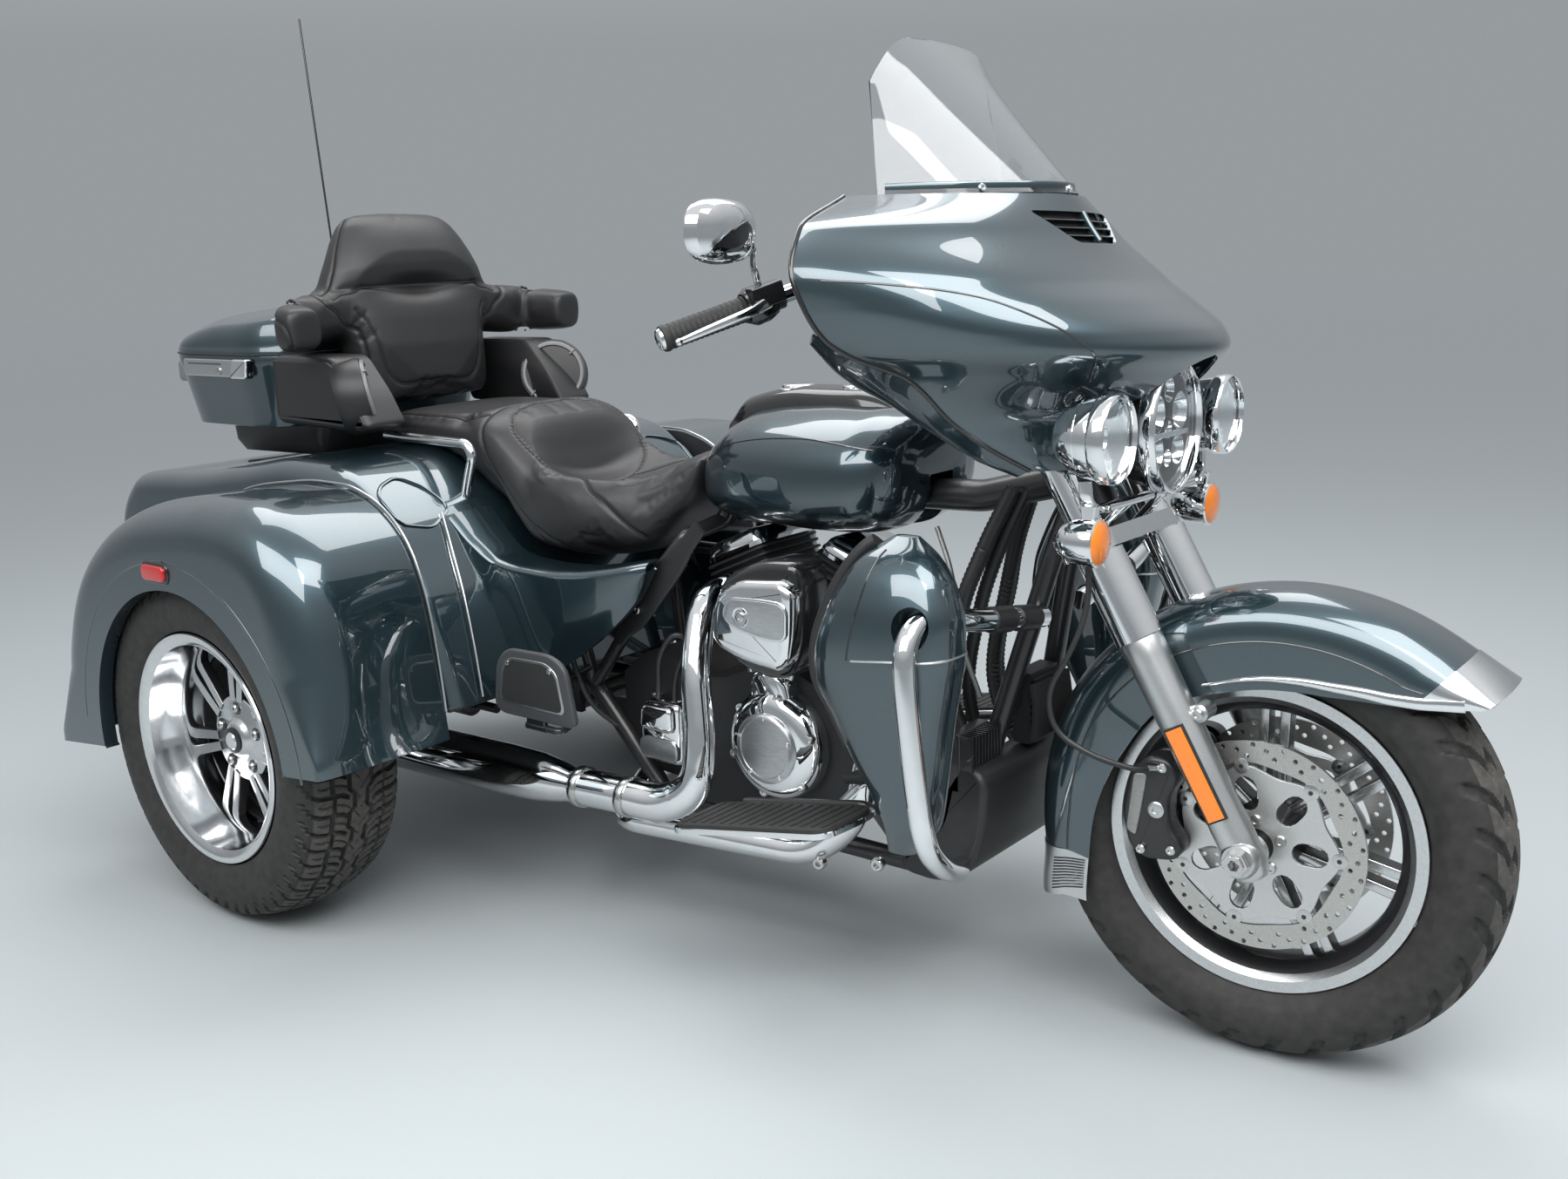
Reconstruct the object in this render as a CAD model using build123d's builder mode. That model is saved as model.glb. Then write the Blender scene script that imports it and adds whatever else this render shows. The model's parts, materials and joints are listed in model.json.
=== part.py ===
from build123d import *

# Three-wheeled touring motorcycle: one steered front wheel, V-twin engine, a wide rear body over two wheels.
# Millimetres. X runs forward, Y to the rider's left, Z up. Sizes are worked out from the rear axle line on
# the ground, and those of the front end from the front axle line; every piece is moved at the end so that
# the origin is under the middle of the whole machine.

import math
import os

os.makedirs("parts", exist_ok=True)

# Driving dimensions
wheelbase = 1670.0
steer_rake = 26.0
fork_rake = 29.25
trail = 100.0
parked_steer = 4.3
upper_ahead = 252.15
seat_gap = 0.3
origin_ahead_of_axle = 632.0

# Wheels
tyre_radius = 322.0
front_tyre_width = 130.0
front_flange = 219.0
front_bead = 203.5
front_rim_half = 44.0
rear_tyre_width = 205.0
rear_flange = 208.0
rear_bead = 191.0
rear_rim_half = 92.0
spoke_pairs = 7
disc_radius = 150.0
disc_thickness = 5.5
axle_radius = 12.2
axle_bore = 8.0
hub_half = 65.7

# Fork
leg_spread = 118.0
slider_radius = 31.0
cover_radius = 34.0
fork_tube_radius = 24.5
cover_start = 326.0
lower_yoke_height = 722.0
upper_yoke_height = lower_yoke_height + 181.0
yoke_thickness = 26.0
stem_radius = 16.0
head_radius = 30.0

# Front fender
fender_radius = 356.0
fender_skin = 4.0
fender_half = 86.7

# Lamps
headlamp_z = lower_yoke_height + 168.0
headlamp_radius = 97.0
passing_spread = 214.0
passing_radius = 61.0
signal_z = lower_yoke_height + 29.0
signal_radius = 33.0
bowl_share = 0.92

# Rear body
body_half = 400.0
body_skin = 5.0
body_bulge = 30.0
wheel_room = 30.0
fender_room = 25.0
rear_track = 2 * (body_half + body_bulge + wheel_room) + rear_tyre_width
fender_outer = (rear_track + rear_tyre_width) / 2 + fender_room

# Luggage case
case_rear = -632.0
case_front = -240.0
case_half = 290.0
case_split = 975.0
case_bottom = 790.0
case_wall = 6.0

# Engine
crank_x = 870.0
crank_z = 350.0
vee_half_angle = 22.5
barrel_fins = 9

# Handlebar and guards
bar_radius = 12.7
guard_radius = 16.0

steer_ground = wheelbase + trail
steer_lean = math.tan(math.radians(steer_rake))
rake_cos = math.cos(math.radians(steer_rake))
steer_axis = Axis((steer_ground, 0, 0), (-math.sin(math.radians(steer_rake)), 0,
                                         math.cos(math.radians(steer_rake))))
fork_up = Vector(-math.sin(math.radians(fork_rake)), 0, math.cos(math.radians(fork_rake)))
rear_centre_y = rear_track / 2

# Line that the lamps, the fairing, the bars and the head of the frame are placed from
upper_line = steer_ground - lower_yoke_height * steer_lean + upper_ahead
headlamp_x = upper_line - 158.0
passing_x = upper_line - 156.0
signal_x = upper_line - 208.0


steer_base = Plane(origin=steer_axis.position, z_dir=steer_axis.direction).location
to_parked = steer_base * Location((0, 0, 0), (0, 0, parked_steer)) * steer_base.inverse()


def save(piece, name, turned=False):
    """Turns a steered piece to where the front wheel is parked, moves it to the origin and writes it."""
    shape = piece.moved(to_parked) if turned else piece
    shape = shape.moved(Location((-origin_ahead_of_axle, 0, 0)))
    shape.label = name
    export_step(shape, f"parts/{name}.step")


def tube(points, radius, bend=40.0):
    """Round bar along straight runs joined by tangent arcs."""
    with BuildPart() as bar:
        with BuildLine() as path:
            if len(points) > 2:
                FilletPolyline(*points, radius=bend)
            else:
                Polyline(*points)
        with BuildSketch(Plane(origin=path.line @ 0, z_dir=path.line % 0)):
            Circle(radius)
        sweep()
    return bar.part


def both_sides(shape):
    """A right-side piece and its mirror image."""
    return Compound(children=[*shape.solids(), *mirror(shape, about=Plane.XZ).solids()])


def steer_at(z):
    """Where the steering axis is at height z."""
    return steer_ground - z * steer_lean


# Tyres: a closed ring on the rim's bead seats
def tyre(centre, radius, width, bead, rim_half, flange):
    x, y, z = centre
    half = width / 2
    with BuildPart() as ring:
        with BuildSketch(Plane.XY.offset(z)):
            with BuildLine():
                Polyline((x + flange + 4, y - rim_half + seat_gap),
                         (x + bead + seat_gap, y - rim_half + seat_gap),
                         (x + bead + seat_gap, y + rim_half - seat_gap),
                         (x + flange + 4, y + rim_half - seat_gap))
                side = x + (flange + radius) / 2
                shoulder = half * 0.82
                ThreePointArc((x + flange + 4, y + rim_half - seat_gap), (side, y + half),
                              (x + radius - 16, y + shoulder))
                ThreePointArc((x + radius - 16, y + shoulder), (x + radius, y),
                              (x + radius - 16, y - shoulder))
                ThreePointArc((x + radius - 16, y - shoulder), (side, y - half),
                              (x + flange + 4, y - rim_half + seat_gap))
            make_face()
        revolve(axis=Axis((x, y, z), (0, 1, 0)))
    return ring.part


def rim(centre, flange, bead, rim_half, spoke_y, spoke_depth, hub_radius, hub_from, hub_to, bore):
    """Cast wheel: barrel with a drop centre, a hub, and pairs of straight spokes."""
    x, y, z = centre
    wall = 6.0
    lip = 4.0
    well = bead - 18
    half = rim_half
    with BuildPart() as wheel:
        with BuildSketch(Plane.XY.offset(z)):
            with BuildLine():
                Polyline((x + flange, y - half - lip), (x + flange, y - half), (x + bead, y - half),
                         (x + bead, y - half * 0.6), (x + well, y - half * 0.4), (x + well, y + half * 0.4),
                         (x + bead, y + half * 0.6), (x + bead, y + half), (x + flange, y + half),
                         (x + flange, y + half + lip), (x + bead - wall, y + half + lip),
                         (x + bead - wall, y + half * 0.65), (x + well - wall, y + half * 0.4),
                         (x + well - wall, y - half * 0.4), (x + bead - wall, y - half * 0.65),
                         (x + bead - wall, y - half - lip), close=True)
            make_face()
        revolve(axis=Axis((x, y, z), (0, 1, 0)))
        with BuildSketch(Plane(origin=(x, y + hub_from, z), x_dir=(1, 0, 0), z_dir=(0, 1, 0))):
            Circle(hub_radius)
        extrude(amount=hub_to - hub_from)
        spoke_plane = Plane(origin=(x, y + spoke_y - spoke_depth / 2, z), x_dir=(1, 0, 0), z_dir=(0, 1, 0))
        reach = well - wall + 2 - hub_radius * 0.6
        with BuildSketch(spoke_plane):
            with PolarLocations(0, spoke_pairs, start_angle=90):
                with Locations((hub_radius * 0.6 + reach / 2, 14), (hub_radius * 0.6 + reach / 2, -14)):
                    Rectangle(reach, 13)
        extrude(amount=spoke_depth)
        if bore:
            with BuildSketch(Plane(origin=(x, y + hub_from - 1, z), x_dir=(1, 0, 0), z_dir=(0, 1, 0))):
                Circle(bore)
            extrude(amount=hub_to - hub_from + 2, mode=Mode.SUBTRACT)
    return wheel.part


front_centre = (wheelbase, 0, tyre_radius)
front_tyre = tyre(front_centre, tyre_radius, front_tyre_width, front_bead, front_rim_half, front_flange)
save(front_tyre, "front_tyre", True)
front_rim = rim(front_centre, front_flange, front_bead, front_rim_half, 0, 34, 46, -hub_half, hub_half,
                axle_radius + seat_gap)
save(front_rim, "front_rim", True)

for name, side in (("right", -1), ("left", 1)):
    centre = (0, side * rear_centre_y, tyre_radius)
    save(tyre(centre, tyre_radius, rear_tyre_width, rear_bead, rear_rim_half, rear_flange),
         f"rear_tyre_{name}")
    hub_ends = sorted((side * 30.0, side * -60.0))
    save(rim(centre, rear_flange, rear_bead, rear_rim_half, side * 8, 26, 62, hub_ends[0], hub_ends[1], 0),
         f"rear_rim_{name}")

# Front brake discs: a drilled ring with seven arms, one each side of the hub
with BuildPart() as disc:
    with BuildSketch(Plane.XZ.offset(hub_half + seat_gap)):
        with Locations((wheelbase, tyre_radius)):
            Circle(disc_radius)
            Circle(axle_radius + 12, mode=Mode.SUBTRACT)
            with PolarLocations(74, spoke_pairs):
                RectangleRounded(44, 26, 9, mode=Mode.SUBTRACT)
    extrude(amount=disc_thickness)
save(both_sides(disc.part), "front_discs", True)

# Front axle: a hollow bar with a nut at each end
axle_half = leg_spread + slider_radius + 14
with BuildPart() as front_axle:
    with BuildSketch(Plane(origin=(wheelbase, -axle_half, tyre_radius), x_dir=(1, 0, 0), z_dir=(0, 1, 0))):
        Circle(axle_radius)
    extrude(amount=2 * axle_half)
    for start in (-axle_half + 2, axle_half - 12):
        with BuildSketch(Plane(origin=(wheelbase, start, tyre_radius), x_dir=(1, 0, 0), z_dir=(0, 1, 0))):
            RegularPolygon(18, 6)
        extrude(amount=10)
    with BuildSketch(Plane(origin=(wheelbase, -axle_half, tyre_radius), x_dir=(1, 0, 0), z_dir=(0, 1, 0))):
        Circle(axle_bore)
    extrude(amount=2 * axle_half, mode=Mode.SUBTRACT)
save(front_axle.part, "front_axle", True)

# Fork sliders: cast lower legs with the axle lug at the foot
slider_plane = Plane(origin=(wheelbase, -leg_spread, tyre_radius), x_dir=(0, 1, 0), z_dir=tuple(fork_up))
with BuildPart() as slider:
    with BuildSketch(slider_plane.offset(-24)):
        Circle(slider_radius)
    extrude(amount=cover_start - seat_gap + 24)
    with BuildSketch(Plane(origin=(wheelbase, -leg_spread - slider_radius, tyre_radius), x_dir=(1, 0, 0),
                           z_dir=(0, 1, 0))):
        Circle(slider_radius - 3)
    extrude(amount=2 * slider_radius)
    with BuildSketch(Plane(origin=(wheelbase, -leg_spread - 40, tyre_radius), x_dir=(1, 0, 0),
                           z_dir=(0, 1, 0))):
        Circle(axle_radius + seat_gap)
    extrude(amount=80, mode=Mode.SUBTRACT)
save(both_sides(slider.part), "fork_sliders", True)

# Yokes, upper tubes with their polished covers, and the steering stem, made as one frame
upper_tube_top = (upper_yoke_height + 14 - tyre_radius) / math.cos(math.radians(fork_rake))
cover_end = (lower_yoke_height - 4 - tyre_radius) / math.cos(math.radians(fork_rake))


def yoke_plane(z):
    return Plane(origin=(steer_at(z), 0, z), x_dir=(0, 1, 0), z_dir=tuple(steer_axis.direction))


with BuildPart() as fork_upper:
    for side in (-1, 1):
        leg = Plane(origin=(wheelbase, side * leg_spread, tyre_radius), x_dir=(0, 1, 0),
                    z_dir=tuple(fork_up))
        with BuildSketch(leg.offset(cover_start)):
            Circle(cover_radius)
        extrude(amount=cover_end - cover_start)
        with BuildSketch(leg.offset(cover_start)):
            Circle(fork_tube_radius)
        extrude(amount=upper_tube_top - cover_start)
    for height, ahead in ((lower_yoke_height, 28), (upper_yoke_height, 14)):
        with BuildSketch(yoke_plane(height).offset(-yoke_thickness / 2)):
            with Locations((0, -ahead / 2)):
                SlotOverall(2 * leg_spread + 2 * cover_radius + 8, 2 * cover_radius + ahead / 2)
        extrude(amount=yoke_thickness)
    with BuildSketch(yoke_plane(lower_yoke_height)):
        Circle(stem_radius)
    extrude(amount=(upper_yoke_height - lower_yoke_height) / rake_cos)
save(fork_upper.part, "fork_upper", True)

# Brake calipers behind the legs, gripping the discs
# Outline: distance behind the front axle, height
caliper_outline = ((180, 262), (120, 250), (66, 296), (58, 340), (70, 400), (140, 412), (182, 400),
                   (198, 330))
with BuildPart() as caliper:
    with BuildSketch(Plane.XZ.offset(hub_half - 12)):
        with BuildLine():
            Polyline(*[(wheelbase - back, z) for back, z in caliper_outline], close=True)
        make_face()
    extrude(amount=54)
    fillet(caliper.edges().filter_by(Axis.Y), 8)
    with BuildSketch(Plane.XZ.offset(hub_half - 6)):
        with Locations((wheelbase, tyre_radius)):
            Circle(disc_radius + 4)
    extrude(amount=disc_thickness + 12, mode=Mode.SUBTRACT)
    with BuildSketch(slider_plane.offset(-30)):
        Circle(slider_radius + seat_gap)
    extrude(amount=400, mode=Mode.SUBTRACT)
save(both_sides(caliper.part), "brake_calipers", True)

# Front fender: a deep valanced hoop over the tyre, open below
# Opening under its edge: distance behind the front axle, height
fender_mouth = ((244, 100), (240, 262), (196, 420), (140, 500), (30, 546), (-430, 562), (-430, 100))
fender_x = wheelbase + 15
fender_z = tyre_radius + 8
hoop_start = math.radians(39)
hoop_plane = Plane(origin=(fender_x, 0, fender_z), x_dir=(math.cos(hoop_start), 0, math.sin(hoop_start)),
                   z_dir=(-math.sin(hoop_start), 0, math.cos(hoop_start)))
with BuildPart() as front_fender:
    with BuildSketch(hoop_plane):
        with BuildLine():
            crown = fender_radius - 38
            inner_half = fender_half - fender_skin
            Line((212, -fender_half), (crown, -fender_half))
            ThreePointArc((crown, -fender_half), (fender_radius, 0), (crown, fender_half))
            Polyline((crown, fender_half), (212, fender_half), (212, inner_half), (crown, inner_half))
            ThreePointArc((crown, inner_half), (fender_radius - fender_skin, 0), (crown, -inner_half))
            Polyline((crown, -inner_half), (212, -inner_half), (212, -fender_half))
        make_face()
    revolve(axis=Axis((fender_x, 0, fender_z), (0, -1, 0)), revolution_arc=160)
    with BuildSketch(Plane.XZ.offset(-150)):
        with BuildLine():
            Polyline(*[(wheelbase - back, z) for back, z in fender_mouth], close=True)
        make_face()
    extrude(amount=300, mode=Mode.SUBTRACT)
save(front_fender.part, "front_fender", True)


# Round lamps that face forwards: a bowl with a recessed lens behind a raised ring
def lamp(x, y, z, radius, depth, ring):
    base = radius * bowl_share
    dome_rise = depth * 0.55
    dome = (dome_rise**2 + base**2) / (2 * dome_rise)
    dome_x = x - depth + dome
    half = math.asin(base / dome) / 2
    with BuildPart() as bowl:
        with BuildSketch(Plane.XZ.offset(-y)):
            with BuildLine():
                Polyline((x - depth, z), (x - ring - 4, z), (x - ring - 4, z + radius - ring),
                         (x, z + radius - ring),
                         (x, z + radius - 3), (x - 3, z + radius), (x - 22, z + radius),
                         (x - 26, z + base), (x - depth * 0.45, z + base))
                ThreePointArc((x - depth * 0.45, z + base), (dome_x - dome * math.cos(half),
                                                             z + dome * math.sin(half)),
                              (x - depth, z))
            make_face()
        revolve(axis=Axis((x, y, z), (1, 0, 0)))
    return bowl.part


headlamp = lamp(headlamp_x, 0, headlamp_z, headlamp_radius, 110, 9)
save(headlamp, "headlamp", True)
save(both_sides(lamp(passing_x, -passing_spread, headlamp_z, passing_radius, 92, 6)), "passing_lamps", True)
save(both_sides(lamp(signal_x + 33, -passing_spread, signal_z, signal_radius, 70, 5)), "signal_lamps", True)

# Lamp bar: a cross bar on two feet on the lower yoke, with a post under each passing lamp
bar_low = signal_z + signal_radius + seat_gap
bar_high = headlamp_z - headlamp_radius * bowl_share - seat_gap
with BuildPart() as lamp_bar:
    with BuildSketch(Plane.XY.offset(bar_low)):
        with Locations((signal_x + 10, 0)):
            Rectangle(16, 2 * passing_spread + 28)
    extrude(amount=bar_high - bar_low)
    with BuildSketch(Plane.XY.offset(bar_high)):
        with Locations((signal_x + 10, -passing_spread), (signal_x + 10, passing_spread)):
            Rectangle(16, 28)
    extrude(amount=headlamp_z - passing_radius * 0.8 - bar_high)
    with BuildSketch(yoke_plane(lower_yoke_height).offset(yoke_thickness / 2)):
        with Locations((-75, -62), (75, -62)):
            Rectangle(30, 48)
    extrude(amount=48)
    for side in (-1, 1):
        with BuildSketch(Plane.YZ.offset(passing_x - 120)):
            with Locations((side * passing_spread, headlamp_z)):
                Circle(passing_radius * bowl_share + seat_gap)
        extrude(amount=140, mode=Mode.SUBTRACT)
save(lamp_bar.part, "lamp_bar", True)

# Fairing: a batwing shell round the headlamp, open behind
# Sections: height over the lower yoke, then how far the nose, the shoulder and the rear edge are behind the
# upper line, with the shoulder's and the rear edge's half widths
fairing_sections = (
    (116, 218, 246, 128, 294, 190),
    (183, 170, 245, 135, 364, 280),
    (246, 130, 206, 205, 402, 336),
    (300, 122, 218, 262, 490, 402),
    (373, 238, 308, 300, 520, 430),
    (441, 298, 360, 240, 542, 382),
    (490, 325, 385, 150, 566, 234),
)
fairing_skin = 4.5


def fairing_form(inset, low_cut, high_cut, back):
    """Solid fairing form, drawn in by an inset, its ends moved by a cut and its back pushed out."""
    with BuildPart() as form:
        for index, section in enumerate(fairing_sections):
            rise, nose_back, shoulder_back, shoulder_y, side_back, side_y = section
            z = lower_yoke_height + rise
            if index == 0:
                z = z + low_cut
            if index == len(fairing_sections) - 1:
                z = z - high_cut
            nose = upper_line - nose_back - inset
            side_x = upper_line - side_back
            shoulder_x = upper_line - shoulder_back - inset * 0.75
            shoulder_y = shoulder_y - inset * 0.75
            side_y = side_y - inset
            with BuildSketch(Plane.XY.offset(z)):
                with BuildLine():
                    bow_x = (shoulder_x + side_x) / 2 + (side_y - shoulder_y) * 0.16
                    bow_y = (shoulder_y + side_y) / 2 + (shoulder_x - side_x) * 0.1
                    ThreePointArc((side_x, -side_y), (bow_x, -bow_y), (shoulder_x, -shoulder_y))
                    ThreePointArc((shoulder_x, -shoulder_y), (nose, 0), (shoulder_x, shoulder_y))
                    ThreePointArc((shoulder_x, shoulder_y), (bow_x, bow_y), (side_x, side_y))
                    Polyline((side_x, side_y), (side_x - back, side_y), (side_x - back, -side_y),
                             (side_x, -side_y))
                make_face()
        loft(ruled=True)
    return form.part


fairing_low = lower_yoke_height + fairing_sections[0][0]
fairing_high = lower_yoke_height + fairing_sections[-1][0]
lamp_opening_x = upper_line - 330.0
vent_x = upper_line - 370.0
vent_z = lower_yoke_height + 443.0
vent_width = 250.0
vent_height = 38.0
with BuildPart() as fairing_shell:
    add(fairing_form(0, -20, 0, 0.5))
    add(fairing_form(fairing_skin, -21, fairing_skin, 40), mode=Mode.SUBTRACT)
    with BuildSketch(Plane.XY.offset(fairing_low - 100)):
        Rectangle(4000, 2000)
    extrude(amount=100, mode=Mode.SUBTRACT)
    with BuildSketch(Plane.YZ.offset(lamp_opening_x)):
        with Locations((0, headlamp_z)):
            Circle(headlamp_radius + seat_gap)
        with Locations((0, headlamp_z - 100)):
            Rectangle(2 * headlamp_radius + 2 * seat_gap, 200)
    extrude(amount=400, mode=Mode.SUBTRACT)
    with BuildSketch(Plane.YZ.offset(vent_x)):
        with Locations((0, vent_z)):
            Trapezoid(vent_width, vent_height, 60, rotation=180)
    extrude(amount=200, mode=Mode.SUBTRACT)
save(fairing_shell.part, "fairing_shell", True)

# Dash: closes the back of the fairing above the handlebar, with a column down to the yoke
dash_depth = 46.0
dash_x = upper_line - 484.0
dash_front = dash_x + dash_depth
dash_z = lower_yoke_height + 298.0
dash_inset = fairing_skin + seat_gap
with BuildPart() as dash:
    add(fairing_form(dash_inset, 0, dash_inset, 0.5))
    with BuildSketch(Plane.XZ.offset(-500)):
        with BuildLine():
            Polyline((dash_x, dash_z - 20), (dash_x, dash_z), (dash_x - 22, dash_z + 75),
                     (dash_x - 44, dash_z + 143), (dash_x - 70, dash_z + 200), (dash_x - 186, dash_z + 280),
                     (dash_x - 186, dash_z - 320), (dash_x, dash_z - 320), close=True)
        make_face()
    extrude(amount=1000, mode=Mode.SUBTRACT)
    with BuildSketch(Plane.XZ.offset(-500)):
        with BuildLine():
            Polyline((dash_front, dash_z - 320), (dash_front, dash_z), (dash_front - 22, dash_z + 75),
                     (dash_front - 44, dash_z + 143), (dash_front - 70, dash_z + 280),
                     (dash_front + 468, dash_z + 280), (dash_front + 468, dash_z - 320), close=True)
        make_face()
    extrude(amount=1000, mode=Mode.SUBTRACT)
    for side in (-1, 1):
        with BuildSketch(Plane.YZ.offset(dash_x - 286)):
            with Locations((side * 298, dash_z - 40)):
                Rectangle(400, 200)
        extrude(amount=700, mode=Mode.SUBTRACT)
    with BuildSketch(Plane.YZ.offset(dash_x - 286)):
        with Locations((0, dash_z - 120)):
            Rectangle(900, 190)
    extrude(amount=700, mode=Mode.SUBTRACT)
save(dash.part, "dash", True)

# Windshield: a curved sheet standing on the fairing's top
screen_skin = 4.5
screen_base = fairing_high + seat_gap
screen_top = fairing_high + 224.0
screen_half = 200.0
screen_corner = 78.0
# Sections at z: how far the edges and the middle are behind the upper line, and the half width
screen_sections = ((screen_base, 532, screen_half, 332), (screen_top, 566, 178, 538))
with BuildPart() as windshield:
    for z, edge_back, edge_y, front_back in screen_sections:
        edge_x = upper_line - edge_back
        front_x = upper_line - front_back
        with BuildSketch(Plane.XY.offset(z)):
            with BuildLine():
                ThreePointArc((edge_x, -edge_y), (front_x, 0), (edge_x, edge_y))
                Line((edge_x, edge_y), (edge_x - 1, edge_y - screen_skin))
                ThreePointArc((edge_x - 1, edge_y - screen_skin), (front_x - screen_skin, 0),
                              (edge_x - 1, -edge_y + screen_skin))
                Line((edge_x - 1, -edge_y + screen_skin), (edge_x, -edge_y))
            make_face()
    loft(ruled=True)
    with BuildSketch(Plane.YZ.offset(upper_line - 670)):
        with Locations((0, (screen_base + screen_top) / 2 - 100)):
            RectangleRounded(2 * screen_half, screen_top - screen_base + 200, screen_corner)
    extrude(amount=500, mode=Mode.INTERSECT)
save(windshield.part, "windshield", True)

# Handlebar: one bar on two risers, swept back to the grips
bar_clamp = (upper_line - 370, 75, upper_yoke_height + 82)
bar_elbow = (upper_line - 596, 250, upper_yoke_height + 193)
bar_end = (upper_line - 720, 447, upper_yoke_height + 120)
bar_points = [(bar_end[0], -bar_end[1], bar_end[2]), (bar_elbow[0], -bar_elbow[1], bar_elbow[2]),
              (bar_clamp[0], -bar_clamp[1], bar_clamp[2]), bar_clamp, bar_elbow, bar_end]
grip_axis = (Vector(*bar_elbow) - Vector(*bar_end)).normalized()
grip_plane = Plane(origin=bar_end, z_dir=tuple(grip_axis))
with BuildPart() as handlebar:
    add(tube(bar_points, bar_radius, 48))
    with BuildSketch(yoke_plane(upper_yoke_height).offset(yoke_thickness / 2)):
        with Locations((-50, -9), (50, -9)):
            Circle(17)
    extrude(amount=(bar_clamp[2] - upper_yoke_height) / rake_cos - yoke_thickness / 2)
save(handlebar.part, "handlebar", True)

grip_length = 122.0
with BuildPart() as grip:
    with BuildSketch(grip_plane.offset(-6)):
        Circle(17.5)
    extrude(amount=grip_length + 6)
    with BuildSketch(grip_plane):
        Circle(bar_radius + seat_gap)
    extrude(amount=grip_length + 1, mode=Mode.SUBTRACT)
save(both_sides(grip.part), "grips", True)

# Hand controls: a clamped housing inboard of each grip with its lever and reservoir
with BuildPart() as control:
    with BuildSketch(grip_plane.offset(grip_length + seat_gap)):
        Circle(23)
    extrude(amount=46)
    with BuildSketch(grip_plane.offset(grip_length + 12)):
        with Locations((0, 0)):
            Rectangle(52, 40)
    extrude(amount=30)
    with BuildSketch(grip_plane.offset(grip_length - 1)):
        Circle(bar_radius + seat_gap)
    extrude(amount=50, mode=Mode.SUBTRACT)
    lever_root = Vector(*bar_end) + grip_axis * (grip_length + 30) + Vector(22, 18, 0)
    lever_mid = Vector(*bar_end) + grip_axis * (grip_length - 20) + Vector(46, 36, -4)
    lever_tip = Vector(*bar_end) + grip_axis * 4 + Vector(44, 34, -12)
    add(tube([tuple(lever_root), tuple(lever_mid), tuple(lever_tip)], 6, 14))
save(both_sides(control.part), "hand_controls", True)

# Mirrors: a bent stalk from each control with an oval head
mirror_centre = (upper_line - 624, 438, upper_yoke_height + 259)
with BuildPart() as mirror_pair:
    root = Vector(*bar_end) + grip_axis * (grip_length + 26) + Vector(0, 0, 22)
    add(tube([tuple(root), tuple(root + Vector(16, 6, 44)), (mirror_centre[0] + 8, mirror_centre[1] - 40,
             mirror_centre[2])], 5.5, 18))
    add(control.part, mode=Mode.SUBTRACT)
    with BuildSketch(Plane.YZ.offset(mirror_centre[0] - 12)):
        with Locations((mirror_centre[1], mirror_centre[2])):
            RectangleRounded(140, 86, 38)
    extrude(amount=26)
save(both_sides(mirror_pair.part), "mirrors", True)

# Frame: head tube, backbone, twin cradle rails that run back under the trunk, seat tubes and brackets
rail_radius = 16.0
rail_spread = 105.0
rail_low = 185.0
rear_rail_spread = 120.0
rear_rail_z = 394.0 - rail_radius - seat_gap
head_clearance = 1.5
head_low = yoke_thickness / 2 + head_clearance
head_high = (upper_yoke_height - lower_yoke_height) / rake_cos - yoke_thickness / 2 - head_clearance
tunnel_half = 32.0
with BuildPart() as frame:
    add(tube([(upper_line - 298, 0, lower_yoke_height + 90), (wheelbase - 470, 0, 768), (700, 0, 752)], 25,
             120))
    for side in (-1, 1):
        add(tube([(upper_line - 306, side * 8, lower_yoke_height + 70),
                  (upper_line - 335, side * 30, lower_yoke_height - 32),
                  (wheelbase - 408, side * 80, 400), (wheelbase - 457, side * rail_spread, rail_low),
                  (600, side * rail_spread, rail_low), (440, side * rear_rail_spread, rear_rail_z),
                  (-480, side * rear_rail_spread, rear_rail_z)], rail_radius, 55))
        add(tube([(702, side * 8, 746), (683, side * 24, 692), (668, side * 108, 674),
                  (612, side * 148, 585),
                  (560, side * 150, 505), (440, side * rear_rail_spread, rear_rail_z)], 12, 14))
        add(tube([(620, side * 145, 592), (345, side * 145, 592)], 12))
        add(tube([(440, side * rear_rail_spread, rear_rail_z), (400, side * 145, 592)], 12))
        with BuildSketch(Plane.XZ.offset(side * rear_rail_spread - 6)):
            with Locations((385, rear_rail_z - 30)):
                Rectangle(34, 60)
        extrude(amount=12)
    with BuildSketch(yoke_plane(lower_yoke_height).offset(head_low)):
        Circle(head_radius)
    extrude(amount=head_high - head_low)
    with BuildSketch(Plane.XZ.offset(-tunnel_half + seat_gap)):
        with Locations((1070, 762), (770, 754)):
            Circle(9)
    extrude(amount=2 * (tunnel_half - seat_gap))
    with BuildSketch(Plane.XZ.offset(-rear_rail_spread)):
        with Locations((-440, rear_rail_z), (250, rear_rail_z)):
            Circle(12)
    extrude(amount=2 * rear_rail_spread)
    with BuildSketch(yoke_plane(lower_yoke_height)):
        Circle(stem_radius + 0.6)
    extrude(amount=head_high + 5, mode=Mode.SUBTRACT)
save(frame.part, "frame")

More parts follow.
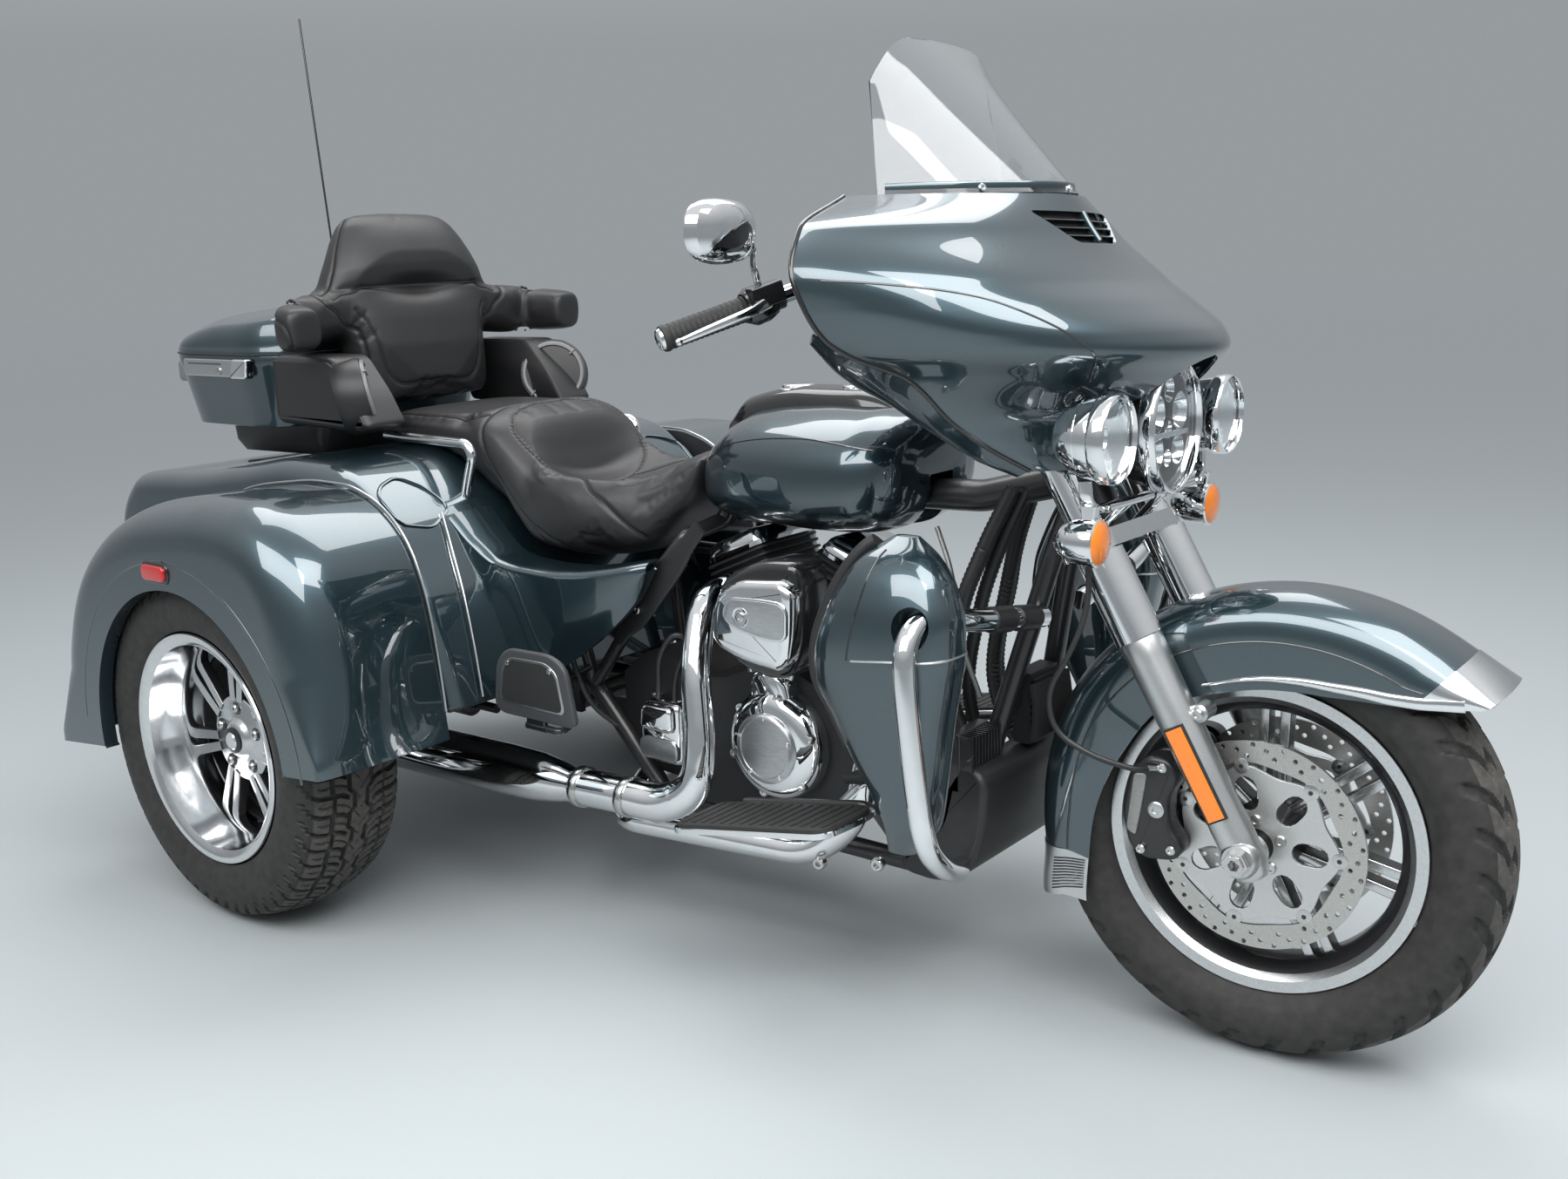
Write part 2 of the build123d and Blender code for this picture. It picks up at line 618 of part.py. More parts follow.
# Rear axle: housing with its differential, hub flanges and two trailing arms on a pivot tube
axle_tube = 30.0
hub_face = rear_centre_y - 60 - seat_gap
pivot_x = 385.0
pivot_z = 338.0
with BuildPart() as rear_axle:
    with BuildSketch(Plane.XZ.offset(-hub_face)):
        with Locations((0, tyre_radius)):
            Circle(axle_tube)
    extrude(amount=2 * hub_face)
    with BuildSketch(Plane.XZ.offset(-95)):
        with Locations((0, tyre_radius)):
            Circle(65)
    extrude(amount=190)
    for start in (-hub_face, hub_face - 14):
        with BuildSketch(Plane.XZ.offset(start)):
            with Locations((0, tyre_radius)):
                Circle(58)
        extrude(amount=14)
    with BuildSketch(Plane.XZ.offset(-(rear_rail_spread - 6 - seat_gap))):
        with Locations((pivot_x, pivot_z)):
            Circle(20)
    extrude(amount=2 * (rear_rail_spread - 6 - seat_gap))
    for side in (-1, 1):
        add(tube([(pivot_x, side * 70, pivot_z), (0, side * 84, tyre_radius)], 17))
    with BuildSketch(Plane.XY.offset(tyre_radius)):
        with Locations((0, -rear_rail_spread), (0, rear_rail_spread)):
            Rectangle(50, 24)
    extrude(amount=rear_rail_z - rail_radius - seat_gap - tyre_radius)
save(rear_axle.part, "rear_axle")

with BuildPart() as shock:
    with BuildSketch(Plane.YZ.offset(axle_tube + seat_gap)):
        with Locations((-215, tyre_radius + 4)):
            Circle(25)
    extrude(amount=170)
    with BuildSketch(Plane.YZ.offset(axle_tube + 170)):
        with Locations((-215, tyre_radius + 4)):
            Circle(9)
    extrude(amount=70)
save(both_sides(shock.part), "rear_shocks")

# Final drive: toothed belt on two pulleys, left side
belt_y = 150.0
belt_width = 24.0
belt_front = (540.0, 320.0, 38.0)
belt_rear = (0.0, tyre_radius, 66.0)
with BuildPart() as final_drive:
    with BuildSketch(Plane.XZ.offset(-belt_y - belt_width)):
        with Locations((belt_front[0], belt_front[1])):
            Circle(belt_front[2])
        with Locations((belt_rear[0], belt_rear[1])):
            Circle(belt_rear[2])
            Circle(axle_tube + seat_gap, mode=Mode.SUBTRACT)
    extrude(amount=belt_width)
    with BuildSketch(Plane.XZ.offset(-belt_y - belt_width)):
        with BuildSketch(mode=Mode.PRIVATE) as outer_loop:
            with Locations((belt_front[0], belt_front[1])):
                Circle(belt_front[2] + 3)
            with Locations((belt_rear[0], belt_rear[1])):
                Circle(belt_rear[2] + 3)
            make_hull()
        with BuildSketch(mode=Mode.PRIVATE) as inner_loop:
            with Locations((belt_front[0], belt_front[1])):
                Circle(belt_front[2] - 2)
            with Locations((belt_rear[0], belt_rear[1])):
                Circle(belt_rear[2] - 2)
            make_hull()
        add(outer_loop.sketch - inner_loop.sketch)
    extrude(amount=belt_width)
    with BuildSketch(Plane.XZ.offset(-belt_y)):
        with Locations((belt_front[0], belt_front[1])):
            Circle(14)
    extrude(amount=belt_y - 84.3)
save(final_drive.part, "final_drive")

# Engine: crankcase with the gearbox behind it
case_half_width = 118.0
gearbox_half_width = 84.0
barrel_start = 125.0
barrel_core = 50.0
fin_start = 182.0
head_start = 268.0
rocker_start = 318.0
rocker_end = 350.0
fin_half = 72.0
with BuildPart() as engine_case:
    with BuildSketch(Plane.XZ.offset(-case_half_width)):
        with BuildLine():
            Polyline((700, rail_low + rail_radius + seat_gap), (985, rail_low + rail_radius + seat_gap),
                     (1020, 250),
                     (1028, 380), (986.2, 437.1), (870, 485.3), (753.8, 437.1), (700, 430), close=True)
        make_face()
    extrude(amount=2 * case_half_width)
    with BuildSketch(Plane.XZ.offset(-gearbox_half_width)):
        with BuildLine():
            Polyline((720, 215), (520, 225), (480, 270), (480, 400), (540, 445), (720, 430), close=True)
        make_face()
    extrude(amount=2 * gearbox_half_width)
save(engine_case.part, "engine_case")


def barrel_plane(side):
    """Plane across a cylinder through the crank centre, its normal up the cylinder."""
    lean = math.radians(vee_half_angle)
    return Plane(origin=(crank_x, 0, crank_z), x_dir=(0, 1, 0),
                 z_dir=(side * math.sin(lean), 0, math.cos(lean)))


with BuildPart() as cylinders:
    for side in (-1, 1):
        plane = barrel_plane(side)
        with BuildSketch(plane.offset(barrel_start + seat_gap)):
            Circle(barrel_core)
        extrude(amount=rocker_start - barrel_start - 2 * seat_gap)
        for index in range(barrel_fins):
            with BuildSketch(plane.offset(fin_start + index * 10)):
                RectangleRounded(156, 2 * fin_half, 40)
            extrude(amount=4)
        with BuildSketch(plane.offset(head_start + 2)):
            RectangleRounded(150, 2 * fin_half - 14, 22)
        extrude(amount=rocker_start - head_start - 2 - seat_gap)
        for index in range(4):
            with BuildSketch(plane.offset(head_start + 6 + index * 12)):
                RectangleRounded(164, 2 * fin_half + 4, 26)
            extrude(amount=4.5)
save(cylinders.part, "cylinders")

with BuildPart() as rocker_covers:
    for side in (-1, 1):
        with BuildSketch(barrel_plane(side).offset(rocker_start)):
            RectangleRounded(150, 118, 20)
        extrude(amount=rocker_end - rocker_start, taper=10)
save(rocker_covers.part, "rocker_covers")

# Air cleaner: round cover and backing on a neck that reaches into the vee
cleaner_x = 955.0
cleaner_z = 600.0
intake_radius = 23.4
with BuildPart() as air_cleaner:
    with BuildSketch(Plane.XZ.offset(190)):
        with Locations((cleaner_x, cleaner_z)):
            Circle(78)
        with Locations((crank_x, cleaner_z)):
            Circle(26)
        make_hull()
    extrude(amount=20)
    with BuildSketch(Plane.XZ.offset(210)):
        with Locations((cleaner_x, cleaner_z)):
            Circle(89)
    extrude(amount=75)
    fillet(air_cleaner.faces().sort_by(Axis.Y)[0].edges(), 12)
    with BuildSketch(Plane.XZ.offset(20)):
        with Locations((crank_x, cleaner_z)):
            Circle(18)
    extrude(amount=171)
    with BuildSketch(Plane.XZ.offset(-50)):
        with Locations((crank_x, cleaner_z)):
            Circle(intake_radius)
    extrude(amount=100)
save(air_cleaner.part, "air_cleaner")

with BuildPart() as cam_cover:
    with BuildSketch(Plane.XZ.offset(case_half_width + seat_gap)):
        with Locations((881, 347)):
            Circle(92)
        with Locations((870, 440)):
            Circle(34)
        make_hull()
    extrude(amount=40)
    with BuildSketch(Plane.XZ.offset(case_half_width + seat_gap + 40)):
        with Locations((881, 347)):
            Circle(84)
    extrude(amount=36, taper=14)
with BuildPart() as gearbox_cover:
    with BuildSketch(Plane.XZ.offset(gearbox_half_width + seat_gap)):
        with Locations((650, 332)):
            RectangleRounded(86, 108, 26)
    extrude(amount=110, taper=5)
save(Compound(children=[*cam_cover.part.solids(), *gearbox_cover.part.solids()]), "engine_covers")

with BuildPart() as primary_cover:
    with BuildSketch(Plane.XZ.offset(-215)):
        with Locations((880, 340)):
            Circle(92)
        with Locations((664, 322)):
            Circle(72)
        make_hull()
    extrude(amount=215 - case_half_width - seat_gap)
    fillet(primary_cover.faces().sort_by(Axis.Y)[-1].edges(), 22)
save(primary_cover.part, "primary_cover")

# Exhausts: the rear cylinder's on the right, the front cylinder's under the gearbox to the left
muffler_y = 285.0
muffler_radius = 46.0
muffler_front = 560.0
muffler_rear = -500.0
muffler_z = 240.0
muffler_rise = 24.0


def muffler(side):
    """Long tapered silencer along the side."""
    rise = muffler_rise / (muffler_front - muffler_rear)
    with BuildPart() as can:
        with BuildSketch(Plane(origin=(muffler_rear, side * muffler_y, muffler_z - muffler_rise / 2),
                               z_dir=(1, 0, rise))):
            Circle(muffler_radius)
        extrude(amount=muffler_front - muffler_rear)
        fillet(can.edges().sort_by(Axis.X)[-1], 18)
        with BuildSketch(Plane(origin=(muffler_rear - 1, side * muffler_y, muffler_z - muffler_rise / 2),
                               z_dir=(1, 0, rise))):
            Circle(muffler_radius - 10)
        extrude(amount=60, mode=Mode.SUBTRACT)
    return can.part


with BuildPart() as exhaust_right:
    add(tube([(748, -66, 590), (750, -165, 584), (782, -222, 480), (812, -244, 330), (708, -266, 256),
              (muffler_front - 10, -muffler_y, muffler_z + muffler_rise / 2)], 26, 46))
    add(muffler(-1))
    add(cylinders.part, mode=Mode.SUBTRACT)
save(exhaust_right.part, "exhaust_right")

with BuildPart() as exhaust_left:
    add(tube([(1035, -34, 592), (1104, -62, 562), (1088, -150, 400), (1066, -172, 262), (985, -184, 190),
              (600, -232, 188), (470, -20, 180), (452, 150, 190),
              (muffler_front - 120, muffler_y, muffler_z + muffler_rise / 2)], 23, 40))
    add(muffler(1))
    add(cylinders.part, mode=Mode.SUBTRACT)
save(exhaust_left.part, "exhaust_left")

# Fuel tank: lofted teardrop astride the backbone
# Sections at x: half width, underside, top
tank_sections = (
    (700, 84, 716, 838),
    (800, 138, 708, 892),
    (950, 166, 704, 904),
    (1060, 158, 714, 900),
    (1118, 104, 748, 872),
)
tunnel_top = 800.0
with BuildPart() as fuel_tank:
    for x, half, low, high in tank_sections:
        with BuildSketch(Plane.YZ.offset(x)):
            with BuildLine():
                shoulder = high - 0.2 * (high - low)
                Line((-half * 0.82, low), (half * 0.82, low))
                ThreePointArc((half * 0.82, low), (half, (low + shoulder) / 2), (half * 0.74, shoulder))
                ThreePointArc((half * 0.74, shoulder), (0, high), (-half * 0.74, shoulder))
                ThreePointArc((-half * 0.74, shoulder), (-half, (low + shoulder) / 2), (-half * 0.82, low))
            make_face()
    loft()
    with BuildSketch(Plane.YZ.offset(600)):
        with Locations((0, (tunnel_top + 650) / 2)):
            Rectangle(2 * tunnel_half, tunnel_top - 650)
    extrude(amount=600, mode=Mode.SUBTRACT)
save(fuel_tank.part, "fuel_tank")

with BuildPart() as tank_console:
    with BuildSketch(Plane.XZ.offset(-44)):
        with BuildLine():
            Polyline((712, 830), (716, 866), (800, 917), (960, 926), (1052, 912), (1070, 880), close=True)
        make_face()
    extrude(amount=88)
    fillet(tank_console.edges().filter_by(Axis.Y).group_by(Axis.Z)[-1], 20)
    add(fuel_tank.part.moved(Location((0, 0, seat_gap))), mode=Mode.SUBTRACT)
    with BuildSketch(Plane.XY.offset(700)):
        with Locations((900, 0)):
            Rectangle(500, 200)
    extrude(amount=130, mode=Mode.SUBTRACT)
save(tank_console.part.solids().sort_by(SortBy.VOLUME)[-1], "tank_console")

# Rear body: hollow trunk shell between the rear fenders
body_top = ((-550, 745), (-369, 758), (-18, 803), (120, 792), (249, 706), (333, 578), (399, 396))
body_floor = 394.0
door_low = 426.0
door_high = 596.0
door_half = 296.0
door_gap = 5.0
body_rear = -650.0
door_hinge_x = body_rear - 6
door_hinge_z = door_low - 2
door_knuckle = 150.0
with BuildPart() as rear_body:
    with BuildSketch(Plane.XZ.offset(-body_half - body_bulge)):
        with BuildLine():
            Polyline((body_rear, body_floor), (body_rear, 610), (-604, 705), *body_top, (399, body_floor),
                     close=True)
        make_face()
    extrude(amount=2 * (body_half + body_bulge))
    fillet(rear_body.faces().filter_by(lambda f: f.normal_at().Z > 0.3).edges().filter_by(
        lambda e: abs(abs(e.center().Y) - body_half - body_bulge) < 1), 40)
    with BuildSketch(Plane.YZ.offset(body_rear - 10)):
        with Locations((0, (door_low + door_high) / 2)):
            Rectangle(2 * (door_half + door_gap), door_high - door_low + 2 * door_gap)
    extrude(amount=30, mode=Mode.SUBTRACT)
    for start in (-door_knuckle - seat_gap - 60, door_knuckle + seat_gap):
        with BuildSketch(Plane.XZ.offset(start)):
            with Locations((door_hinge_x, door_hinge_z)):
                Circle(5)
            with Locations((door_hinge_x + 4, door_hinge_z - 10)):
                Rectangle(8, 14)
        extrude(amount=60)
trunk_half = body_half + body_bulge - 6
with BuildPart() as trunk_space:
    with BuildSketch(Plane.XZ.offset(-trunk_half)):
        with BuildLine():
            Polyline((body_rear + 6, body_floor + 6), (body_rear + 6, 607), (-598, 697), (-547, 737),
                     (-369, 750),
                     (-18, 795), (100, 784), (190, 725), (190, body_floor + 6), close=True)
        make_face()
    extrude(amount=2 * trunk_half)
    fillet(trunk_space.faces().filter_by(lambda f: f.normal_at().Z > 0.3).edges().filter_by(
        lambda e: abs(abs(e.center().Y) - trunk_half) < 1), 36)
save(rear_body.part - trunk_space.part, "rear_body")

# Trunk door: drops down about its lower edge
with BuildPart() as trunk_door:
    with BuildSketch(Plane.YZ.offset(body_rear - 4)):
        with Locations((0, (door_low + door_high) / 2)):
            RectangleRounded(2 * door_half, door_high - door_low, 16)
    extrude(amount=20)
    with BuildSketch(Plane.XZ.offset(-door_knuckle)):
        with Locations((door_hinge_x, door_hinge_z)):
            Circle(5)
    extrude(amount=2 * door_knuckle)
    for start in (-door_knuckle - seat_gap - 61, door_knuckle):
        with BuildSketch(Plane.XZ.offset(start)):
            with Locations((door_hinge_x, door_hinge_z)):
                Circle(5.5)
        extrude(amount=61 + seat_gap, mode=Mode.SUBTRACT)
save(trunk_door.part, "trunk_door")

# Rear fenders: hollow wheel covers, open below and round the wheel
fender_in = body_half + body_bulge + seat_gap
with BuildPart() as rear_fender:
    with BuildSketch(Plane.XZ.offset(fender_in)):
        with BuildLine():
            Polyline((-458, 266), (-446, 420))
            ThreePointArc((-446, 420), (-310, 655), (0, 764))
            Polyline((0, 764), (175, 775), (300, 752), (362, 660), (399, 346))
            Line((399, 346), (-458, 266))
        make_face()
    extrude(amount=fender_outer - fender_in)
    fillet(rear_fender.faces().sort_by(Axis.Y)[0].edges().filter_by(lambda e: e.center().Z > 330), 62)
with BuildPart() as fender_space:
    with BuildSketch(Plane.XZ.offset(fender_in + 6)):
        with BuildLine():
            Polyline((-452, 230), (-440, 420))
            ThreePointArc((-440, 420), (-306, 649), (0, 758))
            Polyline((0, 758), (174, 769), (296, 747), (356, 657), (393, 346), (393, 230), (-452, 230))
        make_face()
    extrude(amount=fender_outer - fender_in - 12)
    fillet(fender_space.faces().sort_by(Axis.Y)[0].edges().filter_by(lambda e: e.center().Z > 240), 56)
with BuildPart() as fender_cuts:
    with BuildSketch(Plane.XZ.offset(fender_outer - 60)):
        with Locations((0, tyre_radius)):
            Circle(296)
    extrude(amount=100)
    with BuildSketch(Plane.XZ.offset(fender_in - 1)):
        with Locations((0, tyre_radius)):
            Circle(70)
        with Locations((0, tyre_radius - 60)):
            Rectangle(140, 120)
    extrude(amount=10)
save(both_sides(rear_fender.part - fender_space.part - fender_cuts.part), "rear_fenders")


# Luggage case: hollow base on a carrier, with a lid hinged along its left edge
case_centre_x = (case_rear + case_front) / 2
case_length = case_front - case_rear
lid_hinge_y = case_half + 6


def case_plan(inset):
    with BuildSketch() as plan:
        with Locations((case_centre_x, 0)):
            RectangleRounded(case_length - 2 * inset, 2 * case_half - 2 * inset, 84 - inset * 0.6)
    return plan.sketch


with BuildPart() as case_base:
    with BuildSketch(Plane.XY.offset(case_bottom + 38)):
        add(case_plan(26))
    with BuildSketch(Plane.XY.offset(case_split)):
        add(case_plan(0))
    loft()
    with BuildSketch(Plane.XY.offset(case_bottom + 38 + case_wall)):
        add(case_plan(26 + case_wall))
    with BuildSketch(Plane.XY.offset(case_split + 1)):
        add(case_plan(case_wall))
    loft(mode=Mode.SUBTRACT)
    with BuildSketch(Plane.XZ.offset(-150)):
        with BuildLine():
            Polyline((-548, 746 + seat_gap), (-369, 758 + seat_gap), (-262, 772.4 + seat_gap),
                     (-262, case_bottom + 38), (-575, case_bottom + 38), (-575, 782), close=True)
        make_face()
    extrude(amount=300)
    for x in (case_rear + 110, case_front - 110):
        with BuildSketch(Plane.YZ.offset(x - 20)):
            with Locations((lid_hinge_y, case_split)):
                Circle(5.6)
            with Locations((case_half - 2, case_split - 9)):
                Rectangle(14, 10)
        extrude(amount=19.7)
save(case_base.part, "case_base")

# Lid sections at x: height at the sides, height in the middle
lid_sections = ((case_rear, 990, 1006), (-560, 1016, 1040), (-430, 1040, 1066), (case_front, 1046, 1074))


def lid_form(inset, base):
    with BuildPart() as form:
        for x, side_z, mid_z in lid_sections:
            with BuildSketch(Plane.YZ.offset(x)):
                with BuildLine():
                    half = case_half - inset
                    Polyline((-half, side_z - inset), (-half, base), (half, base), (half, side_z - inset))
                    ThreePointArc((half, side_z - inset), (0, mid_z - inset), (-half, side_z - inset))
                make_face()
        loft()
        with BuildSketch(Plane.XY.offset(base - 1)):
            add(case_plan(inset))
        extrude(amount=200, mode=Mode.INTERSECT)
    return form.part


with BuildPart() as lid_solid:
    add(lid_form(0, case_split + seat_gap))
    for x in (case_rear + 110, case_front - 110):
        with BuildSketch(Plane.YZ.offset(x)):
            with Locations((lid_hinge_y, case_split)):
                Circle(5.6)
            with Locations((case_half - 2, case_split + 10)):
                Rectangle(14, 10)
        extrude(amount=20)
save(lid_solid.part - lid_form(case_wall, case_split - 5), "case_lid")

# Backrest on the front of the lid: pad, head roll and two wrap-round arms
rest_gap = 0.3
head_half = 214.0
with BuildPart() as head_roll:
    with BuildSketch(Plane.XZ.offset(-head_half)):
        with BuildLine():
            Polyline((-128, 1090), (-122, 1150), (-150, 1222), (-196, 1250), (-236, 1236), (-246, 1180),
                     (case_front + 2, 1086), close=True)
        make_face()
    extrude(amount=2 * head_half)
    fillet(head_roll.edges().filter_by(Axis.Y).group_by(Axis.Z)[-1], 16)
    with BuildSketch(Plane.YZ.offset(case_front - 40)):
        with BuildLine():
            Polyline((-head_half, 1080), (-head_half, 1104), (-178, 1180), (-126, 1238), (-90, 1252),
                     (90, 1252),
                     (126, 1238), (178, 1180), (head_half, 1104), (head_half, 1080), close=True)
        make_face()
    extrude(amount=300, mode=Mode.INTERSECT)
with BuildPart() as backrest:
    with BuildSketch(Plane.XZ.offset(-150)):
        with BuildLine():
            Polyline((-222, 872), (-86, 866), (-92, 985), (-128, 1096), (-228 + 12, 1096),
                     (case_front + rest_gap, 1070), (case_front + rest_gap, 985), (-222, 980), close=True)
        make_face()
    extrude(amount=300)
    add(head_roll.part)
    with BuildSketch(Plane.XY.offset(case_split + 16)):
        with BuildLine():
            Polyline((-232, -140), (-232, -282), (-140, -352), (-34, -356), (-34, -318), (-110, -300),
                     (-116, -140),
                     close=True)
        make_face()
    extrude(amount=74)
    with BuildSketch(Plane.XY.offset(case_split + 16)):
        with BuildLine():
            Polyline((-232, 140), (-232, 282), (-140, 352), (-34, 356), (-34, 318), (-110, 300), (-116, 140),
                     close=True)
        make_face()
    extrude(amount=74)
save(backrest.part, "backrest")

# Speaker pods in front of the case, with the armrests' bases
with BuildPart() as pod:
    with BuildSketch(Plane.XZ.offset(200)):
        with BuildLine():
            Polyline((case_front + seat_gap, 846), (60, 838), (97, 852), (76, 926), (-26, 978),
                     (case_front + seat_gap, 978), close=True)
        make_face()
    extrude(amount=90)
    fillet(pod.faces().sort_by(Axis.Y)[0].edges().filter_by(lambda e: e.center().X > case_front + 5), 18)
save(both_sides(pod.part), "speaker_pods")

# Case lamp across the back, the lamp under it and the lamps on the body's tail
with BuildPart() as case_lamps:
    with BuildSketch(Plane.XZ.offset(-236)):
        with BuildLine():
            Polyline((case_rear + 11.9, 906), (case_rear - 34, 914), (case_rear - 43, 944),
                     (case_rear - 43, 958), (case_rear + 2.7, 958), close=True)
        make_face()
    extrude(amount=472)
    with BuildSketch(Plane.YZ.offset(-575 - seat_gap - 14)):
        with Locations((0, 806)):
            RectangleRounded(240, 34, 8)
    extrude(amount=14)
save(case_lamps.part, "case_lamps")

with BuildPart() as tail_lamp:
    with BuildSketch(Plane.YZ.offset(body_rear - 24)):
        with Locations((-374, 530)):
            RectangleRounded(92, 128, 34)
    extrude(amount=24 - seat_gap)
save(both_sides(tail_lamp.part), "tail_lamps")

# Whip aerial on a foot behind the left rear corner of the case
with BuildPart() as aerial:
    add(tube([(case_rear - 30, 196, 962), (-725, 196, 1690)], 2.4))
    with BuildSketch(Plane.XY.offset(958 + seat_gap)):
        with Locations((case_rear - 30, 196)):
            Circle(11)
    extrude(amount=26, taper=8)
save(aerial.part, "aerial")

# Seat: two cushions in one cover, the rider's dished between side rolls
seat_half = 190.0
dish_half = 112.0
seat_outline = (
    (-72, 802), (-72, 858), (20, 864), (140, 862), (225, 876), (262, 872), (306, 836), (350, 790),
    (430, 768),
    (560, 768), (640, 798), (688, 826), (688, 790), (646, 700), (588, 640), (435, 622), (350, 622),
    (262, 704),
    (126, 795), (-18, 803.5),
)
dish_outline = ((296, 900), (306, 836), (328, 770), (356, 736), (430, 728), (520, 738), (580, 772),
                (620, 900))
with BuildPart() as seat:
    with BuildSketch(Plane.XZ.offset(-seat_half)):
        with BuildLine():
            Polyline(*seat_outline, close=True)
        make_face()
    extrude(amount=2 * seat_half)
    with BuildSketch(Plane.XY.offset(500)):
        with BuildLine():
            Polyline((-80, -178), (0, -190), (470, -190), (600, -150), (700, -88), (700, 88), (600, 150),
                     (470, 190), (0, 190), (-80, 178), close=True)
        make_face()
    extrude(amount=600, mode=Mode.INTERSECT)
    with BuildSketch(Plane.XZ.offset(-dish_half)):
        with BuildLine():
            Polyline(*dish_outline, close=True)
        make_face()
    extrude(amount=2 * dish_half, mode=Mode.SUBTRACT)
save(seat.part, "seat")

# Grab rails beside the passenger's seat
with BuildPart() as grab_rail:
    add(tube([(0, -206, 838 - 12), (60, -214, 838 - 12), (262, -214, 822), (226, -214, 724)], 9, 24))
save(both_sides(grab_rail.part), "grab_rails")

with BuildPart() as side_cover:
    with BuildSketch(Plane.XZ.offset(178)):
        with BuildLine():
            Polyline((676, 644), (640, 560), (514, 462), (408, 398), (343, 578), (259, 706), (349, 616),
                     (435, 614),
                     (588, 632), close=True)
        make_face()
    extrude(amount=76)
    fillet(side_cover.faces().sort_by(Axis.Y)[0].edges(), 12)
save(both_sides(side_cover.part), "side_covers")

# Leg shields with their guard tubes
# Outline: distance behind the front axle, height
shield_outline = ((474, 700), (410, 762), (370, 720), (324.6, 615), (340, 600), (370, 310), (430, 306),
                  (456, 360),
                  (460, 440), (520, 500), (574, 560))
guard_shoulder_y = 220.0
with BuildPart() as leg_shield:
    with BuildSketch(Plane.XZ.offset(262)):
        with BuildLine():
            Polyline(*[(wheelbase - back, z) for back, z in shield_outline], close=True)
        make_face()
    extrude(amount=118)
    fillet(leg_shield.faces().sort_by(Axis.Y)[0].edges(), 26)
save(both_sides(leg_shield.part), "leg_shields")

with BuildPart() as guard:
    add(tube([(wheelbase - 334, -42, 602), (wheelbase - 325, -guard_shoulder_y, 650),
              (wheelbase - 308, -396, 644),
              (wheelbase - 304, -410, 372), (wheelbase - 370, -240, 262),
              (wheelbase - 456, -rail_spread, 200)],
             guard_radius, 50))
    add(frame.part, mode=Mode.SUBTRACT)
save(both_sides(guard.part.solids().sort_by(SortBy.VOLUME)[-1]), "engine_guards")

cooler_x = wheelbase - 380.0
with BuildPart() as cooler:
    with BuildSketch(Plane.XZ.offset(-41)):
        with Locations((cooler_x, 452)):
            Rectangle(30, 112)
    extrude(amount=82)
    for index in range(9):
        with BuildSketch(Plane.XY.offset(400 + index * 12)):
            with Locations((cooler_x + 6, 0)):
                Rectangle(34, 82)
        extrude(amount=4)
    with BuildSketch(Plane.XZ.offset(-70)):
        with Locations((cooler_x - 6, 470)):
            Rectangle(16, 20)
    extrude(amount=140)
    add(frame.part, mode=Mode.SUBTRACT)
save(cooler.part.solids().sort_by(SortBy.VOLUME)[-1], "oil_cooler")

# Outline: distance behind the front axle, height
chin_outline = ((474, 150), (408, 206), (366, 352), (374, 378), (380, 376), (373, 352), (413, 210),
                (477, 155))
with BuildPart() as chin_guard:
    with BuildSketch(Plane.XZ.offset(-132)):
        with BuildLine():
            Polyline(*[(wheelbase - back, z) for back, z in chin_outline], close=True)
        make_face()
    extrude(amount=264)
    for side in (-1, 1):
        with BuildSketch(Plane.XZ.offset(side * 84 - 6)):
            with Locations((wheelbase - 388, 340)):
                Rectangle(34, 16)
        extrude(amount=12)
    add(frame.part, mode=Mode.SUBTRACT)
save(chin_guard.part.solids().sort_by(SortBy.VOLUME)[-1], "chin_guard")

# Rider's footboards: hinged at the inner edge on a bracket bar
board_pitch = 10.6
board_centre = (1045.0, -352.0, 316.0)
board_length = 322.0
board_width = 136.0
board_thickness = 10.0
board_hinge_y = 277.5
board_bar_radius = 5.2
board_plane = Plane(origin=board_centre, x_dir=(math.cos(math.radians(board_pitch)), 0,
                    math.sin(math.radians(board_pitch))), z_dir=(-math.sin(math.radians(board_pitch)), 0,
                    math.cos(math.radians(board_pitch))))
with BuildPart() as board:
    with BuildSketch(board_plane.offset(-board_thickness / 2)):
        RectangleRounded(board_length, board_width, 36)
    extrude(amount=board_thickness)
    for x in (-100, 100):
        with BuildSketch(Plane(origin=board_plane.from_local_coords((x - 12, 352 - board_hinge_y, 0)),
                               z_dir=board_plane.x_dir)):
            Circle(4.7)
        extrude(amount=24)
        with BuildSketch(board_plane.offset(-4)):
            with Locations((x, 352 - board_hinge_y - 5)):
                Rectangle(24, 8)
        extrude(amount=8)
save(board.part, "footboard_right")
save(mirror(board.part, about=Plane.XZ), "footboard_left")

with BuildPart() as board_bracket:
    front_arm = board_plane.from_local_coords((120, 352 - board_hinge_y + 12.5, 0))
    rear_arm = board_plane.from_local_coords((-130, 352 - board_hinge_y + 12.5, 0))
    add(tube([(1150, -rail_spread - rail_radius + 4, rail_low), (1158, -190, 250), tuple(front_arm),
              tuple(rear_arm)], 7.5, 18))
    add(frame.part, mode=Mode.SUBTRACT)

